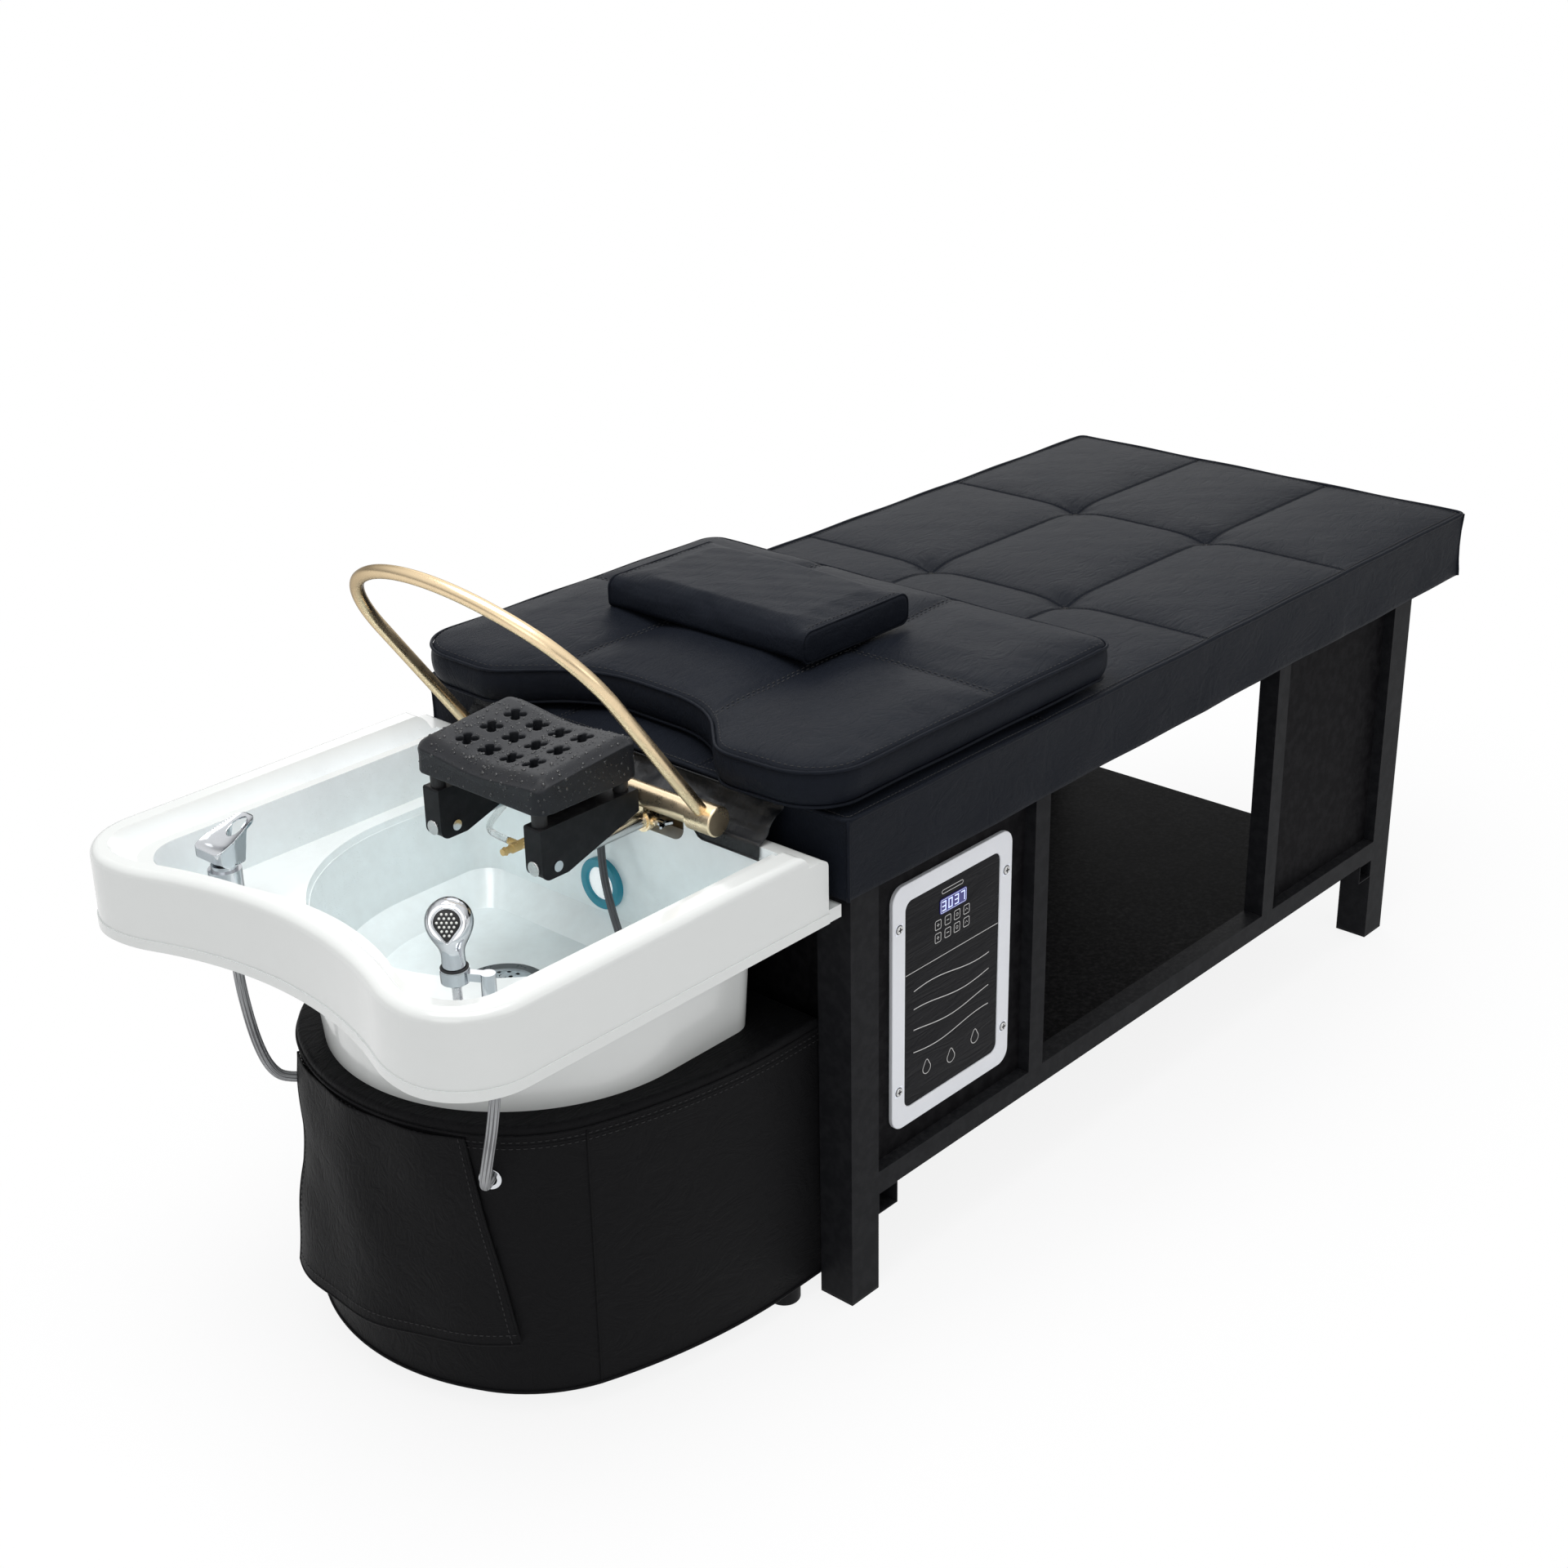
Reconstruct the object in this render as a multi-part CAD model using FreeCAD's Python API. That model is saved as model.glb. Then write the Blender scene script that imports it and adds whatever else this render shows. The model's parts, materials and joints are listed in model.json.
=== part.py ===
import FreeCAD, Part
import math
import os

# Hair washing bed: a padded couch on a steel frame with a wash basin on a clad base at its head.
# Millimetres, +Z up, +X towards the foot of the couch. The sizes below count from the head end of
# the couch, its centre line and the floor. At the end every piece moves along X, so that the origin
# is the bottom centre of the whole bed.

# Couch
BED_LENGTH = 1440.0
BED_WIDTH = 700.0
SEAM_HEIGHT = 658.0
APRON_DEPTH = 98.0
SKIRT = 9.0
PANEL_CROWN = 9.0
SEAM_CROWN = 2.5
SIDE_DRAW = 2.5
SEAM_COLUMN_Y = 117.0
SEAM_ROWS_X = (372.0, 735.0, 1092.0)
TUFT_RADIUS = 26.0
TUFT_DEPTH = 7.0

# Frame
LEG_SIZE = 50.0
LEG_WALL = 2.0
HEAD_LEG_INSET = 18.0
FOOT_LEG_INSET = 118.0
LEG_SIDE_INSET = 13.0
GLIDE_HEIGHT = 4.0
GLIDE_PLUG = 18.0
GLIDE_CLEARANCE = 0.3
RAIL_SIZE = 30.0
RAIL_WALL = 1.5
RAIL_BOTTOM = 137.0
BAY_START_X = 371.0
BAY_END_X = 943.0
CROSS_RAILS = 4
BEARER_WIDTH = 36.0
BOARD_THICKNESS = 15.0
PANEL_THICKNESS = 10.0
PANEL_INSET = 17.0
DECK_SIDE_GAP = 3.0

# Control panel
PANEL_CENTRE_X = 224.0
BEZEL_WIDTH = 232.0
BEZEL_TOP_GAP = 36.0
BEZEL_BOTTOM_GAP = 59.0
BEZEL_THICKNESS = 5.0
BEZEL_RADIUS = 20.0
BEZEL_BORDER = 24.0
WINDOW_RADIUS = 12.0
GLASS_CLEARANCE = 0.3
GLASS_THICKNESS = 3.5
BEZEL_SCREW_RADIUS = 5.5
BEZEL_SCREW_HEAD = 2.0
BEZEL_SCREW_INSET = 54.0
DISPLAY_WIDTH = 52.0
DISPLAY_HEIGHT = 20.0
DISPLAY_PROUD = 0.8
DISPLAY_DROP = 56.0
CONTROL_BOX_WIDTH = 170.0
CONTROL_BOX_DEPTH = 60.0
CONTROL_BOX_MARGIN = 44.0
CONTROL_BOX_RADIUS = 8.0

# Basin tray
BASIN_REACH = 556.0
BASIN_NOTCH = 507.0
BASIN_WIDTH = 674.0
BASIN_BOTTOM = 537.0
BASIN_TOP = 632.0
BASIN_WALL = 8.0
BASIN_BACK = 17.0
BASIN_BACK_INNER = 42.0
BACK_RIM_DROP = 16.0
BACK_LIP_REACH = 4.0
BACK_LIP_TOP = 553.0
RIM_END = 50.0
RIM_END_RADIUS = 14.0
RIM_BACK_RADIUS = 9.0
SADDLE_HALF = 138.0
SADDLE_DEPTH = 31.0
SADDLE_RADIUS = 18.0
LOBE_RADIUS = 86.0
TIP_RADIUS = 158.0
LIP_PROUD = 1.5
LIP_HEIGHT = 12.0
RIM_RADIUS = 10.0
RIM_WIDTH = 33.0
RIM_FRONT = 26.0
RIM_CHAMFER = 4.0
LEDGE_DROP = 20.0
LEDGE_INSET = 50.0
LEDGE_WIDTH = 13.0
DECK_DEPTH = 84.0
DECK_INSET = 75.0
POCKET_TIP_SHARE = 0.82
POCKET_LOBE_SHARE = 0.62

# Bowl under the tray
BOWL_CENTRE_X = -178.0
MOUTH_RADIUS = 236.0
BOWL_OUTER_TOP = 249.0
BOWL_OUTER_FOOT = 235.0
BOWL_BACK_X = -30.0
BOWL_CORNER = 34.0
BOWL_FOOT_Z = 380.0
BOWL_FLOOR_Z = 420.0
BOWL_HIP_Z = 450.0
BOWL_HIP_RADIUS = 214.0
BOWL_FLOOR_RADIUS = 176.0
BOWL_FLOOR_BACK_X = -78.0
BOWL_FLOOR_THICKNESS = 9.0

# Drain
DRAIN_X = -210.0
DRAIN_RADIUS = 52.0
DRAIN_SEAT_RADIUS = 39.0
DRAIN_PROUD = 2.5
DRAIN_BORE = 22.0
DRAIN_TAIL_RADIUS = 27.0
DRAIN_TAIL_BOTTOM = 370.0
STRAINER_CLEARANCE = 0.4
STRAINER_THICKNESS = 1.6
STRAINER_DOME = 5.0
STRAINER_HOLE = 2.6
STRAINER_RING_RADII = (12.0, 23.0)
STRAINER_RING_COUNTS = (6, 12)
STRAINER_KNOB = 6.0
STRAINER_BEND_SHARE = 0.62
STRAINER_FALL_SHARE = 0.3
WASTE_WALL = 2.5
WASTE_BOTTOM = 42.0
SPIGOT_REACH = 60.0
TRAP_RADIUS = 24.0

# Lamp on the bowl's back wall
LAMP_Z = 491.0
LAMP_RADIUS = 33.0
LAMP_LENS_RADIUS = 21.0
LAMP_PROUD = 8.0
LAMP_STEM_RADIUS = 14.0
LAMP_STEM = 10.5

# Base
BASE_HEIGHT = 380.0
BASE_BOTTOM = 25.0
BASE_LEG_GAP = 2.0
BASE_BACK_X = 24.0
BASE_SIDE_X = -60.0
BASE_SHOULDER = (-304.0, 234.0)
BASE_SIDE_MIDDLE = (-188.0, 269.0)
BASE_CHEEK = (-404.0, 135.0)
BASE_CORNER_MIDDLE = (-365.0, 192.0)
BASE_FRONT_X = -436.0
BASE_WALL = 15.0
BASE_TOP_THICKNESS = 12.0
BASE_EDGE_RADIUS = 6.0
BASE_OPENING_RADIUS = 212.0
BASE_OPENING_BACK_X = -50.0
FOOT_RADIUS = 20.0
FOOT_PLATE = 8.0
FOOT_FRONT_X = -398.0
FOOT_BACK_X = -22.0
FOOT_SIDE_INSET = 23.0

# Cloth flap on the base
FLAP_THICKNESS = 3.0
FLAP_GAP = 0.8
FLAP_TOP_Z = 365.0
FLAP_LEFT_Y = 142.0
FLAP_RIGHT_Y = -143.0
FLAP_LEFT_BOTTOM_Y = 158.0
FLAP_RIGHT_BOTTOM_Y = -186.0
FLAP_LEFT_BOTTOM_Z = 82.0
FLAP_RIGHT_BOTTOM_Z = 100.0
FLAP_FLARE = 22.0
FLAP_WAVE = 5.0
FLAP_STATIONS = 16
FLAP_WAVES = 2.5
EYELET_SHARE = 0.76
EYELET_Z = 315.0
EYELET_RADIUS = 13.0
EYELET_BORE = 8.0
EYELET_BARREL = 10.0
EYELET_PROUD = 2.0
EYELET_CLEARANCE = 0.1

# Tap
TAP_X = -440.0
TAP_INSET = 147.0
TAP_FLANGE_RADIUS = 24.0
TAP_FLANGE = 5.0
TAP_RADIUS = 19.0
TAP_HEIGHT = 52.0
TAP_STEM_RADIUS = 8.0
TAP_STEM_DEPTH = 26.0
TAP_CLEARANCE = 0.05
TAP_COLLAR_RADIUS = 15.0
TAP_COLLAR = 6.0
TAP_TAIL_RADIUS = 13.0
TAP_TAIL = 36.0
TAP_NUT_RADIUS = 21.0
TAP_NUT = 10.0
LEVER_WIDTH = 46.0
LEVER_BACK = 23.0
LEVER_GAP = 2.0
LEVER_RELIEF = 9.0
LEVER_KNEE = 20.0
LEVER_TIP = 41.0
LEVER_RISE = 47.0
LEVER_THICKNESS = 8.0
LEVER_SHOULDER = 21.0
LEVER_RADIUS = 9.0
LEVER_HOLE_WIDTH = 21.0
LEVER_TAPER = 7.0
LEVER_TAPER_START = 6.0
LEVER_HOLE_SHARES = (0.170, 0.816)
LEVER_HOLE_ROUND_SHARE = 0.306
LEVER_PIN_RADIUS = 3.0
LEVER_PIN_HEIGHT = 8.0
LEVER_SLOT = 12.0
LEVER_TONGUE = 9.0

# Hand shower
SHOWER_X = -432.0
SHOWER_HEIGHT = 47.0
SHOWER_LEAN = 2.0
COLLAR_RADIUS = 15.5
COLLAR_HEIGHT = 14.0
INSERT_RADIUS = 12.8
INSERT_FLANGE_RADIUS = 14.6
INSERT_FLANGE = 1.8
SHOWER_CLEARANCE = 0.05
NECK_RADIUS = 10.0
BULB_RADIUS = 25.0
BULB_CROWN_SHARE = 0.38
BULB_CENTRE = 62.0
NECK_WAIST = 13.0
FACE_RADIUS = 18.5
FACE_SET = 15.0
FACE_THICKNESS = 2.5
FACE_YAW = 221.0
FACE_PITCH = 20.0
RIB_HOSE_RADIUS = 5.2
RIB_HOSE_BELOW = 48.0
GROMMET_RADIUS = 12.0
GROMMET_FLANGE = 3.0
HOLDER_POST_X = -414.0
HOLDER_INSET = 117.0
HOLDER_POST_RADIUS = 8.0
HOLDER_FLANGE_RADIUS = 14.0
HOLDER_FLANGE = 4.0
HOLDER_ARM = 10.0
HOLDER_ARM_HEIGHT = 9.0
HOLDER_TAIL_RADIUS = 6.0
HOLDER_TAIL = 30.0

# Cross bar and water arch
BAR_X = -58.0
BAR_Z = 638.0
BAR_RADIUS = 14.0
BAR_HALF = 171.7
CAP_START = 172.0
CAP_END = 210.0
CAP_RADIUS = 18.0
SPIGOT_RADIUS = 9.0
SPIGOT_LENGTH = 26.0
SPIGOT_CLEARANCE = 0.05
ARCH_HALF = 191.0
ARCH_RADIUS = 8.0
ARCH_WALL = 1.2
ARCH_TILT = 53.0
ARCH_STRAIGHT = 222.0
ARCH_CORNER_RADIUS = 140.0
ARCH_CORNER_TURN = 55.0
ARCH_ROOT = 10.0

# Headrest and its rods
ROD_Y = 85.0
ROD_Z = 604.0
ROD_RADIUS = 9.0
ROD_FRONT_X = -227.0
ROD_BACK_X = -8.0
ROD_CLEARANCE = 0.05
SLEEVE_RADIUS = 11.5
SLEEVE_FRONT_X = -60.0
FLANGE_WIDTH = 44.0
FLANGE_HEIGHT = 56.0
FLANGE_THICKNESS = 5.0
FLANGE_GAP = 0.3
CLAMP_RADIUS = 14.5
CLAMP_LENGTH = 18.0
CLAMP_BOSS_RADIUS = 6.5
CLAMP_BOSS = 6.0
CLAMP_NECK = 9.0
WING_SHANK_RADIUS = 2.5
WING_HUB_RADIUS = 4.5
WING_HUB = 9.0
WING_SPAN = 22.0
WING_THICKNESS = 3.0
WING_HEIGHT = 9.0
BRACKET_WIDTH = 27.0
BRACKET_SHEET = 2.5
BRACKET_FRONT_X = -225.0
BRACKET_BACK_X = -73.0
BRACKET_RISE = 49.0
BRACKET_BACK_RISE = 21.0
BRACKET_LOBE_DROP = 14.0
BRACKET_LOBE_X = -186.0
BRACKET_LOBE_RADIUS = 12.0
BOLT_X = -203.0
BOLT_RADIUS = 3.0
BOLT_HEAD_RADIUS = 6.5
BOLT_HEAD = 3.0
STUB_RADIUS = 9.0
STUB_XS = (-213.0, -88.0)
CUSHION_BACK_X = -74.0
CUSHION_FRONT_X = -231.0
CUSHION_HALF = 107.0
STUB_HEIGHT = 19.0
CUSHION_DEPTH = 41.0
CUSHION_RISE = 13.0
CUSHION_SADDLE = 9.0
CUSHION_CORNER = 16.0
CUSHION_EDGE = 5.0
HOLE_COLUMNS = 4
HOLE_ROWS = 3
HOLE_PITCH = 37.0
HOLE_LOBE_RADIUS = 6.0
HOLE_LOBE_OFFSET = 6.2

# Hose tee under the headrest
TEE_CENTRE = (-160.0, 12.0, 580.0)
TEE_RADIUS = 6.0
TEE_LENGTH = 26.0
BARB_RADIUS = 4.2
BARB_TIP_RADIUS = 3.36
BARB_RIDGE_RADIUS = 5.46
BARB_LENGTH = 14.0
CLEAR_TUBE_RADIUS = 4.0
HOSE_RADIUS = 6.2
RIBBED_RADIUS = 4.8
NIPPLE_RADIUS = 6.0

# Cord routes, points chosen by hand
CORD_ARC_SHARE = 0.45
CLEAR_TUBE_ROUTE = (
    (-58.0, 124.0, 618.0), (-58.0, 124.0, 598.0), (-78.0, 120.0, 578.0), (-112.0, 110.0, 571.0),
    (-142.0, 88.0, 573.0), (-160.0, 56.0, 580.0), (-160.0, 30.0, 580.0))
RIBBED_ROUTE = (
    (-58.0, -15.0, 618.0), (-58.0, -15.0, 575.0), (-66.0, -24.0, 524.0), (-74.0, -44.0, 484.0),
    (-88.0, -74.0, 456.0), (-104.0, -98.0, 440.0), (-114.0, -112.0, 426.0))
TAP_HOSE_FALL = ((0.0, 0.0, 0.0), (0.0, 0.0, -44.0), (4.0, -2.0, -94.0), (12.0, -3.0, -142.0))
TAP_HOSE_END = ((-417.0, 184.0, 334.0), (-402.5, 175.5, 316.0), (-380.0, 160.3, 315.0))
SHOWER_HOSE_FALL = ((0.0, 0.0, 0.0), (0.0, 0.0, -46.0), (-4.0, 6.0, -100.0), (-6.0, 17.0, -148.0))
SHOWER_HOSE_END = ((-415.0, -189.0, 335.0), (-402.5, -175.5, 316.0), (-380.0, -160.3, 315.0))

# Head apron cloth over the basin's back rim
CLOTH_THICKNESS = 3.0
CLOTH_GAP = 0.6
CLOTH_INSET = 76.0
CLOTH_TOP_Z = 652.0
CLOTH_STATIONS = 14
CLOTH_TAIL = 17.0
CLOTH_TAIL_START = 146.0
CLOTH_WAVE = 1.2
CLOTH_WAVES = 5.0

# Topper and pillow
TOPPER_FOOT_X = 525.0
TOPPER_SIDE_GAP = 4.0
TOPPER_NOTCH_X = 47.0
TOPPER_LOBE_X = -38.0
TOPPER_LOBE_SLANT = 6.0
TOPPER_LOBE_INNER_Y = 188.6
TOPPER_NOTCH_HALF = 94.3
TOPPER_LOBE_RADIUS = 75.6
TOPPER_LOBE_INNER_RADIUS = 52.9
TOPPER_NOTCH_RADIUS = 150.0
TOPPER_FOOT_RADIUS = 30.0
TOPPER_GAP = 0.4
TOPPER_DEPTH = 50.6
TOPPER_CROWN = 10.0
TOPPER_CROWN_SECTIONS = ((24.0, 0.6), (54.0, 1.0))
TOPPER_SECTIONS = ((7.0, 0.0), (0.0, 0.14), (2.5, 0.5), (0.0, 0.88), (4.0, 1.0))
PILLOW_X = 288.0
PILLOW_Y = 45.0
PILLOW_LENGTH = 335.0
PILLOW_DEPTH = 200.0
PILLOW_HEIGHT = 42.0
PILLOW_CORNER = 18.0
PILLOW_SECTIONS = ((6.0, 0.0), (0.0, 0.167), (1.5, 0.417), (0.0, 0.683), (5.0, 0.833), (28.8, 1.0))

# Machinery in the head bay
PUMP_X = 250.0
PUMP_Y = 60.0
PUMP_RADIUS = 38.0
PUMP_LENGTH = 110.0
PUMP_HEAD_RADIUS = 46.0
PUMP_HEAD = 34.0
PUMP_PORT_RADIUS = 10.0
PUMP_PORT = 30.0
PUMP_FOOT = 12.0
PUMP_FOOT_SHARE = 0.8
PUMP_SEAT_SHARE = 0.7
HEATER_X = 160.0
HEATER_Y = 170.0
HEATER_RADIUS = 70.0
HEATER_ROOM = 108.0
HEATER_DOME = 14.0
HEATER_BAND = 16.0
HEATER_BAND_SHARES = (0.25, 0.75)
HEATER_BAND_THICKNESS = 2.0

CLOSE = 0.01
OVERRUN = 2.0
ORIGIN_X = (BASIN_REACH - BED_LENGTH) / 2.0

BED_HALF = BED_WIDTH / 2.0
APRON_BOTTOM = SEAM_HEIGHT - APRON_DEPTH
LEG_OUTER = BED_HALF - LEG_SIDE_INSET
LEG_INNER = LEG_OUTER - LEG_SIZE
BASE_HALF_WIDTH = LEG_INNER - BASE_LEG_GAP
FOOT_Y = BASE_HALF_WIDTH - FOOT_SIDE_INSET
FOOT_PLACES = ((FOOT_FRONT_X, 0.0), (FOOT_BACK_X, FOOT_Y), (FOOT_BACK_X, -FOOT_Y))
HEAD_LEG_END = HEAD_LEG_INSET + LEG_SIZE
FOOT_LEG_START = BED_LENGTH - FOOT_LEG_INSET - LEG_SIZE
RAIL_TOP = RAIL_BOTTOM + RAIL_SIZE
RAIL_INNER = LEG_OUTER - RAIL_SIZE
TOP_RAIL_TOP = APRON_BOTTOM + RAIL_SIZE
DECK_TOP = TOP_RAIL_TOP + BOARD_THICKNESS
PANEL_FACE = LEG_OUTER - PANEL_INSET
PANEL_BACK = PANEL_FACE - PANEL_THICKNESS
SHELF_TOP = RAIL_BOTTOM + BOARD_THICKNESS
BEZEL_TOP = APRON_BOTTOM - BEZEL_TOP_GAP
BEZEL_BOTTOM = RAIL_BOTTOM + BEZEL_BOTTOM_GAP
BEZEL_HEIGHT = BEZEL_TOP - BEZEL_BOTTOM
PANEL_CENTRE_Z = (BEZEL_TOP + BEZEL_BOTTOM) / 2.0
BEZEL_SCREW_HEIGHTS = (BEZEL_TOP - BEZEL_SCREW_INSET, BEZEL_BOTTOM + BEZEL_SCREW_INSET)
DISPLAY_Z = BEZEL_TOP - DISPLAY_DROP
CONTROL_BOX_HEIGHT = BEZEL_HEIGHT - CONTROL_BOX_MARGIN * 2.0
HEATER_HEIGHT = APRON_BOTTOM - SHELF_TOP - HEATER_ROOM
TOPPER_HALF = BED_HALF - TOPPER_SIDE_GAP
TOPPER_BOTTOM = SEAM_HEIGHT + PANEL_CROWN + TOPPER_GAP
TOPPER_SEAM = TOPPER_BOTTOM + TOPPER_DEPTH
BASIN_HALF = BASIN_WIDTH / 2.0
BACK_RIM_TOP = BASIN_TOP - BACK_RIM_DROP
SADDLE_HEIGHT = BACK_RIM_TOP - SADDLE_DEPTH
LEDGE_HEIGHT = BASIN_TOP - LEDGE_DROP
DECK_HEIGHT = BASIN_TOP - DECK_DEPTH
TAP_Y = BASIN_HALF - TAP_INSET
TAP_BODY_TOP = DECK_HEIGHT + TAP_HEIGHT
TAP_COLLAR_TOP = TAP_BODY_TOP + TAP_COLLAR
TAP_TAIL_BOTTOM = DECK_HEIGHT - TAP_TAIL
LEVER_BOTTOM = TAP_COLLAR_TOP + LEVER_GAP
LEVER_TIP_Z = LEVER_BOTTOM + LEVER_RISE
LEVER_SHOULDER_Z = LEVER_BOTTOM + LEVER_SHOULDER
LEVER_PIN_Z = LEVER_BOTTOM + LEVER_PIN_HEIGHT
SHOWER_Y = TAP_INSET - BASIN_HALF
SHOWER_Z = DECK_HEIGHT + SHOWER_HEIGHT
HOLDER_POST_Y = HOLDER_INSET - BASIN_HALF
HOLDER_TAIL_BOTTOM = DECK_HEIGHT - HOLDER_TAIL
CLOTH_HALF = BASIN_HALF - CLOTH_INSET
BRACKET_TOP = ROD_Z + BRACKET_RISE
BRACKET_BACK_BOTTOM = ROD_Z + BRACKET_BACK_RISE
BRACKET_LOBE_BOTTOM = ROD_Z - BRACKET_LOBE_DROP
CUSHION_BOTTOM = BRACKET_TOP + STUB_HEIGHT
CUSHION_TOP = CUSHION_BOTTOM + CUSHION_DEPTH
UP = FreeCAD.Vector(0, 0, 1)
CENTRE = FreeCAD.Vector(0, 0, 0)


def vec(x, y, z):
    return FreeCAD.Vector(x, y, z)


def box(x0, x1, y0, y1, z0, z1):
    return Part.makeBox(x1 - x0, y1 - y0, z1 - z0, vec(x0, y0, z0))


def rod(start, end, radius):
    """Round bar between two points."""
    run = end - start
    return Part.makeCylinder(radius, run.Length, start, run)


def pipe(start, end, outer, inner):
    """Round tube between two points."""
    run = (end - start).normalize() * OVERRUN
    return rod(start, end, outer).cut(rod(start - run, end + run, inner))


def hollow(x0, x1, y0, y1, z0, z1, wall, axis):
    """Square tube that is open at both ends along one axis, 0 for X, 1 for Y and 2 for Z."""
    low = [x0 + wall, y0 + wall, z0 + wall]
    high = [x1 - wall, y1 - wall, z1 - wall]
    low[axis] = (x0, y0, z0)[axis] - OVERRUN
    high[axis] = (x1, y1, z1)[axis] + OVERRUN
    return box(x0, x1, y0, y1, z0, z1).cut(box(low[0], high[0], low[1], high[1], low[2], high[2]))


def mirrored(shape):
    """The same piece on the other side of the centre line."""
    return shape.mirror(CENTRE, vec(0, 1, 0))


def both(shape):
    return [shape, mirrored(shape)]


def path(start, *steps):
    """Wire from a start point; a step is an end point, or a middle and an end for an arc."""
    edges = []
    here = start
    for step in steps:
        if isinstance(step, tuple):
            edges.append(Part.Arc(here, step[0], step[1]).toShape())
            here = step[1]
        else:
            edges.append(Part.LineSegment(here, step).toShape())
            here = step
    return Part.Wire(edges)


def prism(wire, run):
    return Part.Face(wire).extrude(run)


def corner(before, point, after, radius):
    """Ends and middle of the arc that rounds a corner."""
    back = (before - point).normalize()
    ahead = (after - point).normalize()
    half = back.getAngle(ahead) / 2.0
    reach = radius / math.tan(half)
    inward = (back + ahead).normalize() * (radius / math.sin(half) - radius)
    return point + back * reach, point + inward, point + ahead * reach


def rounded(points, radii):
    """Closed wire through straight sides with a rounded corner at each point."""
    count = len(points)
    arcs = [corner(points[i - 1], points[i], points[(i + 1) % count], radii[i]) for i in range(count)]
    steps = []
    for i in range(1, count):
        steps += [arcs[i][0], (arcs[i][1], arcs[i][2])]
    steps += [arcs[0][0], (arcs[0][1], arcs[0][2])]
    return path(arcs[0][2], *steps)


def rectangle(x0, x1, y0, y1, z, radius):
    """Level rectangle with round corners."""
    points = [vec(x0, y0, z), vec(x1, y0, z), vec(x1, y1, z), vec(x0, y1, z)]
    return rounded(points, [radius] * len(points))


def upright(x0, x1, z0, z1, y, radius):
    """Rectangle with round corners in a plane that faces sideways."""
    points = [vec(x0, y, z0), vec(x1, y, z0), vec(x1, y, z1), vec(x0, y, z1)]
    return rounded(points, [radius] * len(points))


def stack(wires, ruled=True):
    return Part.makeLoft(wires, True, ruled)


def edges_where(shape, test):
    """Edges whose two ends and middle all pass a test."""
    found = []
    for edge in shape.Edges:
        middle = edge.valueAt((edge.FirstParameter + edge.LastParameter) / 2.0)
        if all(test(point) for point in [middle] + [vertex.Point for vertex in edge.Vertexes]):
            found.append(edge)
    return found


def near(value, target):
    return abs(value - target) < CLOSE


def cord_wire(points):
    """Straight runs joined by tangent arcs, each as large as its two runs allow."""
    runs = [points[i + 1] - points[i] for i in range(len(points) - 1)]
    edges = []
    radii = []
    here = points[0]
    for i in range(1, len(points) - 1):
        half_turn = runs[i - 1].getAngle(runs[i]) / 2.0
        radius = CORD_ARC_SHARE * min(runs[i - 1].Length, runs[i].Length) / math.tan(half_turn)
        start, middle, end = corner(points[i - 1], points[i], points[i + 1], radius)
        edges += [Part.LineSegment(here, start).toShape(), Part.Arc(start, middle, end).toShape()]
        radii.append(radius)
        here = end
    edges.append(Part.LineSegment(here, points[-1]).toShape())
    return Part.Wire(edges), radii




def tube_along(wire, start, heading, radius):
    section = Part.Wire([Part.Circle(start, heading, radius).toShape()])
    return wire.makePipeShell([section], True, False)


def cord(name, route, radius):
    """Round cord along its route; prints its bend radii and its volume against its length."""
    points = [vec(*point) for point in route]
    wire, radii = cord_wire(points)
    solid = tube_along(wire, points[0], points[1] - points[0], radius)
    expected = math.pi * radius ** 2 * wire.Length
    print(name, "radii", [round(value) for value in radii], "volume", round(solid.Volume / expected, 3))
    return solid


def bed_legs():
    legs = []
    for x in (HEAD_LEG_INSET, FOOT_LEG_START):
        legs += both(hollow(x, x + LEG_SIZE, LEG_INNER, LEG_OUTER, GLIDE_HEIGHT, APRON_BOTTOM, LEG_WALL, 2))
    return legs


def leg_glides():
    """Plastic plugs that close the legs and stand on the floor."""
    glides = []
    gap = LEG_WALL + GLIDE_CLEARANCE
    for x in (HEAD_LEG_INSET, FOOT_LEG_START):
        pad = box(x, x + LEG_SIZE, LEG_INNER, LEG_OUTER, 0, GLIDE_HEIGHT)
        plug = box(x + gap, x + LEG_SIZE - gap, LEG_INNER + gap, LEG_OUTER - gap, 0, GLIDE_PLUG)
        glides += both(pad.fuse(plug))
    return glides


def bottom_side_rails():
    return both(hollow(HEAD_LEG_END, FOOT_LEG_START, RAIL_INNER, LEG_OUTER, RAIL_BOTTOM, RAIL_TOP,
                       RAIL_WALL, 0))


def board_bearers():
    """Cross tubes under the side rails at both ends, which also carry the bottom board."""
    bearers = []
    for x in (HEAD_LEG_END, FOOT_LEG_START - BEARER_WIDTH):
        bearers.append(hollow(x, x + BEARER_WIDTH, -LEG_OUTER, LEG_OUTER, RAIL_BOTTOM - RAIL_SIZE,
                              RAIL_BOTTOM, RAIL_WALL, 1))
    return bearers


def frame_posts():
    posts = []
    for x in (BAY_START_X, BAY_END_X):
        posts += both(hollow(x, x + RAIL_SIZE, RAIL_INNER, LEG_OUTER, RAIL_TOP, APRON_BOTTOM, RAIL_WALL, 2))
    return posts


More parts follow.
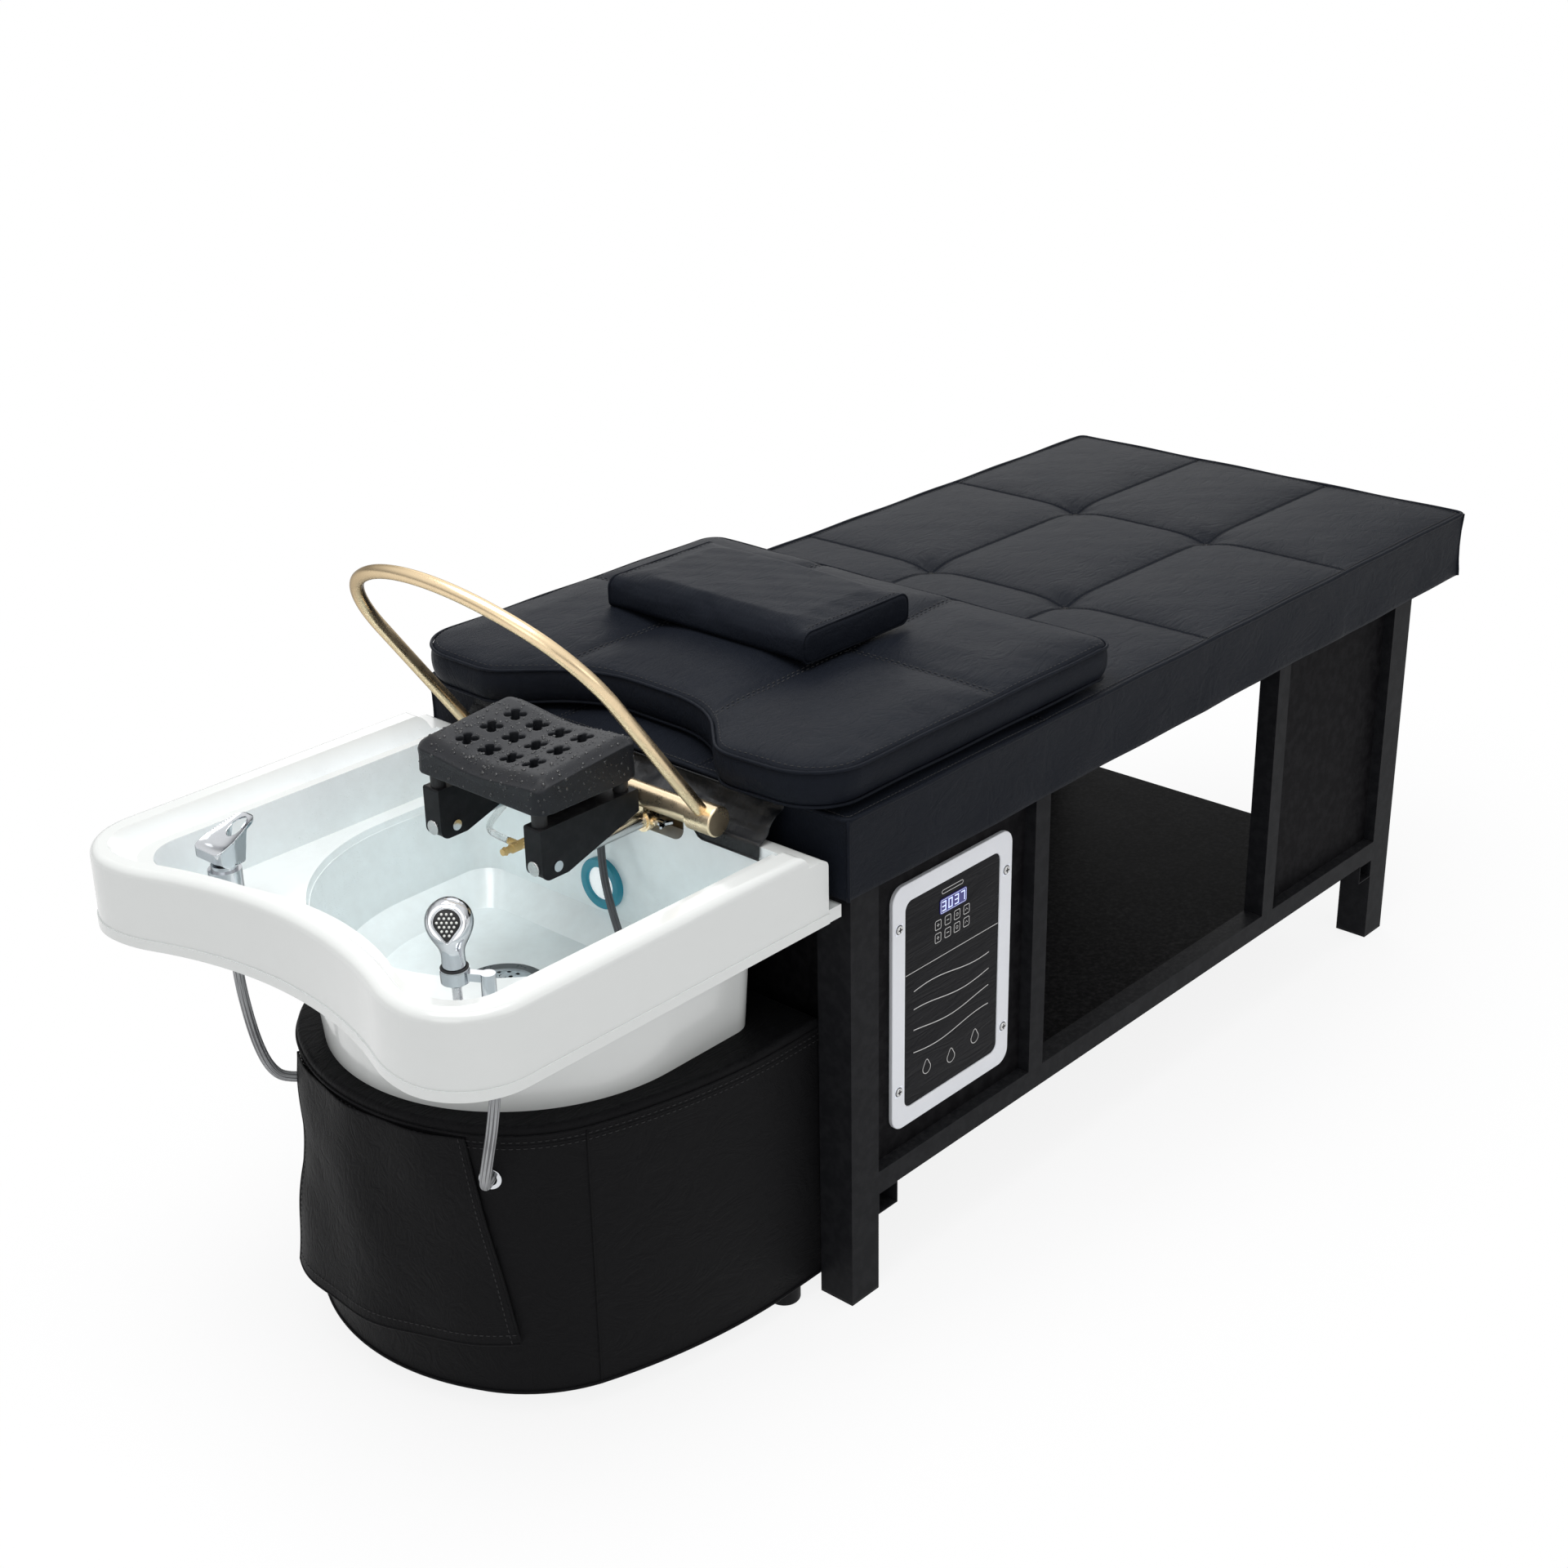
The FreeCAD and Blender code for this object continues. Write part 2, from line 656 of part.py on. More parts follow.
def top_rails():
    """Tubes under the deck: two long ones and the cross tubes between them."""
    start = HEAD_LEG_INSET
    end = FOOT_LEG_START + LEG_SIZE
    rails = both(hollow(start, end, RAIL_INNER, LEG_OUTER, APRON_BOTTOM, TOP_RAIL_TOP, RAIL_WALL, 0))
    pitch = (end - start - RAIL_SIZE) / (CROSS_RAILS - 1)
    for i in range(CROSS_RAILS):
        x = start + i * pitch
        rails.append(hollow(x, x + RAIL_SIZE, -RAIL_INNER, RAIL_INNER, APRON_BOTTOM, TOP_RAIL_TOP,
                            RAIL_WALL, 1))
    return rails


def deck_board():
    reach = BED_HALF - SKIRT - DECK_SIDE_GAP
    inset = SKIRT + DECK_SIDE_GAP
    return [box(inset, BED_LENGTH - inset, -reach, reach, TOP_RAIL_TOP, DECK_TOP)]


def bottom_board():
    top = SHELF_TOP
    return [box(HEAD_LEG_END, FOOT_LEG_START, -RAIL_INNER, RAIL_INNER, RAIL_BOTTOM, top)]


def side_panels():
    """Boards that close both sides of the head bay and of the foot bay."""
    panels = []
    for start, end in ((HEAD_LEG_END, BAY_START_X), (BAY_END_X + RAIL_SIZE, FOOT_LEG_START)):
        panels += both(box(start, end, PANEL_BACK, PANEL_FACE, RAIL_TOP, APRON_BOTTOM))
    return panels


def cross_panels():
    """Boards across the frame: one at the head end and one between the machinery and the shelf bay."""
    head = box(HEAD_LEG_END - PANEL_THICKNESS, HEAD_LEG_END, -LEG_INNER, LEG_INNER, RAIL_BOTTOM,
               APRON_BOTTOM)
    x = BAY_START_X + (RAIL_SIZE - PANEL_THICKNESS) / 2.0
    inner = box(x, x + PANEL_THICKNESS, -RAIL_INNER, RAIL_INNER, SHELF_TOP, APRON_BOTTOM)
    return [head, inner]


def couch_section(x, crown):
    """Cross section of the couch: drawn-in sides and three crowned strips between the long seams."""
    seams = (-BED_HALF, -SEAM_COLUMN_Y, SEAM_COLUMN_Y, BED_HALF)
    steps = []
    for left, right in zip(seams[:-1], seams[1:]):
        steps.append((vec(x, (left + right) / 2.0, SEAM_HEIGHT + crown), vec(x, right, SEAM_HEIGHT)))
    middle = (APRON_BOTTOM + SEAM_HEIGHT) / 2.0
    steps.append((vec(x, BED_HALF - SIDE_DRAW, middle), vec(x, BED_HALF, APRON_BOTTOM)))
    steps.append(vec(x, -BED_HALF, APRON_BOTTOM))
    steps.append((vec(x, -BED_HALF + SIDE_DRAW, middle), vec(x, -BED_HALF, SEAM_HEIGHT)))
    return path(vec(x, -BED_HALF, SEAM_HEIGHT), *steps)


def bed_mattress():
    """Padded couch with sewn tufts, hollow underneath for the deck and its rails."""
    rows = (0.0,) + SEAM_ROWS_X + (BED_LENGTH,)
    body = None
    for start, end in zip(rows[:-1], rows[1:]):
        sections = [couch_section(start, SEAM_CROWN), couch_section((start + end) / 2.0, PANEL_CROWN),
                    couch_section(end, SEAM_CROWN)]
        block = stack(sections, False)
        body = block if body is None else body.fuse(block)
    recess = box(SKIRT, BED_LENGTH - SKIRT, SKIRT - BED_HALF, BED_HALF - SKIRT, APRON_BOTTOM - OVERRUN,
                 DECK_TOP)
    body = body.cut(recess)
    for x in SEAM_ROWS_X:
        for y in (-SEAM_COLUMN_Y, SEAM_COLUMN_Y):
            tip = vec(x, y, SEAM_HEIGHT - TUFT_DEPTH)
            body = body.cut(Part.makeCone(0, TUFT_RADIUS, TUFT_DEPTH + OVERRUN, tip, UP))
    return [body]


def bezel_outline(inset, radius):
    half_width = BEZEL_WIDTH / 2.0 - inset
    half_height = BEZEL_HEIGHT / 2.0 - inset
    return upright(PANEL_CENTRE_X - half_width, PANEL_CENTRE_X + half_width, PANEL_CENTRE_Z - half_height,
                   PANEL_CENTRE_Z + half_height, -PANEL_FACE, radius)


def control_bezel():
    frame = prism(bezel_outline(0, BEZEL_RADIUS), vec(0, -BEZEL_THICKNESS, 0))
    window = prism(bezel_outline(BEZEL_BORDER, WINDOW_RADIUS), vec(0, -BEZEL_THICKNESS - OVERRUN, 0))
    frame = frame.cut(window)
    face = -PANEL_FACE - BEZEL_THICKNESS
    rim = edges_where(frame, lambda p: near(p.y, face))
    return [frame.makeFillet(BEZEL_THICKNESS / 4.0, rim)]


def control_glass():
    outline = bezel_outline(BEZEL_BORDER + GLASS_CLEARANCE, WINDOW_RADIUS - GLASS_CLEARANCE)
    return [prism(outline, vec(0, -GLASS_THICKNESS, 0))]


def bezel_screws():
    screws = []
    reach = BEZEL_WIDTH / 2.0 - BEZEL_BORDER / 2.0
    face = -PANEL_FACE - BEZEL_THICKNESS
    for x in (PANEL_CENTRE_X - reach, PANEL_CENTRE_X + reach):
        for z in BEZEL_SCREW_HEIGHTS:
            head = rod(vec(x, face, z), vec(x, face - BEZEL_SCREW_HEAD, z), BEZEL_SCREW_RADIUS)
            rim = edges_where(head, lambda p: near(p.y, face - BEZEL_SCREW_HEAD))
            screws.append(head.makeFillet(BEZEL_SCREW_HEAD / 2.0, rim))
    return screws


def glass_plate(x, z, width, height, proud):
    """Thin plate on the face of the glass."""
    face = -PANEL_FACE - GLASS_THICKNESS
    outline = upright(x - width / 2.0, x + width / 2.0, z - height / 2.0, z + height / 2.0, face,
                      height / 6.0)
    return prism(outline, vec(0, -proud, 0))


def control_display():
    return [glass_plate(PANEL_CENTRE_X, DISPLAY_Z, DISPLAY_WIDTH, DISPLAY_HEIGHT, DISPLAY_PROUD)]


def control_box():
    """Housing of the electronics behind the control panel."""
    half_width = CONTROL_BOX_WIDTH / 2.0
    half_height = CONTROL_BOX_HEIGHT / 2.0
    back = CONTROL_BOX_DEPTH - PANEL_BACK
    body = box(PANEL_CENTRE_X - half_width, PANEL_CENTRE_X + half_width, -PANEL_BACK, back,
               PANEL_CENTRE_Z - half_height, PANEL_CENTRE_Z + half_height)
    rim = edges_where(body, lambda p: near(p.y, back))
    return [body.makeFillet(CONTROL_BOX_RADIUS, rim)]


def basin_outline(half, reach, notch, lobe_radius, tip_radius, back, z):
    """Plan of the basin at one height: straight sides, two front lobes and a hollow between them."""
    depth = reach - notch
    lobe_y = half - lobe_radius
    tip_offset = tip_radius - depth
    notch_radius = (tip_offset ** 2 + lobe_y ** 2 - tip_radius ** 2) / (2.0 * depth)
    tip_centre = vec(tip_radius - reach, lobe_y, z)
    notch_centre = vec(-notch - notch_radius, 0, z)
    joint = tip_centre + (notch_centre - tip_centre).normalize() * tip_radius
    spread = math.pi - math.atan2(joint.y - tip_centre.y, joint.x - tip_centre.x)
    spread = (spread + math.pi) % (2.0 * math.pi) - math.pi
    tip_middle = tip_centre + vec(-math.cos(spread / 2.0), math.sin(spread / 2.0), 0) * tip_radius
    diagonal = lobe_radius * math.sqrt(0.5)
    lobe_middle = vec(lobe_radius - reach - diagonal, lobe_y + diagonal, z)
    tip = vec(-reach, lobe_y, z)
    side = vec(lobe_radius - reach, half, z)
    flip = lambda p: vec(p.x, -p.y, p.z)
    return path(vec(back, half, z), side, (lobe_middle, tip), (tip_middle, joint),
                (vec(-notch, 0, z), flip(joint)), (flip(tip_middle), flip(tip)),
                (flip(lobe_middle), flip(side)), vec(back, -half, z), vec(back, half, z))


def outer_outline(inset, back, z):
    return basin_outline(BASIN_HALF - inset, BASIN_REACH - inset, BASIN_NOTCH - inset, LOBE_RADIUS - inset,
                         TIP_RADIUS - inset, back, z)


def pocket_outline(side_inset, front_inset, back, z):
    """Plan of the inside of the tray, whose sides and front are set in by their own amounts."""
    return basin_outline(BASIN_HALF - side_inset, BASIN_REACH - front_inset, BASIN_NOTCH - front_inset,
                         LOBE_RADIUS * POCKET_LOBE_SHARE, TIP_RADIUS * POCKET_TIP_SHARE, back, z)


def tray_pocket(grow, floor_z, back):
    """Inside of the tray: flared rim, narrow ledge and steep wall down to the deck."""
    ledge = LEDGE_HEIGHT - grow
    rim = RIM_WIDTH - grow
    front = RIM_FRONT - grow
    side_fall = LEDGE_INSET - RIM_WIDTH
    upper = stack([
        pocket_outline(rim + side_fall, front + side_fall, back, ledge),
        pocket_outline(rim, front, back, BASIN_TOP - RIM_CHAMFER - grow),
        pocket_outline(rim - RIM_CHAMFER, front - RIM_CHAMFER, back, BASIN_TOP - grow),
        pocket_outline(rim - RIM_CHAMFER, front - RIM_CHAMFER, back, BASIN_TOP + OVERRUN)])
    inner = rim + side_fall + LEDGE_WIDTH
    inner_front = front + side_fall + LEDGE_WIDTH
    slope = DECK_INSET - LEDGE_INSET - LEDGE_WIDTH
    lower = stack([
        pocket_outline(inner + slope, inner_front + slope, back, floor_z),
        pocket_outline(inner, inner_front, back, ledge)])
    return upper.fuse(lower)


def bowl_outline(radius, back, round_radius, z):
    """D-shaped plan: a half circle to the front and straight sides back to a flat wall."""
    centre = BOWL_CENTRE_X
    turn = round_radius * (1.0 - math.sqrt(0.5))
    return path(
        vec(back - round_radius, radius, z), vec(centre, radius, z),
        (vec(centre - radius * math.sqrt(0.5), radius * math.sqrt(0.5), z), vec(centre - radius, 0, z)),
        (vec(centre - radius * math.sqrt(0.5), -radius * math.sqrt(0.5), z), vec(centre, -radius, z)),
        vec(back - round_radius, -radius, z),
        (vec(back - turn, -radius + turn, z), vec(back, -radius + round_radius, z)),
        vec(back, radius - round_radius, z),
        (vec(back - turn, radius - turn, z), vec(back - round_radius, radius, z)))


def shower_axis():
    """Unit vector up along the leaning hand shower."""
    lean = math.radians(SHOWER_LEAN)
    return vec(-math.sin(lean), 0, math.cos(lean))


def shower_point(distance):
    """Point on the hand shower's axis, counted from the middle of its collar."""
    return vec(SHOWER_X, SHOWER_Y, SHOWER_Z) + shower_axis() * distance


def shower_deck_distance(z):
    return (z - SHOWER_Z) / math.cos(math.radians(SHOWER_LEAN))


def tray_holes():
    """Openings in the deck for the tap, the shower hose and the holder's post."""
    low = DECK_HEIGHT - BASIN_WALL - OVERRUN
    high = DECK_HEIGHT + OVERRUN
    tap = rod(vec(TAP_X, TAP_Y, low), vec(TAP_X, TAP_Y, high), TAP_TAIL_RADIUS + TAP_CLEARANCE)
    post = rod(vec(HOLDER_POST_X, HOLDER_POST_Y, low), vec(HOLDER_POST_X, HOLDER_POST_Y, high),
               HOLDER_TAIL_RADIUS + TAP_CLEARANCE)
    foot = shower_point(shower_deck_distance(DECK_HEIGHT))
    hose = rod(vec(foot.x, foot.y, low), vec(foot.x, foot.y, high), GROMMET_RADIUS - GROMMET_FLANGE)
    return [tap, post, hose]


def basin_tray():
    """Top of the basin: rolled rim, apron all round, ledge, deck and the way down into the bowl."""
    lip = prism(outer_outline(0, -BASIN_BACK, BASIN_BOTTOM), vec(0, 0, LIP_HEIGHT))
    wall = prism(outer_outline(LIP_PROUD, -BASIN_BACK, BASIN_BOTTOM + LIP_HEIGHT),
                 vec(0, 0, BASIN_TOP - BASIN_BOTTOM - LIP_HEIGHT))
    rim = edges_where(wall, lambda p: near(p.z, BASIN_TOP))
    front = -BASIN_BACK - LIP_PROUD
    rim = [edge for edge in rim if min(vertex.Point.x for vertex in edge.Vertexes) < front]
    wall = wall.makeFillet(RIM_RADIUS, rim)
    half = BASIN_HALF - LIP_PROUD
    back_lip = box(-BASIN_BACK, BACK_LIP_REACH, -half, half, BASIN_BOTTOM, BACK_LIP_TOP)
    body = lip.fuse(wall).fuse(back_lip)
    body = body.cut(rim_end_cut()).cut(saddle_cut())
    body = body.cut(tray_pocket(0, DECK_HEIGHT, -BASIN_BACK_INNER))
    void = prism(outer_outline(BASIN_WALL, -RIM_END, BASIN_BOTTOM - OVERRUN),
                 vec(0, 0, BASIN_TOP - BASIN_WALL - BASIN_BOTTOM + OVERRUN))
    body = body.cut(void.cut(tray_pocket(BASIN_WALL, DECK_HEIGHT - BASIN_WALL, 0)))
    mouth_low = bowl_outline(MOUTH_RADIUS, -BASIN_BACK_INNER, BOWL_CORNER,
                             DECK_HEIGHT - BASIN_WALL - OVERRUN)
    mouth_high = bowl_outline(MOUTH_RADIUS + BASIN_WALL / 2.0, -BASIN_BACK_INNER, BOWL_CORNER,
                              DECK_HEIGHT + OVERRUN)
    body = body.cut(stack([mouth_low, mouth_high]))
    seat = bowl_outline(BOWL_OUTER_TOP + GLASS_CLEARANCE, BOWL_BACK_X + GLASS_CLEARANCE, BOWL_CORNER,
                        BASIN_BOTTOM - OVERRUN)
    body = body.cut(prism(seat, vec(0, 0, DECK_HEIGHT - BASIN_WALL - BASIN_BOTTOM + OVERRUN)))
    for hole in tray_holes():
        body = body.cut(hole)
    return [body]


def rim_end_cut():
    """Step down from the high side rims to the lower rim at the couch, rounded at its top."""
    side = -BED_HALF
    low = BACK_RIM_TOP
    high = BASIN_TOP + OVERRUN
    start = -RIM_END
    end = BACK_LIP_REACH + OVERRUN
    shoulder = start - RIM_END_RADIUS
    turn = RIM_END_RADIUS * (1.0 - math.sqrt(0.5))
    bend = vec(start - turn, side, BASIN_TOP - turn)
    back = -BASIN_BACK
    drop = low - RIM_BACK_RADIUS
    back_turn = RIM_BACK_RADIUS * (1.0 - math.sqrt(0.5))
    back_bend = vec(back - back_turn, side, low - back_turn)
    outline = path(vec(start, side, low), vec(back - RIM_BACK_RADIUS, side, low),
                   (back_bend, vec(back, side, drop)), vec(end, side, drop), vec(end, side, high),
                   vec(shoulder, side, high), vec(shoulder, side, BASIN_TOP),
                   (bend, vec(start, side, BASIN_TOP - RIM_END_RADIUS)),
                   vec(start, side, low))
    return prism(outline, vec(0, BED_WIDTH, 0))


def saddle_cut():
    """Dip in the middle of the back rim, where the neck and the headrest's rods pass."""
    x = -RIM_END - OVERRUN
    high = BASIN_TOP + OVERRUN
    points = [vec(x, -SADDLE_HALF, SADDLE_HEIGHT), vec(x, SADDLE_HALF, SADDLE_HEIGHT),
              vec(x, SADDLE_HALF, high), vec(x, -SADDLE_HALF, high)]
    outline = rounded(points, [SADDLE_RADIUS, SADDLE_RADIUS, OVERRUN / 4.0, OVERRUN / 4.0])
    return prism(outline, vec(RIM_END + OVERRUN, 0, 0))


def basin_bowl():
    """Bowl with its drain hole, lamp hole and the skirt that stands on the base."""
    top = DECK_HEIGHT - BASIN_WALL
    outer = stack([bowl_outline(BOWL_OUTER_FOOT, BOWL_BACK_X, BOWL_CORNER, BOWL_FOOT_Z),
                   bowl_outline(BOWL_OUTER_TOP, BOWL_BACK_X, BOWL_CORNER, top)])
    inside = stack([bowl_outline(BOWL_FLOOR_RADIUS, BOWL_FLOOR_BACK_X, BOWL_CORNER, BOWL_FLOOR_Z),
                    bowl_outline(BOWL_HIP_RADIUS, -BASIN_BACK_INNER, BOWL_CORNER, BOWL_HIP_Z),
                    bowl_outline(MOUTH_RADIUS, -BASIN_BACK_INNER, BOWL_CORNER, top),
                    bowl_outline(MOUTH_RADIUS, -BASIN_BACK_INNER, BOWL_CORNER, top + OVERRUN)])
    under = prism(bowl_outline(BOWL_OUTER_FOOT - BASIN_WALL, BOWL_BACK_X - BASIN_WALL,
                               BOWL_CORNER - BASIN_WALL, BOWL_FOOT_Z - OVERRUN),
                  vec(0, 0, BOWL_FLOOR_Z - BOWL_FLOOR_THICKNESS - BOWL_FOOT_Z + OVERRUN))
    drain = rod(vec(DRAIN_X, 0, BOWL_FOOT_Z), vec(DRAIN_X, 0, BOWL_FLOOR_Z + OVERRUN),
                DRAIN_TAIL_RADIUS + TAP_CLEARANCE)
    lamp = rod(vec(-BASIN_BACK_INNER - OVERRUN, 0, LAMP_Z), vec(BOWL_BACK_X + OVERRUN, 0, LAMP_Z),
               LAMP_STEM_RADIUS + TAP_CLEARANCE)
    return [outer.cut(inside).cut(under).cut(drain).cut(lamp)]


def drain_flange():
    """Flange on the bowl's floor with its threaded tail."""
    top = BOWL_FLOOR_Z + DRAIN_PROUD
    ring = Part.makeCylinder(DRAIN_RADIUS, DRAIN_PROUD, vec(DRAIN_X, 0, BOWL_FLOOR_Z), UP)
    rim = edges_where(ring, lambda p: near(p.z, top))
    ring = ring.makeFillet(DRAIN_PROUD / 2.0, rim)
    tail = Part.makeCylinder(DRAIN_TAIL_RADIUS, top - DRAIN_TAIL_BOTTOM,
                             vec(DRAIN_X, 0, DRAIN_TAIL_BOTTOM), UP)
    bore = Part.makeCylinder(DRAIN_BORE, top - DRAIN_TAIL_BOTTOM + 2.0 * OVERRUN,
                             vec(DRAIN_X, 0, DRAIN_TAIL_BOTTOM - OVERRUN), UP)
    seat = Part.makeCylinder(DRAIN_SEAT_RADIUS, DRAIN_PROUD, vec(DRAIN_X, 0, top - DRAIN_PROUD / 2.0), UP)
    return [ring.fuse(tail).cut(bore).cut(seat)]


def drain_strainer():
    """Domed strainer with rings of holes and a small knob, which lifts out."""
    bottom = BOWL_FLOOR_Z + DRAIN_PROUD / 2.0
    edge = DRAIN_SEAT_RADIUS - STRAINER_CLEARANCE
    thick = STRAINER_THICKNESS
    crown = bottom + STRAINER_DOME
    half_way = DRAIN_X + edge * STRAINER_BEND_SHARE
    bend = crown - STRAINER_DOME * STRAINER_FALL_SHARE
    profile = path(
        vec(DRAIN_X, 0, crown), vec(DRAIN_X, 0, crown + thick),
        vec(DRAIN_X + STRAINER_KNOB, 0, crown + thick),
        (vec(half_way, 0, bend + thick), vec(DRAIN_X + edge, 0, bottom + thick)),
        vec(DRAIN_X + edge, 0, bottom), (vec(half_way, 0, bend), vec(DRAIN_X + STRAINER_KNOB, 0, crown)),
        vec(DRAIN_X, 0, crown))
    dome = Part.Face(profile).revolve(vec(DRAIN_X, 0, 0), UP, 360)
    for radius, count in zip(STRAINER_RING_RADII, STRAINER_RING_COUNTS):
        for i in range(count):
            angle = 2.0 * math.pi * i / count
            place = vec(DRAIN_X + radius * math.cos(angle), radius * math.sin(angle), bottom - OVERRUN)
            dome = dome.cut(Part.makeCylinder(STRAINER_HOLE, crown, place, UP))
    knob = Part.makeCylinder(STRAINER_KNOB * STRAINER_BEND_SHARE, STRAINER_KNOB,
                             vec(DRAIN_X, 0, crown + thick / 2.0), UP)
    return [dome.fuse(knob)]


def waste_pipe():
    """Outlet from the drain down through the base, ending in a plain spigot."""
    outer = DRAIN_TAIL_RADIUS + WASTE_WALL + TAP_CLEARANCE
    cup_bottom = DRAIN_TAIL_BOTTOM - WASTE_WALL
    cup_top = BOWL_FLOOR_Z - BOWL_FLOOR_THICKNESS
    cup = pipe(vec(DRAIN_X, 0, cup_bottom), vec(DRAIN_X, 0, cup_top), outer, TRAP_RADIUS - WASTE_WALL)
    socket = rod(vec(DRAIN_X, 0, DRAIN_TAIL_BOTTOM), vec(DRAIN_X, 0, cup_top + OVERRUN),
                 DRAIN_TAIL_RADIUS + TAP_CLEARANCE)
    spigot_top = WASTE_BOTTOM + SPIGOT_REACH
    inner = TRAP_RADIUS - WASTE_WALL
    drop = pipe(vec(DRAIN_X, 0, spigot_top), vec(DRAIN_X, 0, cup_bottom), TRAP_RADIUS + WASTE_WALL, inner)
    spigot = pipe(vec(DRAIN_X, 0, WASTE_BOTTOM), vec(DRAIN_X, 0, spigot_top), TRAP_RADIUS, inner)
    return [cup.cut(socket).fuse(drop).fuse(spigot)]


def lamp_ring():
    """Coloured ring light on the bowl's back wall."""
    face = -BASIN_BACK_INNER
    ring = pipe(vec(face - LAMP_PROUD, 0, LAMP_Z), vec(face, 0, LAMP_Z), LAMP_RADIUS, LAMP_LENS_RADIUS)
    rim = edges_where(ring, lambda p: near(p.x, face - LAMP_PROUD))
    return [ring.makeFillet(LAMP_PROUD / 3.0, rim)]


def lamp_lens():
    """Pale centre of the lamp, with its stem through the wall."""
    face = -BASIN_BACK_INNER
    dome_face = face - LAMP_PROUD / 2.0
    disc = rod(vec(dome_face, 0, LAMP_Z), vec(face, 0, LAMP_Z), LAMP_LENS_RADIUS - TAP_CLEARANCE)
    stem = rod(vec(face, 0, LAMP_Z), vec(face + LAMP_STEM, 0, LAMP_Z), LAMP_STEM_RADIUS)
    return [disc.fuse(stem)]


def base_outline(inset, z):
    """Plan of the base: flat back, sides that draw in, rounded cheeks and a bowed front."""
    def point(x, y):
        away = vec(x - BASE_SIDE_X, y, 0).normalize() * inset
        return vec(x - away.x, y - away.y, z)
    half = BASE_HALF_WIDTH - inset
    back = BASE_BACK_X - inset
    side = vec(BASE_SIDE_X, half, z)
    side_middle = point(*BASE_SIDE_MIDDLE)
    shoulder = point(*BASE_SHOULDER)
    corner_middle = point(*BASE_CORNER_MIDDLE)
    cheek = point(*BASE_CHEEK)
    front = vec(BASE_FRONT_X + inset, 0, z)
    flip = lambda p: vec(p.x, -p.y, p.z)
    return path(vec(back, half, z), side, (side_middle, shoulder), (corner_middle, cheek),
                (front, flip(cheek)), (flip(corner_middle), flip(shoulder)),
                (flip(side_middle), flip(side)), vec(back, -half, z), vec(back, half, z))


def base_shell():
    """Clad wall of the base, open at the bottom and under its top board."""
    top = BASE_HEIGHT - BASE_TOP_THICKNESS
    outer = prism(base_outline(0, BASE_BOTTOM), vec(0, 0, top - BASE_BOTTOM))
    inner = prism(base_outline(BASE_WALL, BASE_BOTTOM - OVERRUN),
                  vec(0, 0, top - BASE_BOTTOM + 2.0 * OVERRUN))
    shell = outer.cut(inner)
    for hole in both(eyelet_hole()):
        shell = shell.cut(hole)
    for place in FOOT_PLACES:
        shell = shell.fuse(foot_block(place))
    return [shell]


def foot_block(place):
    """Block inside the wall that a foot is screwed to."""
    x, y = place
    size = FOOT_RADIUS + FOOT_PLATE / 2.0
    block = box(x - size, x + size, y - size, y + size, BASE_BOTTOM, BASE_BOTTOM + 2.0 * FOOT_PLATE)
    return block.common(prism(base_outline(0, BASE_BOTTOM), vec(0, 0, BASE_HEIGHT)))


def base_top():
    """Top board, with the opening under the bowl."""
    bottom = BASE_HEIGHT - BASE_TOP_THICKNESS
    board = prism(base_outline(0, bottom), vec(0, 0, BASE_TOP_THICKNESS))
    rim = edges_where(board, lambda p: near(p.z, BASE_HEIGHT))
    board = board.makeFillet(BASE_EDGE_RADIUS, rim)
    opening = prism(bowl_outline(BASE_OPENING_RADIUS, BASE_OPENING_BACK_X, BOWL_CORNER, bottom - OVERRUN),
                    vec(0, 0, BASE_TOP_THICKNESS + 2.0 * OVERRUN))
    return [board.cut(opening)]


def base_feet():
    feet = []
    for x, y in FOOT_PLACES:
        foot = Part.makeCylinder(FOOT_RADIUS, BASE_BOTTOM, vec(x, y, 0), UP)
        rim = edges_where(foot, lambda p: near(p.z, 0))
        feet.append(foot.makeFillet(FOOT_PLATE / 2.0, rim))
    return feet


def base_front_x(y, out):
    """Where the bowed front of the base stands at one place across it, moved out by a distance."""
    cheek_x, cheek_y = BASE_CHEEK
    depth = cheek_x - BASE_FRONT_X
    radius = (cheek_y ** 2 + depth ** 2) / (2.0 * depth)
    bow = radius + out
    return BASE_FRONT_X + radius - math.sqrt(bow ** 2 - y ** 2)


def flap_section(share):
    """Upright slice of the hanging flap at one share of its width."""
    top_y = FLAP_LEFT_Y + (FLAP_RIGHT_Y - FLAP_LEFT_Y) * share
    low_y = FLAP_LEFT_BOTTOM_Y + (FLAP_RIGHT_BOTTOM_Y - FLAP_LEFT_BOTTOM_Y) * share
    middle_y = (top_y + low_y) / 2.0
    low_z = FLAP_LEFT_BOTTOM_Z + (FLAP_RIGHT_BOTTOM_Z - FLAP_LEFT_BOTTOM_Z) * share
    wave = FLAP_WAVE * (1.0 + math.sin(2.0 * math.pi * FLAP_WAVES * share)) / 2.0
    flare = FLAP_GAP + FLAP_FLARE * (1.0 - share) + wave
    inner = [vec(base_front_x(top_y, FLAP_GAP), top_y, FLAP_TOP_Z),
             vec(base_front_x(middle_y, (FLAP_GAP + flare) / 2.0), middle_y, (FLAP_TOP_Z + low_z) / 2.0),
             vec(base_front_x(low_y, flare), low_y, low_z)]
    outer = [point - vec(FLAP_THICKNESS, 0, 0) for point in reversed(inner)]
    return path(inner[0], inner[1], inner[2], outer[0], outer[1], outer[2], inner[0])


def base_flap():
    """Cloth flap that hangs over the front of the base."""
    return [stack([flap_section(i / FLAP_STATIONS) for i in range(FLAP_STATIONS + 1)])]


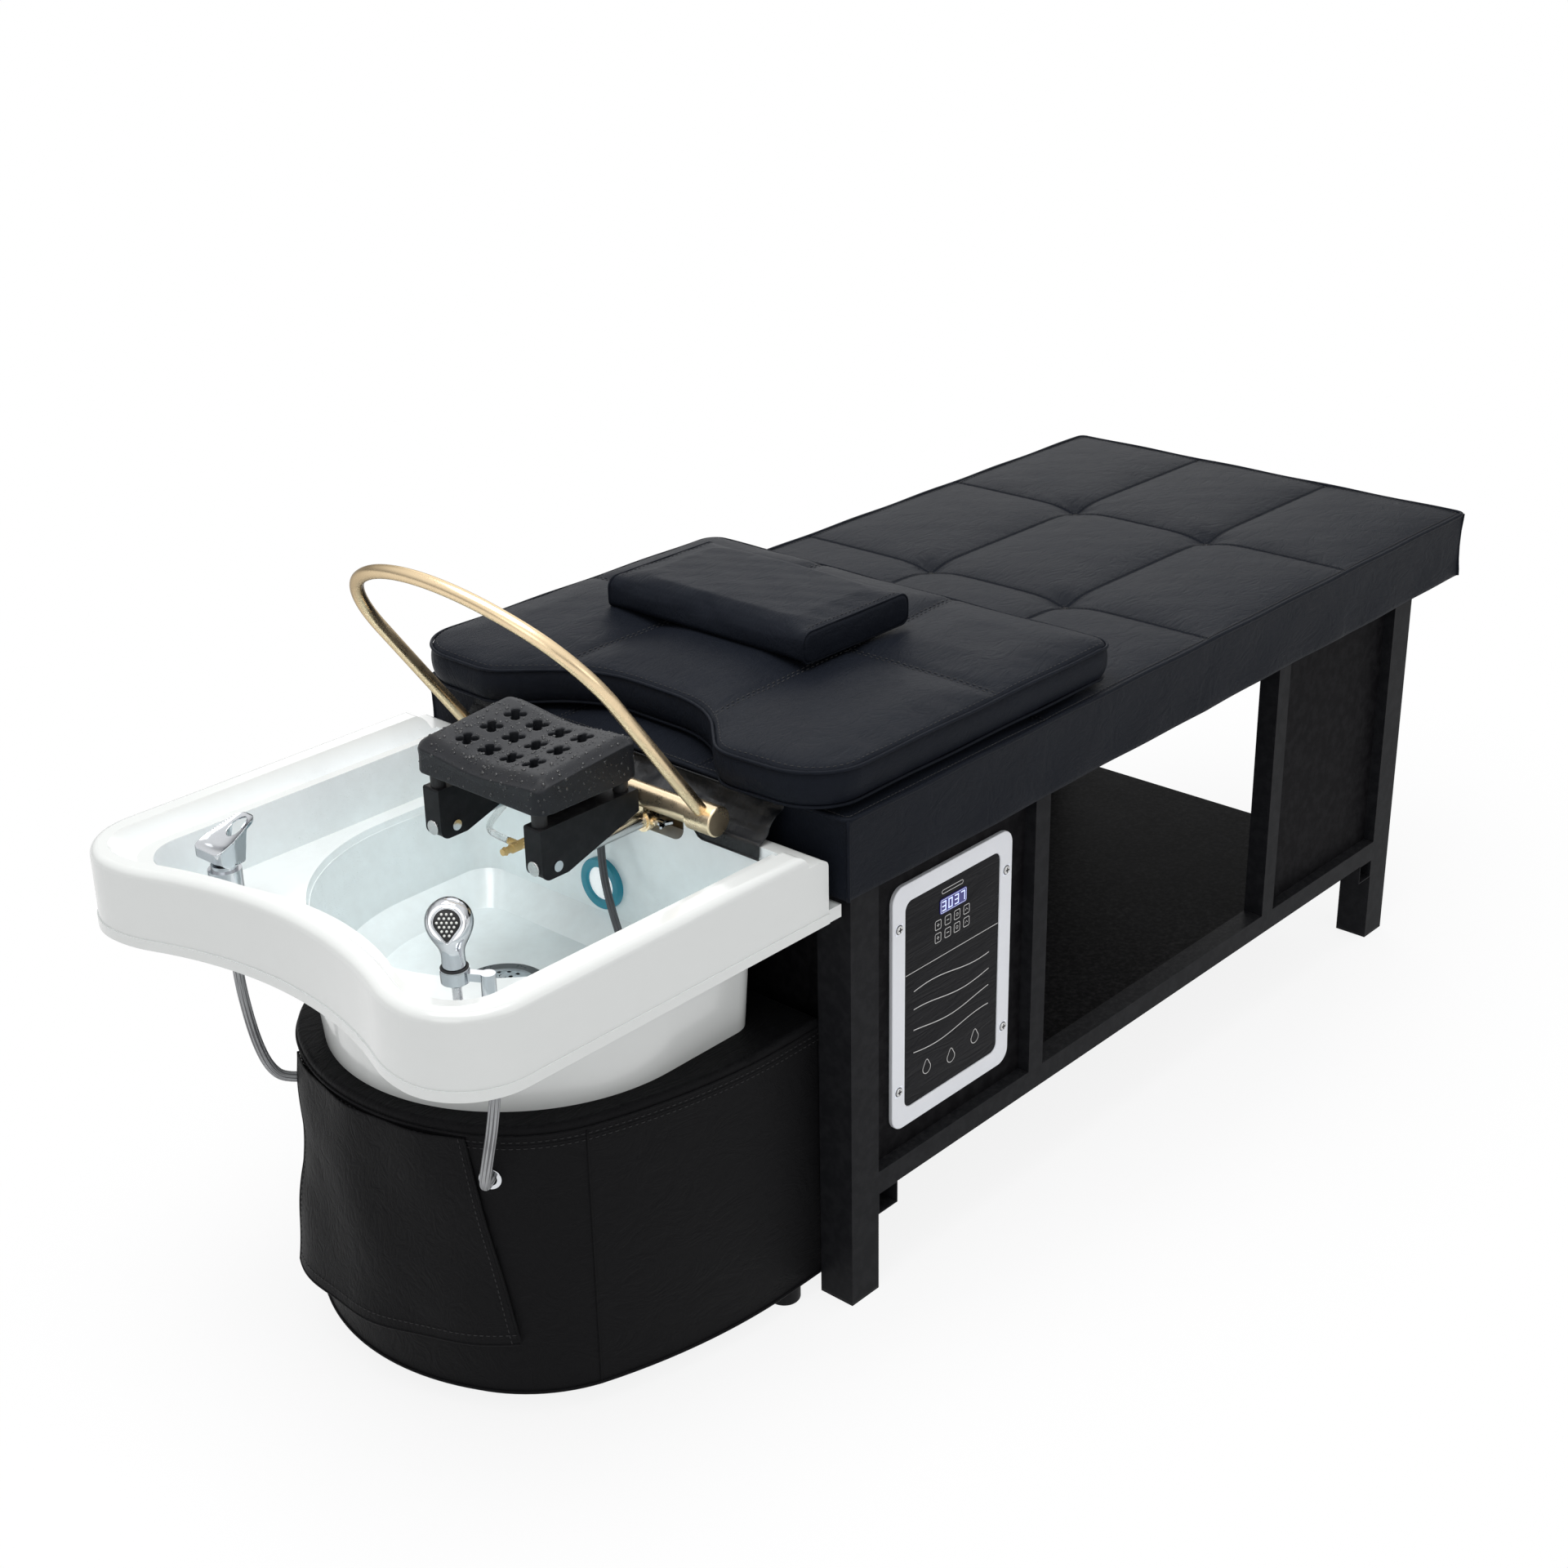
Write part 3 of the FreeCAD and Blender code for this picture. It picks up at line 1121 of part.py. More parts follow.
def eyelet_place():
    """Where the far eyelet sits on the rounded corner of the base, and the way it faces."""
    lift = vec(0, 0, EYELET_Z)
    start, middle, end = (vec(*place, 0) + lift for place in (BASE_SHOULDER, BASE_CORNER_MIDDLE, BASE_CHEEK))
    curve = Part.Arc(start, middle, end)
    where = curve.FirstParameter + (curve.LastParameter - curve.FirstParameter) * EYELET_SHARE
    point = curve.value(where)
    return point, (point - curve.toShape().Curve.Center).normalize()


def eyelet_hole():
    point, out = eyelet_place()
    return rod(point - out * (BASE_WALL + OVERRUN * 2.0), point + out * OVERRUN,
               EYELET_BARREL + EYELET_CLEARANCE)


def hose_eyelets():
    """Metal eyelets in the base where the supply hoses go in."""
    point, out = eyelet_place()
    start = point + out * EYELET_CLEARANCE
    flange = rod(start, start + out * EYELET_PROUD, EYELET_RADIUS)
    rim = edges_where(flange, lambda p: near((p - start).dot(out), EYELET_PROUD))
    flange = flange.makeFillet(EYELET_PROUD / 2.0, rim)
    barrel = rod(point - out * BASE_WALL, start + out * EYELET_PROUD / 2.0, EYELET_BARREL)
    bore = rod(point - out * (BASE_WALL + OVERRUN), start + out * (EYELET_PROUD + OVERRUN), EYELET_BORE)
    return both(flange.fuse(barrel).cut(bore))


def tap_body():
    """Body of the tap on the deck, with its tail through it."""
    flange = Part.makeCylinder(TAP_FLANGE_RADIUS, TAP_FLANGE, vec(TAP_X, TAP_Y, DECK_HEIGHT), UP)
    rim = edges_where(flange, lambda p: near(p.z, DECK_HEIGHT + TAP_FLANGE))
    flange = flange.makeFillet(TAP_FLANGE / 2.0, rim)
    body = Part.makeCylinder(TAP_RADIUS, TAP_BODY_TOP - DECK_HEIGHT, vec(TAP_X, TAP_Y, DECK_HEIGHT), UP)
    tail = Part.makeCylinder(TAP_TAIL_RADIUS, DECK_HEIGHT - TAP_TAIL_BOTTOM,
                             vec(TAP_X, TAP_Y, TAP_TAIL_BOTTOM), UP)
    socket = Part.makeCylinder(TAP_STEM_RADIUS + TAP_CLEARANCE, TAP_STEM_DEPTH,
                               vec(TAP_X, TAP_Y, TAP_BODY_TOP - TAP_STEM_DEPTH + TAP_CLEARANCE), UP)
    return [flange.fuse(body).fuse(tail).cut(socket)]


def tap_nut():
    """Nut that holds the tap from below."""
    top = DECK_HEIGHT - BASIN_WALL
    ring = pipe(vec(TAP_X, TAP_Y, top - TAP_NUT), vec(TAP_X, TAP_Y, top), TAP_NUT_RADIUS,
                TAP_TAIL_RADIUS + TAP_CLEARANCE)
    return [ring]


def tap_stem():
    """Turning part of the tap: stem in the body, collar above it and a tongue for the lever."""
    stem = Part.makeCylinder(TAP_STEM_RADIUS, TAP_STEM_DEPTH - OVERRUN,
                             vec(TAP_X, TAP_Y, TAP_BODY_TOP - TAP_STEM_DEPTH + OVERRUN), UP)
    collar = Part.makeCylinder(TAP_COLLAR_RADIUS, TAP_COLLAR_TOP - TAP_BODY_TOP,
                               vec(TAP_X, TAP_Y, TAP_BODY_TOP), UP)
    half = LEVER_TONGUE / 2.0 - GLASS_CLEARANCE
    tongue = box(TAP_X - half, TAP_X + half, TAP_Y - half, TAP_Y + half, TAP_COLLAR_TOP,
                 LEVER_PIN_Z + LEVER_PIN_RADIUS + OVERRUN)
    pin_hole = rod(vec(TAP_X, TAP_Y - LEVER_WIDTH, LEVER_PIN_Z),
                   vec(TAP_X, TAP_Y + LEVER_WIDTH, LEVER_PIN_Z), LEVER_PIN_RADIUS + TAP_CLEARANCE)
    return [stem.fuse(collar).fuse(tongue).cut(pin_hole)]


def tap_lever():
    """Lever block that slopes up to a loop with an oval hole, on a cross pin."""
    back = TAP_X - LEVER_BACK
    knee = TAP_X + LEVER_KNEE
    tip = TAP_X + LEVER_TIP
    y = TAP_Y - LEVER_WIDTH / 2.0
    points = [vec(back, y, LEVER_BOTTOM + LEVER_RELIEF), vec(TAP_X - LEVER_TONGUE / 2.0, y, LEVER_BOTTOM),
              vec(knee, y, LEVER_BOTTOM), vec(tip + LEVER_THICKNESS / 2.0, y, LEVER_TIP_Z - LEVER_THICKNESS),
              vec(tip, y, LEVER_TIP_Z), vec(back, y, LEVER_SHOULDER_Z)]
    radii = [LEVER_RADIUS / 3.0, LEVER_RADIUS, LEVER_RADIUS, LEVER_THICKNESS / 6.0, LEVER_THICKNESS / 3.0,
             LEVER_RADIUS / 2.0]
    block = prism(rounded(points, radii), vec(0, LEVER_WIDTH, 0))
    low = LEVER_BOTTOM - OVERRUN
    far = y + LEVER_WIDTH
    end = tip + LEVER_THICKNESS
    bend = TAP_X + LEVER_TAPER_START
    corners = [vec(back, y, low), vec(bend, y, low), vec(end, y + LEVER_TAPER, low),
               vec(end, far - LEVER_TAPER, low), vec(bend, far, low), vec(back, far, low)]
    plan_radii = [LEVER_RADIUS, LEVER_RADIUS * 2.0, LEVER_RADIUS * 1.5, LEVER_RADIUS * 1.5,
                  LEVER_RADIUS * 2.0, LEVER_RADIUS]
    block = block.common(prism(rounded(corners, plan_radii), vec(0, 0, LEVER_TIP_Z)))
    start, end = (knee + (tip - knee) * share for share in LEVER_HOLE_SHARES)
    hole_round = (tip - knee) * LEVER_HOLE_ROUND_SHARE
    hole = prism(rectangle(start, end, TAP_Y - LEVER_HOLE_WIDTH / 2.0, TAP_Y + LEVER_HOLE_WIDTH / 2.0,
                           LEVER_BOTTOM - OVERRUN, hole_round),
                 vec(0, 0, LEVER_TIP_Z))
    slot_top = LEVER_PIN_Z + LEVER_PIN_RADIUS + 2.0 * OVERRUN
    slot = box(TAP_X - LEVER_SLOT, TAP_X + LEVER_SLOT, TAP_Y - LEVER_TONGUE / 2.0,
               TAP_Y + LEVER_TONGUE / 2.0, LEVER_BOTTOM - OVERRUN, slot_top)
    pin_half = vec(0, LEVER_WIDTH / 4.0, 0)
    pin_middle = vec(TAP_X, TAP_Y, LEVER_PIN_Z)
    pin = rod(pin_middle - pin_half, pin_middle + pin_half, LEVER_PIN_RADIUS)
    return [block.cut(hole).cut(slot).fuse(pin)]


def shower_holder():
    """Post on the deck with an arm and the collar that holds the hand shower."""
    post_top = SHOWER_Z + HOLDER_ARM_HEIGHT / 2.0
    post_foot = vec(HOLDER_POST_X, HOLDER_POST_Y, DECK_HEIGHT)
    post = rod(post_foot, vec(HOLDER_POST_X, HOLDER_POST_Y, post_top), HOLDER_POST_RADIUS)
    flange = Part.makeCylinder(HOLDER_FLANGE_RADIUS, HOLDER_FLANGE, post_foot, UP)
    tail = rod(vec(HOLDER_POST_X, HOLDER_POST_Y, HOLDER_TAIL_BOTTOM), post_foot, HOLDER_TAIL_RADIUS)
    reach = vec(HOLDER_POST_X - SHOWER_X, HOLDER_POST_Y - SHOWER_Y, 0)
    side = vec(-reach.y, reach.x, 0).normalize() * (HOLDER_ARM / 2.0)
    low = SHOWER_Z - HOLDER_ARM_HEIGHT / 2.0
    start = vec(SHOWER_X, SHOWER_Y, low)
    end = vec(HOLDER_POST_X, HOLDER_POST_Y, low)
    arm = prism(path(start - side, start + side, end + side, end - side, start - side),
                vec(0, 0, HOLDER_ARM_HEIGHT))
    half = COLLAR_HEIGHT / 2.0
    collar = rod(shower_point(-half), shower_point(half), COLLAR_RADIUS)
    bore = rod(shower_point(-half - HOLDER_ARM), shower_point(half + HOLDER_ARM),
               INSERT_RADIUS + SHOWER_CLEARANCE)
    return [post.fuse(flange).fuse(tail).fuse(arm).fuse(collar).cut(bore)]


def holder_insert():
    """Plastic bush in the collar, which turns with the hand shower."""
    half = COLLAR_HEIGHT / 2.0
    bush = rod(shower_point(-half), shower_point(half), INSERT_RADIUS)
    flange = rod(shower_point(half), shower_point(half + INSERT_FLANGE), INSERT_FLANGE_RADIUS)
    bore = rod(shower_point(-half - OVERRUN), shower_point(half + INSERT_FLANGE + OVERRUN),
               NECK_RADIUS + SHOWER_CLEARANCE)
    return [bush.fuse(flange).cut(bore)]


def face_direction():
    yaw = math.radians(FACE_YAW)
    pitch = math.radians(FACE_PITCH)
    return vec(math.cos(pitch) * math.cos(yaw), math.cos(pitch) * math.sin(yaw), math.sin(pitch))


def handset_body():
    """Hand shower: stub in the holder, waisted neck and bulb with a flat for the spray face."""
    seat = COLLAR_HEIGHT / 2.0 + INSERT_FLANGE
    outer = [(0, -seat - OVERRUN), (NECK_RADIUS, -seat - OVERRUN), (NECK_RADIUS, seat),
             (NECK_RADIUS + 2.0 * OVERRUN, seat), (NECK_RADIUS + 2.0 * OVERRUN, seat + OVERRUN)]
    bulb_side = BULB_CENTRE - BULB_RADIUS * math.sqrt(0.5)
    bulb_edge = BULB_RADIUS * math.sqrt(0.5)
    crown_edge = BULB_RADIUS * BULB_CROWN_SHARE
    crown_rise = math.sqrt(BULB_RADIUS ** 2 - crown_edge ** 2)
    top = BULB_CENTRE + BULB_RADIUS
    stem = [vec(radius, 0, height) for radius, height in outer]
    profile = path(
        *stem,
        (vec(NECK_WAIST, 0, (seat + bulb_side) / 2.0), vec(bulb_edge, 0, bulb_side)),
        (vec(BULB_RADIUS, 0, BULB_CENTRE), vec(bulb_edge, 0, BULB_CENTRE + bulb_edge)),
        (vec(crown_edge, 0, BULB_CENTRE + crown_rise), vec(0, 0, top)),
        stem[0])
    solid = Part.Face(profile).revolve(CENTRE, UP, 360)
    solid.rotate(CENTRE, vec(0, 1, 0), -SHOWER_LEAN)
    solid.translate(vec(SHOWER_X, SHOWER_Y, SHOWER_Z))
    heart = shower_point(BULB_CENTRE)
    out = face_direction()
    flat = rod(heart + out * FACE_SET, heart + out * (BULB_RADIUS + OVERRUN), BULB_RADIUS)
    hose_bore = rod(shower_point(-seat - 2.0 * OVERRUN), shower_point(0), RIB_HOSE_RADIUS + SHOWER_CLEARANCE)
    return [solid.cut(flat).cut(hose_bore)]


def handset_face():
    """Perforated spray face of the hand shower."""
    heart = shower_point(BULB_CENTRE)
    out = face_direction()
    start = heart + out * FACE_SET
    face = rod(start, start + out * FACE_THICKNESS, FACE_RADIUS - OVERRUN)
    rim = edges_where(face, lambda p: near((p - start).dot(out), FACE_THICKNESS))
    return [face.makeFillet(FACE_THICKNESS / 2.0, rim)]


def shower_hose():
    """Metal hose from the hand shower down through the deck."""
    end = shower_deck_distance(DECK_HEIGHT - RIB_HOSE_BELOW)
    return [rod(shower_point(end), shower_point(0), RIB_HOSE_RADIUS)]


def shower_grommet():
    """Leaning bush in the deck that the metal hose runs through."""
    top = shower_deck_distance(DECK_HEIGHT + 2.0 * GROMMET_FLANGE)
    low = shower_deck_distance(DECK_HEIGHT)
    flange = rod(shower_point(low), shower_point(top), GROMMET_RADIUS)
    flange = flange.cut(box(SHOWER_X - GROMMET_RADIUS * 3.0, SHOWER_X + GROMMET_RADIUS * 4.0,
                            SHOWER_Y - GROMMET_RADIUS * 2.0, SHOWER_Y + GROMMET_RADIUS * 2.0,
                            DECK_HEIGHT - GROMMET_RADIUS, DECK_HEIGHT))
    bore = rod(shower_point(low - GROMMET_RADIUS), shower_point(top + GROMMET_RADIUS),
               RIB_HOSE_RADIUS + SHOWER_CLEARANCE)
    return [flange.cut(bore)]


def crossbar():
    """Tube above the basin's back rim, with a spigot at each end for the arch."""
    end = BAR_HALF
    bar = rod(vec(BAR_X, -end, BAR_Z), vec(BAR_X, end, BAR_Z), BAR_RADIUS)
    reach = end + SPIGOT_LENGTH
    spigots = rod(vec(BAR_X, -reach, BAR_Z), vec(BAR_X, reach, BAR_Z), SPIGOT_RADIUS)
    return [bar.fuse(spigots).fuse(bar_nipples())]


def bar_nipples():
    """Short nipples under the bar for the two water lines."""
    parts = None
    for route in (CLEAR_TUBE_ROUTE, RIBBED_ROUTE):
        x, y, z = route[0]
        nipple = rod(vec(x, y, z), vec(x, y, BAR_Z), NIPPLE_RADIUS)
        parts = nipple if parts is None else parts.fuse(nipple)
    return parts


def arch_point(across, along):
    """Point in the plane of the arch: sideways from the middle, and outwards from the bar."""
    tilt = math.radians(ARCH_TILT)
    return vec(BAR_X - along * math.cos(tilt), across, BAR_Z + along * math.sin(tilt))


def arch_tube():
    """Water arch: straight legs, tighter corners and a wide top, all tangent."""
    turn = math.radians(ARCH_CORNER_TURN)
    rest = math.pi / 2.0 - turn
    corner_across = ARCH_HALF - ARCH_CORNER_RADIUS * (1.0 - math.cos(turn))
    corner_along = ARCH_STRAIGHT + ARCH_CORNER_RADIUS * math.sin(turn)
    middle_across = ARCH_HALF - ARCH_CORNER_RADIUS * (1.0 - math.cos(turn / 2.0))
    middle_along = ARCH_STRAIGHT + ARCH_CORNER_RADIUS * math.sin(turn / 2.0)
    top_radius = corner_across / math.sin(rest)
    apex = corner_along + top_radius * (1.0 - math.cos(rest))
    start = arch_point(ARCH_HALF, ARCH_ROOT)
    wire = path(start, arch_point(ARCH_HALF, ARCH_STRAIGHT),
                (arch_point(middle_across, middle_along), arch_point(corner_across, corner_along)),
                (arch_point(0, apex), arch_point(-corner_across, corner_along)),
                (arch_point(-middle_across, middle_along), arch_point(-ARCH_HALF, ARCH_STRAIGHT)),
                arch_point(-ARCH_HALF, ARCH_ROOT))
    heading = arch_point(ARCH_HALF, ARCH_STRAIGHT) - start
    bore = tube_along(wire, start, heading, ARCH_RADIUS - ARCH_WALL)
    return [tube_along(wire, start, heading, ARCH_RADIUS).cut(bore)]


def bar_caps():
    """Turning caps on the bar's spigots, each with a socket for a leg of the arch."""
    cap = rod(vec(BAR_X, CAP_START, BAR_Z), vec(BAR_X, CAP_END, BAR_Z), CAP_RADIUS)
    rim = edges_where(cap, lambda p: near(p.y, CAP_END))
    cap = cap.makeFillet(OVERRUN, rim)
    bore_end = BAR_HALF + SPIGOT_LENGTH + GLASS_CLEARANCE
    bore = rod(vec(BAR_X, CAP_START - OVERRUN, BAR_Z), vec(BAR_X, bore_end, BAR_Z),
               SPIGOT_RADIUS + SPIGOT_CLEARANCE)
    socket = rod(arch_point(ARCH_HALF, ARCH_ROOT), arch_point(ARCH_HALF, CAP_RADIUS * 2.0), ARCH_RADIUS)
    return both(cap.cut(bore).cut(socket))


def headrest_rods():
    """Rods under the brackets, which slide in the sleeves."""
    bolt = rod(vec(BOLT_X, 0, ROD_Z), vec(BOLT_X, BED_HALF, ROD_Z), BOLT_RADIUS + ROD_CLEARANCE)
    bar = rod(vec(ROD_FRONT_X, ROD_Y, ROD_Z), vec(ROD_BACK_X, ROD_Y, ROD_Z), ROD_RADIUS)
    rim = edges_where(bar, lambda p: near(p.x, ROD_FRONT_X))
    return both(bar.makeFillet(OVERRUN / 2.0, rim).cut(bolt))


def rod_sleeves():
    """Sleeves from the couch's head face that carry the rods and the cross bar."""
    back = -FLANGE_GAP
    sleeve = rod(vec(SLEEVE_FRONT_X, ROD_Y, ROD_Z), vec(back, ROD_Y, ROD_Z), SLEEVE_RADIUS)
    plate = box(back - FLANGE_THICKNESS, back, ROD_Y - FLANGE_WIDTH / 2.0, ROD_Y + FLANGE_WIDTH / 2.0,
                ROD_Z - FLANGE_HEIGHT / 2.0, ROD_Z + FLANGE_HEIGHT / 4.0)
    bore = rod(vec(SLEEVE_FRONT_X - OVERRUN, ROD_Y, ROD_Z), vec(ROD_BACK_X + OVERRUN, ROD_Y, ROD_Z),
               ROD_RADIUS + ROD_CLEARANCE)
    return both(sleeve.fuse(plate).cut(bore))


def clamp_rings():
    """Clamps round the sleeves, joined to the underside of the bar and tapped for a wing screw."""
    end = SLEEVE_FRONT_X + OVERRUN + CLAMP_LENGTH
    start = SLEEVE_FRONT_X + OVERRUN
    middle = (start + end) / 2.0
    ring = rod(vec(start, ROD_Y, ROD_Z), vec(end, ROD_Y, ROD_Z), CLAMP_RADIUS)
    face = ROD_Y + CLAMP_RADIUS + CLAMP_BOSS
    boss = rod(vec(middle, ROD_Y, ROD_Z), vec(middle, face, ROD_Z), CLAMP_BOSS_RADIUS)
    neck = box(BAR_X - CLAMP_NECK / 2.0, BAR_X + CLAMP_NECK, ROD_Y - CLAMP_NECK, ROD_Y + CLAMP_NECK,
               ROD_Z, BAR_Z)
    neck = neck.cut(rod(vec(BAR_X, 0, BAR_Z), vec(BAR_X, BED_HALF, BAR_Z), BAR_RADIUS + SPIGOT_CLEARANCE))
    bore = rod(vec(start - CLAMP_LENGTH, ROD_Y, ROD_Z), vec(end + CLAMP_LENGTH, ROD_Y, ROD_Z), SLEEVE_RADIUS)
    tapped = rod(vec(middle, ROD_Y + SLEEVE_RADIUS - OVERRUN, ROD_Z), vec(middle, face + OVERRUN, ROD_Z),
                 WING_SHANK_RADIUS + SPIGOT_CLEARANCE)
    return both(ring.fuse(boss).fuse(neck).cut(bore).cut(tapped))


def wing_screw():
    """Wing screw in the boss of a clamp."""
    x = SLEEVE_FRONT_X + OVERRUN + CLAMP_LENGTH / 2.0
    face = ROD_Y + CLAMP_RADIUS + CLAMP_BOSS + GLASS_CLEARANCE
    shank = rod(vec(x, ROD_Y + SLEEVE_RADIUS + GLASS_CLEARANCE, ROD_Z), vec(x, face + OVERRUN, ROD_Z),
                WING_SHANK_RADIUS)
    hub = rod(vec(x, face, ROD_Z), vec(x, face + WING_HUB, ROD_Z), WING_HUB_RADIUS)
    half = WING_SPAN / 2.0
    thick = WING_THICKNESS / 2.0
    wing_y = face + WING_HUB
    points = [vec(x - WING_HUB_RADIUS, wing_y - WING_HEIGHT / 2.0, ROD_Z - thick),
              vec(x + WING_HUB_RADIUS, wing_y - WING_HEIGHT / 2.0, ROD_Z - thick),
              vec(x + half, wing_y + WING_HEIGHT / 4.0, ROD_Z - thick),
              vec(x + half - OVERRUN, wing_y + WING_HEIGHT / 2.0, ROD_Z - thick),
              vec(x, wing_y, ROD_Z - thick),
              vec(x - half + OVERRUN, wing_y + WING_HEIGHT / 2.0, ROD_Z - thick),
              vec(x - half, wing_y + WING_HEIGHT / 4.0, ROD_Z - thick)]
    wings = prism(rounded(points, [OVERRUN / 4.0] * len(points)), vec(0, 0, WING_THICKNESS))
    return shank.fuse(hub).fuse(wings)


def headrest_brackets():
    """Folded brackets: a top web, two side walls with a deep front lobe, and a front flange."""
    half = BRACKET_WIDTH / 2.0
    y = ROD_Y - half
    points = [vec(BRACKET_FRONT_X, y, BRACKET_TOP), vec(BRACKET_BACK_X, y, BRACKET_TOP),
              vec(BRACKET_BACK_X, y, BRACKET_BACK_BOTTOM), vec(BRACKET_LOBE_X, y, BRACKET_LOBE_BOTTOM),
              vec(BRACKET_FRONT_X, y, BRACKET_LOBE_BOTTOM)]
    small = BRACKET_SHEET
    outline = rounded(points, [small, small, small, BRACKET_LOBE_RADIUS, BRACKET_LOBE_RADIUS])
    solid = prism(outline, vec(0, BRACKET_WIDTH, 0))
    inside = box(BRACKET_FRONT_X + BRACKET_SHEET, BRACKET_BACK_X + OVERRUN, ROD_Y - half + BRACKET_SHEET,
                 ROD_Y + half - BRACKET_SHEET, BRACKET_LOBE_BOTTOM - OVERRUN, BRACKET_TOP - BRACKET_SHEET)
    rod_hole = rod(vec(BRACKET_FRONT_X - OVERRUN, ROD_Y, ROD_Z), vec(BRACKET_BACK_X, ROD_Y, ROD_Z),
                   ROD_RADIUS + ROD_CLEARANCE)
    bolt_hole = rod(vec(BOLT_X, 0, ROD_Z), vec(BOLT_X, BED_HALF, ROD_Z), BOLT_RADIUS + ROD_CLEARANCE)
    return both(solid.cut(inside).cut(rod_hole).cut(bolt_hole))


def bracket_bolts():
    """Bolts through the brackets and their rods."""
    half = BRACKET_WIDTH / 2.0
    shank = rod(vec(BOLT_X, ROD_Y - half, ROD_Z), vec(BOLT_X, ROD_Y + half, ROD_Z), BOLT_RADIUS)
    head = rod(vec(BOLT_X, ROD_Y + half, ROD_Z), vec(BOLT_X, ROD_Y + half + BOLT_HEAD, ROD_Z),
               BOLT_HEAD_RADIUS)
    nut = rod(vec(BOLT_X, ROD_Y - half - BOLT_HEAD, ROD_Z), vec(BOLT_X, ROD_Y - half, ROD_Z),
              BOLT_HEAD_RADIUS)
    return both(shank.fuse(head).fuse(nut))


def headrest_stubs():
    stubs = []
    for x in STUB_XS:
        stubs += both(rod(vec(x, ROD_Y, BRACKET_TOP), vec(x, ROD_Y, CUSHION_BOTTOM), STUB_RADIUS))
    return stubs


def quatrefoil(x, y):
    """Four-lobed hole through the headrest cushion."""
    low = CUSHION_BOTTOM - OVERRUN
    height = CUSHION_TOP + CUSHION_RISE - CUSHION_BOTTOM + 2.0 * OVERRUN
    hole = box(x - HOLE_LOBE_OFFSET / 2.0, x + HOLE_LOBE_OFFSET / 2.0, y - HOLE_LOBE_OFFSET / 2.0,
               y + HOLE_LOBE_OFFSET / 2.0, low, low + height)
    for i in range(4):
        angle = math.pi / 2.0 * i
        place = vec(x + HOLE_LOBE_OFFSET * math.cos(angle), y + HOLE_LOBE_OFFSET * math.sin(angle), low)
        hole = hole.fuse(Part.makeCylinder(HOLE_LOBE_RADIUS, height, place, UP))
    return hole.removeSplitter()


def cushion_section(x, top):
    """Upright slice across the headrest, with a saddle between its two shoulders."""
    half = CUSHION_HALF
    shoulder = half - CUSHION_CORNER
    side_top = top - CUSHION_EDGE / 2.0
    dip = vec(x, 0, top - CUSHION_SADDLE)
    return path(vec(x, -half, CUSHION_BOTTOM), vec(x, -half, side_top), vec(x, -shoulder, top),
                (dip, vec(x, shoulder, top)), vec(x, half, side_top),
                vec(x, half, CUSHION_BOTTOM), vec(x, -half, CUSHION_BOTTOM))


def headrest_cushion():
    """Moulded headrest that rises to the couch, with a saddle top and rows of four-lobed holes."""
    body = stack([cushion_section(CUSHION_FRONT_X, CUSHION_TOP),
                  cushion_section(CUSHION_BACK_X, CUSHION_TOP + CUSHION_RISE)])
    plan = rectangle(CUSHION_FRONT_X, CUSHION_BACK_X, -CUSHION_HALF, CUSHION_HALF, CUSHION_BOTTOM,
                     CUSHION_CORNER)
    body = body.common(prism(plan, vec(0, 0, CUSHION_TOP + CUSHION_RISE)))
    rim = edges_where(body, lambda p: p.z > CUSHION_TOP - CUSHION_SADDLE - OVERRUN and
                      (near(p.x, CUSHION_FRONT_X) or near(p.x, CUSHION_BACK_X)))
    body = body.makeFillet(CUSHION_EDGE, rim)
    centre_x = (CUSHION_FRONT_X + CUSHION_BACK_X) / 2.0
    for row in range(HOLE_ROWS):
        for column in range(HOLE_COLUMNS):
            hole_x = centre_x + (row - (HOLE_ROWS - 1) / 2.0) * HOLE_PITCH
            hole_y = (column - (HOLE_COLUMNS - 1) / 2.0) * HOLE_PITCH
            body = body.cut(quatrefoil(hole_x, hole_y))
    return [body]


def hose_tee():
    """Amber tee under the headrest: a body, an open barb and a barb in the clear tube."""
    x, y, z = TEE_CENTRE
    half = TEE_LENGTH / 2.0
    body = rod(vec(x - half, y, z), vec(x + half, y, z), TEE_RADIUS)
    barb = rod(vec(x - half - BARB_LENGTH, y, z), vec(x - half, y, z), BARB_RADIUS)
    side = rod(vec(x, y, z), vec(x, CLEAR_TUBE_ROUTE[-1][1], z), BARB_RADIUS)
    ridge = Part.makeCone(BARB_TIP_RADIUS, BARB_RIDGE_RADIUS, BARB_LENGTH / 3.0,
                          vec(x - half - BARB_LENGTH, y, z), vec(1, 0, 0))
    return [body.fuse(barb).fuse(side).fuse(ridge)]


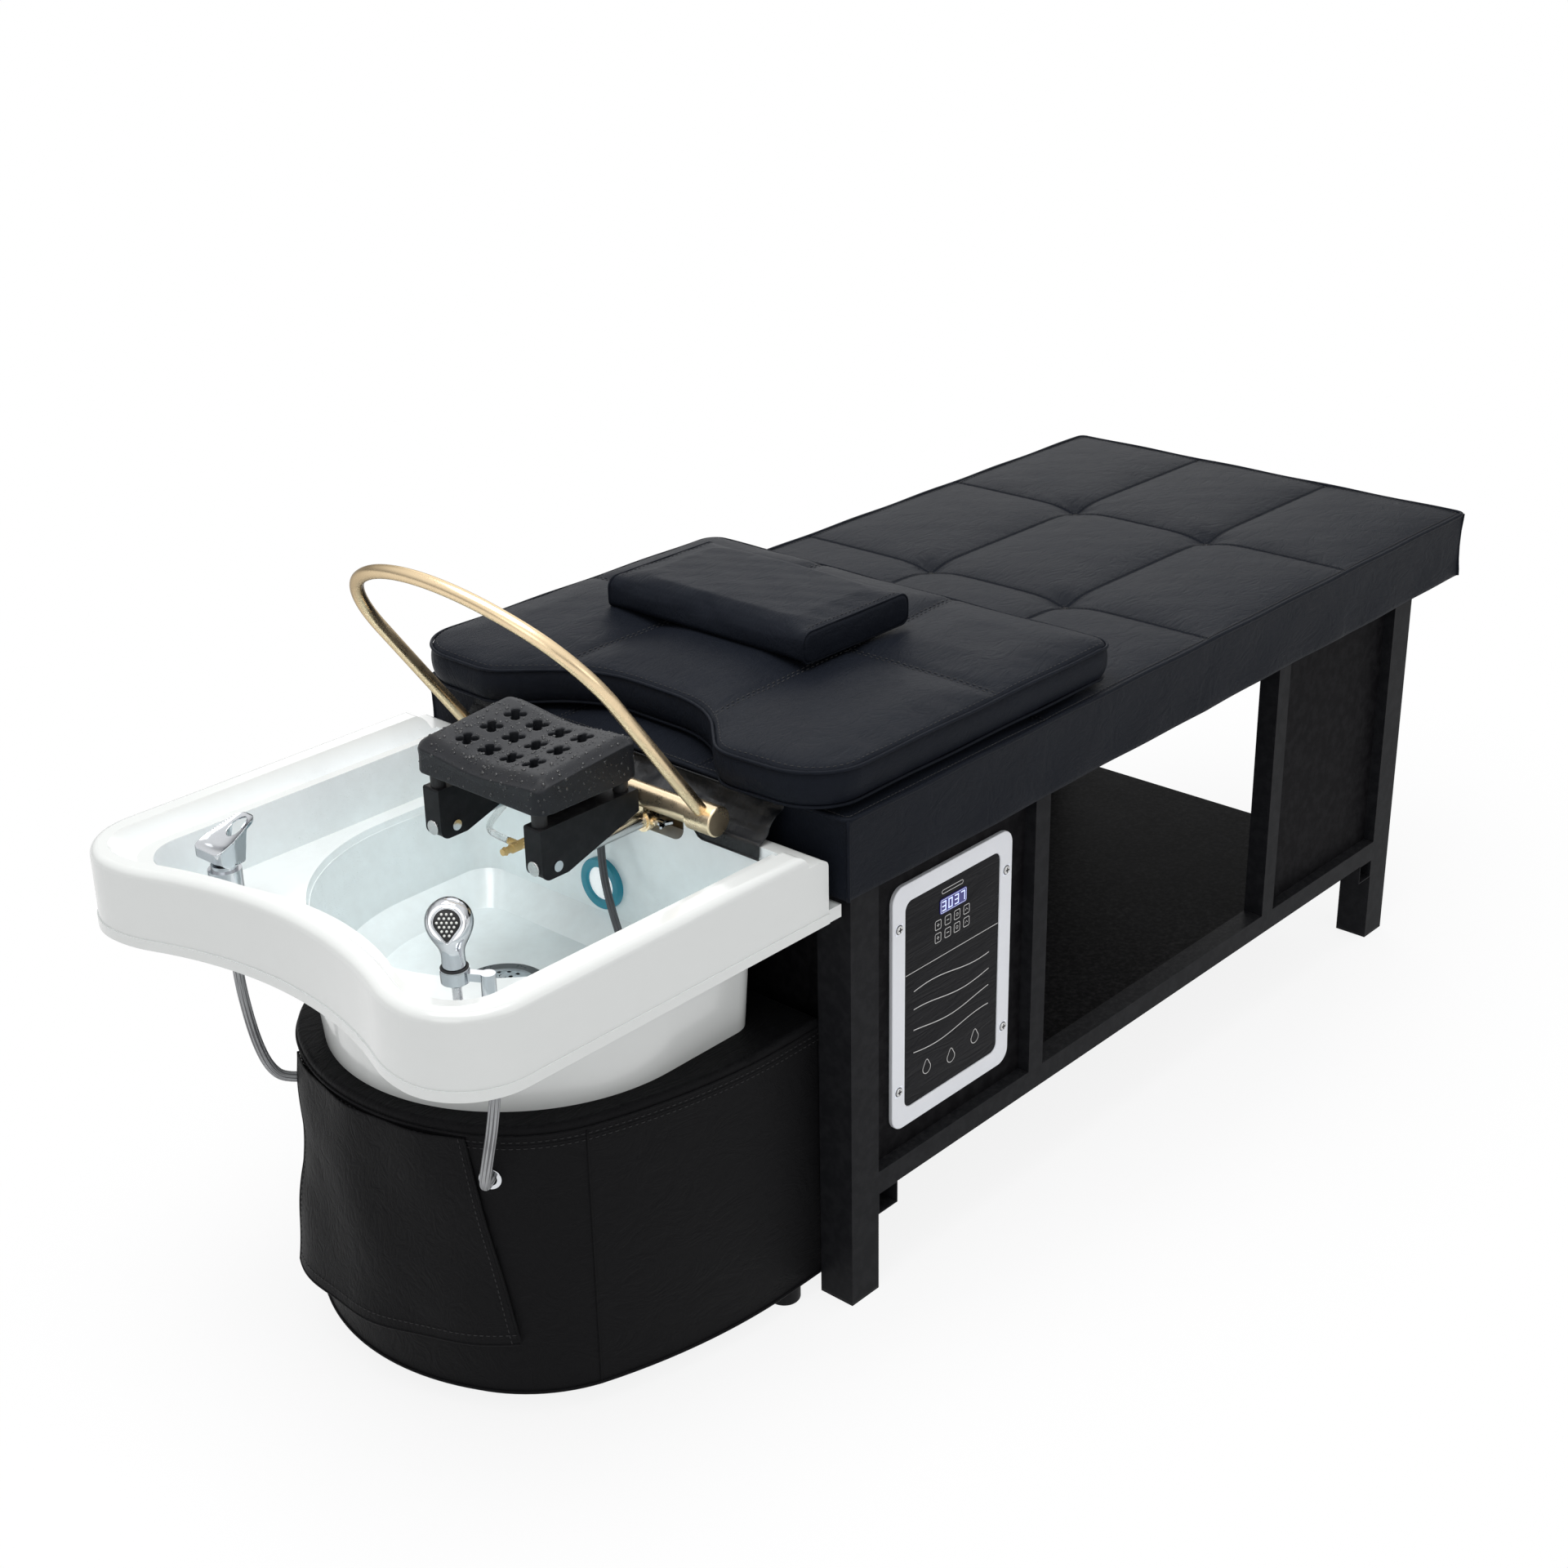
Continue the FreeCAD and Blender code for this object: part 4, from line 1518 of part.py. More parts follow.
def cloth_section(share):
    """Upright slice of the cloth apron from the couch's head edge over the basin's back rim."""
    y = CLOTH_HALF * (2.0 * share - 1.0)
    outside = max(0.0, min(1.0, (abs(y) - CLOTH_TAIL_START) / CLOTH_TAIL))
    wave = CLOTH_WAVE * math.sin(2.0 * math.pi * CLOTH_WAVES * share)
    thick = CLOTH_THICKNESS
    lift = (1.0 - outside) * (ROD_Z + CLAMP_RADIUS + thick / 2.0 - BACK_RIM_TOP)
    rim = BACK_RIM_TOP + CLOTH_GAP + lift
    edge = -BASIN_BACK_INNER - CLOTH_GAP
    hem = rim - thick / 3.0 - CLOTH_TAIL * outside
    fold = rim + 2.0 * thick + wave
    points = [vec(-CLOTH_GAP, y, CLOTH_TOP_Z - thick), vec(-BASIN_BACK, y, fold), vec(edge, y, rim),
              vec(edge - CLOTH_GAP, y, hem), vec(edge - CLOTH_GAP - thick, y, hem),
              vec(edge - thick, y, rim + thick), vec(-BASIN_BACK - thick / 2.0, y, fold + thick),
              vec(-CLOTH_GAP - thick, y, CLOTH_TOP_Z)]
    return path(points[0], *points[1:], points[0])


def head_apron():
    """Cloth apron that keeps water off the couch's head end."""
    return [stack([cloth_section(i / CLOTH_STATIONS) for i in range(CLOTH_STATIONS + 1)])]


def topper_outline(inset, z):
    """Plan of the loose pad: straight foot edge and sides, two head lobes and a hollow between them."""
    half = TOPPER_HALF - inset
    foot = TOPPER_FOOT_X - inset
    lobe = TOPPER_LOBE_X + inset
    notch = TOPPER_NOTCH_X + inset
    tip = lobe - TOPPER_LOBE_SLANT
    points = [vec(foot, half, z), vec(lobe, half, z), vec(tip, TOPPER_LOBE_INNER_Y, z),
              vec(notch, TOPPER_NOTCH_HALF, z)]
    points = [vec(point.x, -point.y, z) for point in reversed(points)] + points
    radii = [TOPPER_FOOT_RADIUS, TOPPER_LOBE_RADIUS, TOPPER_LOBE_INNER_RADIUS, TOPPER_NOTCH_RADIUS]
    return rounded(points, radii[::-1] + radii)


def topper_pad():
    """Loose head pad with drawn-in sides and a low crown."""
    height = TOPPER_SEAM - TOPPER_BOTTOM
    wires = [topper_outline(inset, TOPPER_BOTTOM + share * height) for inset, share in TOPPER_SECTIONS]
    for inset, share in TOPPER_CROWN_SECTIONS:
        wires.append(topper_outline(inset, TOPPER_SEAM + share * TOPPER_CROWN))
    return [stack(wires)]


def small_pillow():
    """Small pillow on the pad."""
    bottom = TOPPER_SEAM + TOPPER_CROWN + FLAP_GAP
    half_x = PILLOW_DEPTH / 2.0
    half_y = PILLOW_LENGTH / 2.0
    wires = []
    for inset, share in PILLOW_SECTIONS:
        reach_x = half_x - inset
        reach_y = half_y - inset
        wires.append(rectangle(PILLOW_X - reach_x, PILLOW_X + reach_x, PILLOW_Y - reach_y,
                               PILLOW_Y + reach_y, bottom + share * PILLOW_HEIGHT, PILLOW_CORNER))
    return [stack(wires)]


def circulation_pump():
    """Pump on the bottom board: motor, head with two ports and a foot."""
    floor = SHELF_TOP
    axis_z = floor + PUMP_FOOT + PUMP_HEAD_RADIUS
    motor = rod(vec(PUMP_X, PUMP_Y, axis_z), vec(PUMP_X + PUMP_LENGTH, PUMP_Y, axis_z), PUMP_RADIUS)
    head = rod(vec(PUMP_X - PUMP_HEAD, PUMP_Y, axis_z), vec(PUMP_X, PUMP_Y, axis_z), PUMP_HEAD_RADIUS)
    inlet = rod(vec(PUMP_X - PUMP_HEAD - PUMP_PORT, PUMP_Y, axis_z), vec(PUMP_X, PUMP_Y, axis_z),
                PUMP_PORT_RADIUS)
    port_x = PUMP_X - PUMP_HEAD / 2.0
    outlet = rod(vec(port_x, PUMP_Y, axis_z), vec(port_x, PUMP_Y, axis_z + PUMP_HEAD_RADIUS + PUMP_PORT),
                 PUMP_PORT_RADIUS)
    foot = box(PUMP_X - PUMP_HEAD, PUMP_X + PUMP_LENGTH * PUMP_FOOT_SHARE, PUMP_Y - PUMP_RADIUS,
               PUMP_Y + PUMP_RADIUS, floor, axis_z - PUMP_RADIUS * PUMP_SEAT_SHARE)
    return [motor.fuse(head).fuse(inlet).fuse(outlet).fuse(foot)]


def water_heater():
    """Upright water heater with its two straps."""
    floor = SHELF_TOP
    tank = Part.makeCylinder(HEATER_RADIUS, HEATER_HEIGHT, vec(HEATER_X, HEATER_Y, floor), UP)
    rims = edges_where(tank, lambda p: near(p.z, floor + HEATER_HEIGHT))
    tank = tank.makeFillet(HEATER_DOME, rims)
    for share in HEATER_BAND_SHARES:
        z = floor + HEATER_HEIGHT * share
        tank = tank.fuse(Part.makeCylinder(HEATER_RADIUS + HEATER_BAND_THICKNESS, HEATER_BAND,
                                           vec(HEATER_X, HEATER_Y, z), UP))
    for offset in (-HEATER_RADIUS / 2.0, HEATER_RADIUS / 2.0):
        tank = tank.fuse(Part.makeCylinder(PUMP_PORT_RADIUS, HEATER_HEIGHT + PUMP_PORT,
                                           vec(HEATER_X + offset, HEATER_Y, floor), UP))
    return [tank]


def supply_route(start, fall, end):
    """Route of a supply hose from a tail under the deck to an eyelet in the base."""
    return [tuple(start + vec(*step)) for step in fall] + list(end)


def save(name, solids):
    """Write one node, moved so that the origin is the bottom centre of the whole bed."""
    shape = solids[0] if len(solids) == 1 else Part.makeCompound(solids)
    shape = shape.copy()
    shape.translate(vec(ORIGIN_X, 0, 0))
    if not shape.isValid():
        print("not valid:", name)
    shape.exportStep("parts/" + name + ".step")


def main():
    os.makedirs("parts", exist_ok=True)
    plain = (
        bed_legs, leg_glides, bottom_side_rails, board_bearers, frame_posts, top_rails, deck_board,
        bottom_board, side_panels, cross_panels, bed_mattress,
        control_bezel, control_glass, bezel_screws, control_display, control_box,
        basin_tray, basin_bowl, drain_flange, drain_strainer, waste_pipe, lamp_ring, lamp_lens,
        base_shell, base_top, base_feet, base_flap, hose_eyelets, tap_body, tap_nut, tap_stem, tap_lever,
        shower_holder, holder_insert, handset_body, handset_face, shower_hose, shower_grommet,
        crossbar, arch_tube, bar_caps, headrest_rods, rod_sleeves, clamp_rings, headrest_brackets,
        bracket_bolts, headrest_stubs, headrest_cushion, hose_tee, head_apron, topper_pad, small_pillow,
        circulation_pump, water_heater)
    for build in plain:
        save(build.__name__, build())
    screw = wing_screw()
    save("wing_screw_far", [screw])
    save("wing_screw_near", [mirrored(screw)])
    save("clear_tube", [cord("clear_tube", CLEAR_TUBE_ROUTE, CLEAR_TUBE_RADIUS)])
    save("ribbed_hose", [cord("ribbed_hose", RIBBED_ROUTE, RIBBED_RADIUS)])
    tap_route = supply_route(vec(TAP_X, TAP_Y, TAP_TAIL_BOTTOM), TAP_HOSE_FALL, TAP_HOSE_END)
    save("hose_tap", [cord("hose_tap", tap_route, HOSE_RADIUS)])
    shower_route = supply_route(vec(HOLDER_POST_X, HOLDER_POST_Y, HOLDER_TAIL_BOTTOM), SHOWER_HOSE_FALL,
                                SHOWER_HOSE_END)
    save("hose_shower", [cord("hose_shower", shower_route, HOSE_RADIUS)])


main()
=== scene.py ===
"""Looks of the hair washing bed: padded covers, cloths, hoses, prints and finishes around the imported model."""
import json
import logging
import math
from collections.abc import Callable, Iterable, Sequence
from dataclasses import dataclass, field, replace
from enum import Enum

import bmesh
import bpy
import numpy as np
from mathutils import Matrix, Vector
from mathutils.bvhtree import BVHTree


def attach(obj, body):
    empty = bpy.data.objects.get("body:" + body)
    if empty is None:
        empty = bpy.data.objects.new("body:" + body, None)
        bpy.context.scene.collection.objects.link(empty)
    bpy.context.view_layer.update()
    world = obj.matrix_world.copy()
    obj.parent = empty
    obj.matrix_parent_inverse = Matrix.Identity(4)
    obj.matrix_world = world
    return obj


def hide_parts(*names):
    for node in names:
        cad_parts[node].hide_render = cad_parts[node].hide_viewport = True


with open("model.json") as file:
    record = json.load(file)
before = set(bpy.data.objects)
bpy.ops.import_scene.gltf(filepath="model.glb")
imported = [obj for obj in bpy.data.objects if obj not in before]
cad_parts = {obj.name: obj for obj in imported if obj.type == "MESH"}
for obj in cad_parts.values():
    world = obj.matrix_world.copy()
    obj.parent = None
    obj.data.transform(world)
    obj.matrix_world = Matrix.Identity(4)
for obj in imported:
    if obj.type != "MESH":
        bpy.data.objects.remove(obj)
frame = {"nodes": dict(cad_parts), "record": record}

LOG = logging.getLogger("hair_washing_bed")
MM = 0.001
HEAD_END_X = -0.442

Point = tuple[float, float, float]
Colour = tuple[float, float, float]
Place = tuple[float, float]
Socket = bpy.types.NodeSocket
Sockets = dict[str, Socket]
Node = bpy.types.Node
Tree = bpy.types.NodeTree
Material = bpy.types.Material
Piece = bpy.types.Object


def at(x: float, y: float, z: float) -> Vector:
    """Turn a place in millimetres into the row frame.

    Args:
        x: Distance from the couch's head end, positive towards its foot.
        y: Distance from the centre line.
        z: Height over the floor.

    Returns:
        The same place in metres.
    """
    return Vector((x * MM + HEAD_END_X, y * MM, z * MM))


def placed(points: np.ndarray) -> np.ndarray:
    """Turn an array of places in millimetres into the row frame, in metres."""
    return points * MM + np.array((HEAD_END_X, 0.0, 0.0))


def unplaced(points: np.ndarray) -> np.ndarray:
    """Turn an array of places in the row frame back into millimetres."""
    return (points - np.array((HEAD_END_X, 0.0, 0.0))) / MM


class Graph:
    """One shader node tree, with short ways to add and join its nodes."""

    def __init__(self, tree: Tree) -> None:
        """Keep the tree that the nodes go into."""
        self.tree = tree

    def feed(self, node: Node, inputs: dict[str | int, object]) -> Node:
        """Set or link a node's inputs.

        Args:
            node: The node whose inputs are fed.
            inputs: Values or sockets, by the input's name or number.

        Returns:
            The same node.
        """
        for name, value in inputs.items():
            if isinstance(value, Socket):
                self.tree.links.new(value, node.inputs[name])
            else:
                node.inputs[name].default_value = value
        return node

    def add(self, kind: str, inputs: dict[str | int, object] | None = None, **settings: object) -> Node:
        """Add a node.

        Args:
            kind: Blender's name for the node type.
            inputs: Values or sockets for its inputs, by name or number.
            settings: Attributes of the node itself.

        Returns:
            The new node.
        """
        node = self.tree.nodes.new(kind)
        for name, value in settings.items():
            setattr(node, name, value)
        return self.feed(node, inputs or {})

    def effect(self, name: str, inputs: dict[str | int, object]) -> Node:
        """Place a shared effect with its own values and return its node."""
        return self.add("ShaderNodeGroup", inputs, node_tree=effect_group(name))

    def math(self, operation: str, first: object, second: object = 0.5, clamp: bool = False) -> Socket:
        """Add a Math node and return its result."""
        return self.add("ShaderNodeMath", {0: first, 1: second}, operation=operation, use_clamp=clamp).outputs[0]

    def vector(self, operation: str, first: object, second: object = (0.0, 0.0, 0.0)) -> Node:
        """Add a Vector Math node and return it."""
        return self.add("ShaderNodeVectorMath", {0: first, 1: second}, operation=operation)

    def remap(self, value: object, low: object, high: object, to_low: object = 0.0,
              to_high: object = 1.0) -> Socket:
        """Stretch one range of values onto another, clamped, and return the result."""
        return self.add("ShaderNodeMapRange", {0: value, 1: low, 2: high, 3: to_low, 4: to_high}).outputs[0]

    def mix(self, factor: object, first: object, second: object) -> Socket:
        """Blend two colours and return the result.

        Args:
            factor: Share of the second colour.
            first: First colour, or its socket.
            second: Second colour, or its socket.

        Returns:
            The blended colour.
        """
        colours = {6: first, 7: second}
        for index, value in colours.items():
            if not isinstance(value, Socket):
                colours[index] = (*value[:3], 1.0)
        node = self.add("ShaderNodeMix", data_type="RGBA")
        return self.feed(node, {0: factor, **colours}).outputs[2]

    def noise(self, vector: object, scale: object, detail: float = 2.0, roughness: float = 0.5,
              distortion: float = 0.0) -> Socket:
        """Add a Noise Texture and return its value."""
        return self.add("ShaderNodeTexNoise", {"Vector": vector, "Scale": scale, "Detail": detail,
                                               "Roughness": roughness, "Distortion": distortion}).outputs[0]

    def object_place(self) -> Socket:
        """Return the place on the piece, in metres."""
        return self.add("ShaderNodeTexCoord").outputs["Object"]

    def surface_map(self) -> Socket:
        """Return the piece's own UV place."""
        return self.add("ShaderNodeTexCoord").outputs["UV"]


def leather_grain(graph: Graph, place: Socket, scale: Socket) -> Sockets:
    """Pebbled grain with fine creases between the pebbles.

    Args:
        graph: Graph of the group.
        place: Place on the piece.
        scale: How many pebbles there are to a metre.

    Returns:
        The relief, and the pebbles without the creases.
    """
    wobble = graph.noise(place, 90.0, 2.0)
    bent = graph.vector("ADD", place, graph.vector("SCALE", graph.add(
        "ShaderNodeCombineXYZ", {0: wobble, 1: wobble, 2: wobble}).outputs[0]).outputs[0]).outputs[0]
    cells = graph.add("ShaderNodeTexVoronoi", {"Vector": bent, "Scale": scale},
                      feature="DISTANCE_TO_EDGE").outputs["Distance"]
    pebble = graph.remap(cells, 0.0, 0.28)
    fine = graph.noise(place, graph.math("MULTIPLY", scale, 2.7), 3.0, 0.6)
    height = graph.math("ADD", graph.math("MULTIPLY", pebble, 0.7), graph.math("MULTIPLY", fine, 0.3))
    return {"Height": height, "Mask": pebble}


def soft_folds(graph: Graph, place: Socket, scale: Socket) -> Sockets:
    """Slow hollows and short pull lines of a stretched cover.

    Args:
        graph: Graph of the group.
        place: Place on the piece.
        scale: How many hollows there are to a metre.

    Returns:
        The relief, and the raised places.
    """
    slow = graph.noise(place, scale, 3.0, 0.5, 0.6)
    lines = graph.noise(graph.vector("MULTIPLY", place, (1.0, 2.4, 1.6)).outputs[0],
                        graph.math("MULTIPLY", scale, 3.1), 4.0, 0.62, 1.4)
    ridge = graph.math("SUBTRACT", 1.0, graph.math("ABSOLUTE", graph.math(
        "MULTIPLY", graph.math("SUBTRACT", lines, 0.5), 5.0)), True)
    height = graph.math("ADD", graph.math("MULTIPLY", slow, 0.8), graph.math("MULTIPLY", ridge, 0.12))
    return {"Height": height, "Mask": graph.remap(slow, 0.3, 0.7)}


def mottle(graph: Graph, place: Socket, scale: Socket) -> Sockets:
    """Blotches of slight colour and gloss change.

    Args:
        graph: Graph of the group.
        place: Place on the piece.
        scale: How many blotches there are to a metre.

    Returns:
        The blotches.
    """
    large = graph.noise(place, scale, 4.0, 0.55, 0.3)
    small = graph.noise(place, graph.math("MULTIPLY", scale, 9.0), 3.0, 0.6)
    both = graph.math("ADD", graph.math("MULTIPLY", large, 0.65), graph.math("MULTIPLY", small, 0.35))
    return {"Mask": graph.remap(both, 0.32, 0.68)}


def edge_wear(graph: Graph, place: Socket, scale: Socket, amount: Socket) -> Sockets:
    """Rubbed outer edges, broken up by noise.

    Args:
        graph: Graph of the group.
        place: Place on the piece.
        scale: How many patches there are to a metre.
        amount: How strong it is, from 0 to 1.

    Returns:
        The rubbed places.
    """
    sharp = graph.remap(graph.add("ShaderNodeNewGeometry").outputs["Pointiness"], 0.515, 0.6)
    patches = graph.remap(graph.noise(place, scale, 4.0, 0.65), 0.42, 0.62)
    return {"Mask": graph.math("MULTIPLY", graph.math("MULTIPLY", sharp, patches), amount, True)}


def dust(graph: Graph, place: Socket, scale: Socket, amount: Socket) -> Sockets:
    """Thin dust on faces that look up.

    Args:
        graph: Graph of the group.
        place: Place on the piece.
        scale: How many specks there are to a metre.
        amount: How strong it is, from 0 to 1.

    Returns:
        The dust.
    """
    normal = graph.add("ShaderNodeNewGeometry").outputs["Normal"]
    up = graph.add("ShaderNodeSeparateXYZ", {0: normal}).outputs[2]
    specks = graph.remap(graph.noise(place, scale, 6.0, 0.7), 0.45, 0.75)
    level = graph.remap(up, 0.3, 0.95)
    return {"Mask": graph.math("MULTIPLY", graph.math("MULTIPLY", specks, level), amount, True)}


def powder_texture(graph: Graph, place: Socket, scale: Socket) -> Sockets:
    """Fine orange-peel relief of a sprayed or moulded surface.

    Args:
        graph: Graph of the group.
        place: Place on the piece.
        scale: How many dimples there are to a metre.

    Returns:
        The relief.
    """
    peel = graph.noise(place, scale, 2.0, 0.4)
    grit = graph.noise(place, graph.math("MULTIPLY", scale, 4.0), 3.0, 0.6)
    return {"Height": graph.math("ADD", peel, graph.math("MULTIPLY", grit, 0.35))}


def brushed_lines(graph: Graph, place: Socket, scale: Socket) -> Sockets:
    """Long fine scratches along one way of the place, which the material stretches.

    Args:
        graph: Graph of the group.
        place: Place on the piece.
        scale: How many scratches there are to a metre.

    Returns:
        The relief, and the raised places.
    """
    lines = graph.noise(place, scale, 5.0, 0.7)
    return {"Height": lines, "Mask": graph.remap(lines, 0.35, 0.65)}


def water_beads(graph: Graph, place: Socket, scale: Socket) -> Sockets:
    """Beads of water of two sizes, scattered in patches.

    Args:
        graph: Graph of the group.
        place: Place on the piece.
        scale: How many large beads there are to a metre.

    Returns:
        The relief, and the wet places.
    """
    beads: list[Socket] = []
    for factor, edge in ((1.0, 0.30), (2.3, 0.34)):
        cell = graph.add("ShaderNodeTexVoronoi", {"Vector": place, "Scale": graph.math(
            "MULTIPLY", scale, factor), "Randomness": 1.0})
        pick = graph.add("ShaderNodeSeparateXYZ", {0: cell.outputs["Color"]}).outputs[0]
        size = graph.remap(pick, 0.35, 1.0, 0.0, edge)
        beads.append(graph.math("SUBTRACT", 1.0, graph.math(
            "DIVIDE", cell.outputs["Distance"], graph.math("ADD", size, 0.001)), True))
    patch = graph.remap(graph.noise(place, 22.0, 2.0), 0.4, 0.58)
    dome = graph.math("SQRT", graph.math("MULTIPLY", graph.math("MAXIMUM", beads[0], beads[1]), patch))
    return {"Height": dome, "Mask": graph.remap(dome, 0.05, 0.3)}


def hose_braid(graph: Graph, place: Socket, strands: Socket, rows: Socket) -> Sockets:
    """Crossing strands round a hose, from its UV place.

    Args:
        graph: Graph of the group.
        place: UV place on the hose.
        strands: How many strands there are round the hose.
        rows: How many there are to a metre of it.

    Returns:
        The relief, and the upper strands.
    """
    parts = graph.add("ShaderNodeSeparateXYZ", {0: place})
    around = graph.math("MULTIPLY", parts.outputs[0], strands)
    along = graph.math("MULTIPLY", parts.outputs[1], rows)
    one = graph.math("SINE", graph.math("MULTIPLY", graph.math("ADD", around, along), math.tau))
    two = graph.math("SINE", graph.math("MULTIPLY", graph.math("SUBTRACT", around, along), math.tau))
    height = graph.remap(graph.math("MAXIMUM", one, two), -0.2, 1.0)
    return {"Height": height, "Mask": graph.remap(height, 0.25, 0.8)}


EFFECTS: dict[str, tuple[Callable[..., Sockets], dict[str, float]]] = {
    "leather_grain": (leather_grain, {"Scale": 700.0}),
    "soft_folds": (soft_folds, {"Scale": 7.0}),
    "mottle": (mottle, {"Scale": 12.0}),
    "edge_wear": (edge_wear, {"Scale": 60.0, "Amount": 0.5}),
    "dust": (dust, {"Scale": 150.0, "Amount": 0.3}),
    "powder_texture": (powder_texture, {"Scale": 500.0}),
    "brushed_lines": (brushed_lines, {"Scale": 300.0}),
    "water_beads": (water_beads, {"Scale": 190.0}),
    "hose_braid": (hose_braid, {"Around": 8.0, "Along": 400.0}),
}


def effect_group(name: str) -> Tree:
    """Build the node group of a shared effect, or find it again.

    Args:
        name: Name of the effect.

    Returns:
        The group's tree.
    """
    if name in bpy.data.node_groups:
        return bpy.data.node_groups[name]
    fill, inputs = EFFECTS[name]
    tree = bpy.data.node_groups.new(name, "ShaderNodeTree")
    tree.interface.new_socket("Vector", in_out="INPUT", socket_type="NodeSocketVector")
    for label, value in inputs.items():
        tree.interface.new_socket(label, in_out="INPUT", socket_type="NodeSocketFloat").default_value = value
    graph = Graph(tree)
    given = graph.add("NodeGroupInput")
    results = fill(graph, *(given.outputs[label] for label in ("Vector", *inputs)))
    for label in results:
        tree.interface.new_socket(label, in_out="OUTPUT", socket_type="NodeSocketFloat")
    graph.feed(graph.add("NodeGroupOutput"), results)
    return tree


class MetalKind(Enum):
    """How a metal's surface is finished."""

    POLISHED = "polished"
    BRUSHED = "brushed"


@dataclass(frozen=True)
class Finish:
    """What every finish has: a name, a colour and a roughness."""

    name: str
    colour: Colour
    roughness: float

    def start(self) -> tuple[Material, Graph, Node, Socket]:
        """Start a material.

        Returns:
            The material, its graph, its Principled shader and the place on the piece.
        """
        material = bpy.data.materials.new(self.name)
        material.use_nodes = True
        graph = Graph(material.node_tree)
        shader = material.node_tree.nodes["Principled BSDF"]
        shader.inputs["Base Color"].default_value = (*self.colour, 1.0)
        shader.inputs["Roughness"].default_value = self.roughness
        return material, graph, shader, graph.object_place()

    @staticmethod
    def blotches(graph: Graph, place: Socket, scale: float) -> Socket:
        """Return a mask of blotches over the piece."""
        return graph.effect("mottle", {"Vector": place, "Scale": scale}).outputs["Mask"]

    def lit(self, shader: Node, glow: float) -> None:
        """Let the finish shine in its own colour."""
        shader.inputs["Emission Color"].default_value = (*self.colour, 1.0)
        shader.inputs["Emission Strength"].default_value = glow

    @staticmethod
    def beaded(graph: Graph, shader: Node, place: Socket, amount: float, scale: float, gloss: float,
               depth: float) -> tuple[Socket, float]:
        """Wet the surface with beads of water.

        Args:
            graph: The material's graph.
            shader: The Principled shader, whose roughness is linked.
            place: Place on the piece.
            amount: How much of the beads shows, from 0 to 1.
            scale: How many beads there are to a metre.
            gloss: Roughness of the beads.
            depth: Their height in metres.

        Returns:
            The beads as a layer of relief.
        """
        drops = graph.effect("water_beads", {"Vector": place, "Scale": scale})
        wet = graph.math("MULTIPLY", drops.outputs["Mask"], amount)
        rough = shader.inputs["Roughness"].links[0].from_socket
        graph.feed(shader, {"Roughness": graph.remap(wet, 0.0, 1.0, rough, gloss)})
        return graph.math("MULTIPLY", drops.outputs["Height"], amount), depth

    def vary(self, graph: Graph, shader: Node, mask: Socket, change: float, gloss: float) -> None:
        """Let a mask lighten the colour and change the roughness.

        Args:
            graph: The material's graph.
            shader: The Principled shader.
            mask: Where to change it, from 0 to 1.
            change: Share by which the colour grows.
            gloss: How much is added to the roughness.
        """
        lighter = tuple(min(1.0, part * (1.0 + change)) for part in self.colour)
        graph.feed(shader, {"Base Color": graph.mix(mask, self.colour, lighter),
                            "Roughness": graph.remap(mask, 0.0, 1.0, self.roughness, self.roughness + gloss)})

    def relief(self, graph: Graph, shader: Node, layers: Iterable[tuple[Socket, float]]) -> None:
        """Chain bumps into the shader's normal.

        Args:
            graph: The material's graph.
            shader: The Principled shader.
            layers: Height and the depth in metres that a height of 1 stands for.
        """
        normal = None
        for height, depth in layers:
            bump = graph.add("ShaderNodeBump", {"Height": height, "Distance": depth, "Strength": 1.0})
            if normal is not None:
                graph.feed(bump, {"Normal": normal})
            normal = bump.outputs[0]
        if normal is not None:
            graph.feed(shader, {"Normal": normal})


@dataclass(frozen=True)
class LeatherFinish(Finish):
    """Synthetic leather with grain, slight folds and rubbed edges."""

    specular: float = 0.4
    grain_scale: float = 900.0
    grain_depth: float = 0.00006
    fold_scale: float = 6.0
    fold_depth: float = 0.004
    beads: float = 0.0

    def make(self) -> Material:
        """Build the material.

        Returns:
            The material.
        """
        material, graph, shader, place = self.start()
        grain = graph.effect("leather_grain", {"Vector": place, "Scale": self.grain_scale})
        folds = graph.effect("soft_folds", {"Vector": place, "Scale": self.fold_scale})
        blotch = self.blotches(graph, place, 9.0)
        dust = graph.effect("dust", {"Vector": place, "Scale": 420.0, "Amount": 0.025}).outputs["Mask"]
        self.vary(graph, shader, blotch, 0.22, 0.05)
        base = shader.inputs["Base Color"].links[0].from_socket
        graph.feed(shader, {"Base Color": graph.mix(dust, base, (0.17, 0.18, 0.2))})
        shader.inputs["Specular IOR Level"].default_value = self.specular
        layers = [(folds.outputs["Height"], self.fold_depth), (grain.outputs["Height"], self.grain_depth)]
        if self.beads:
            layers.append(self.beaded(graph, shader, place, self.beads, 150.0, 0.08, 0.0006))
        self.relief(graph, shader, layers)
        return material


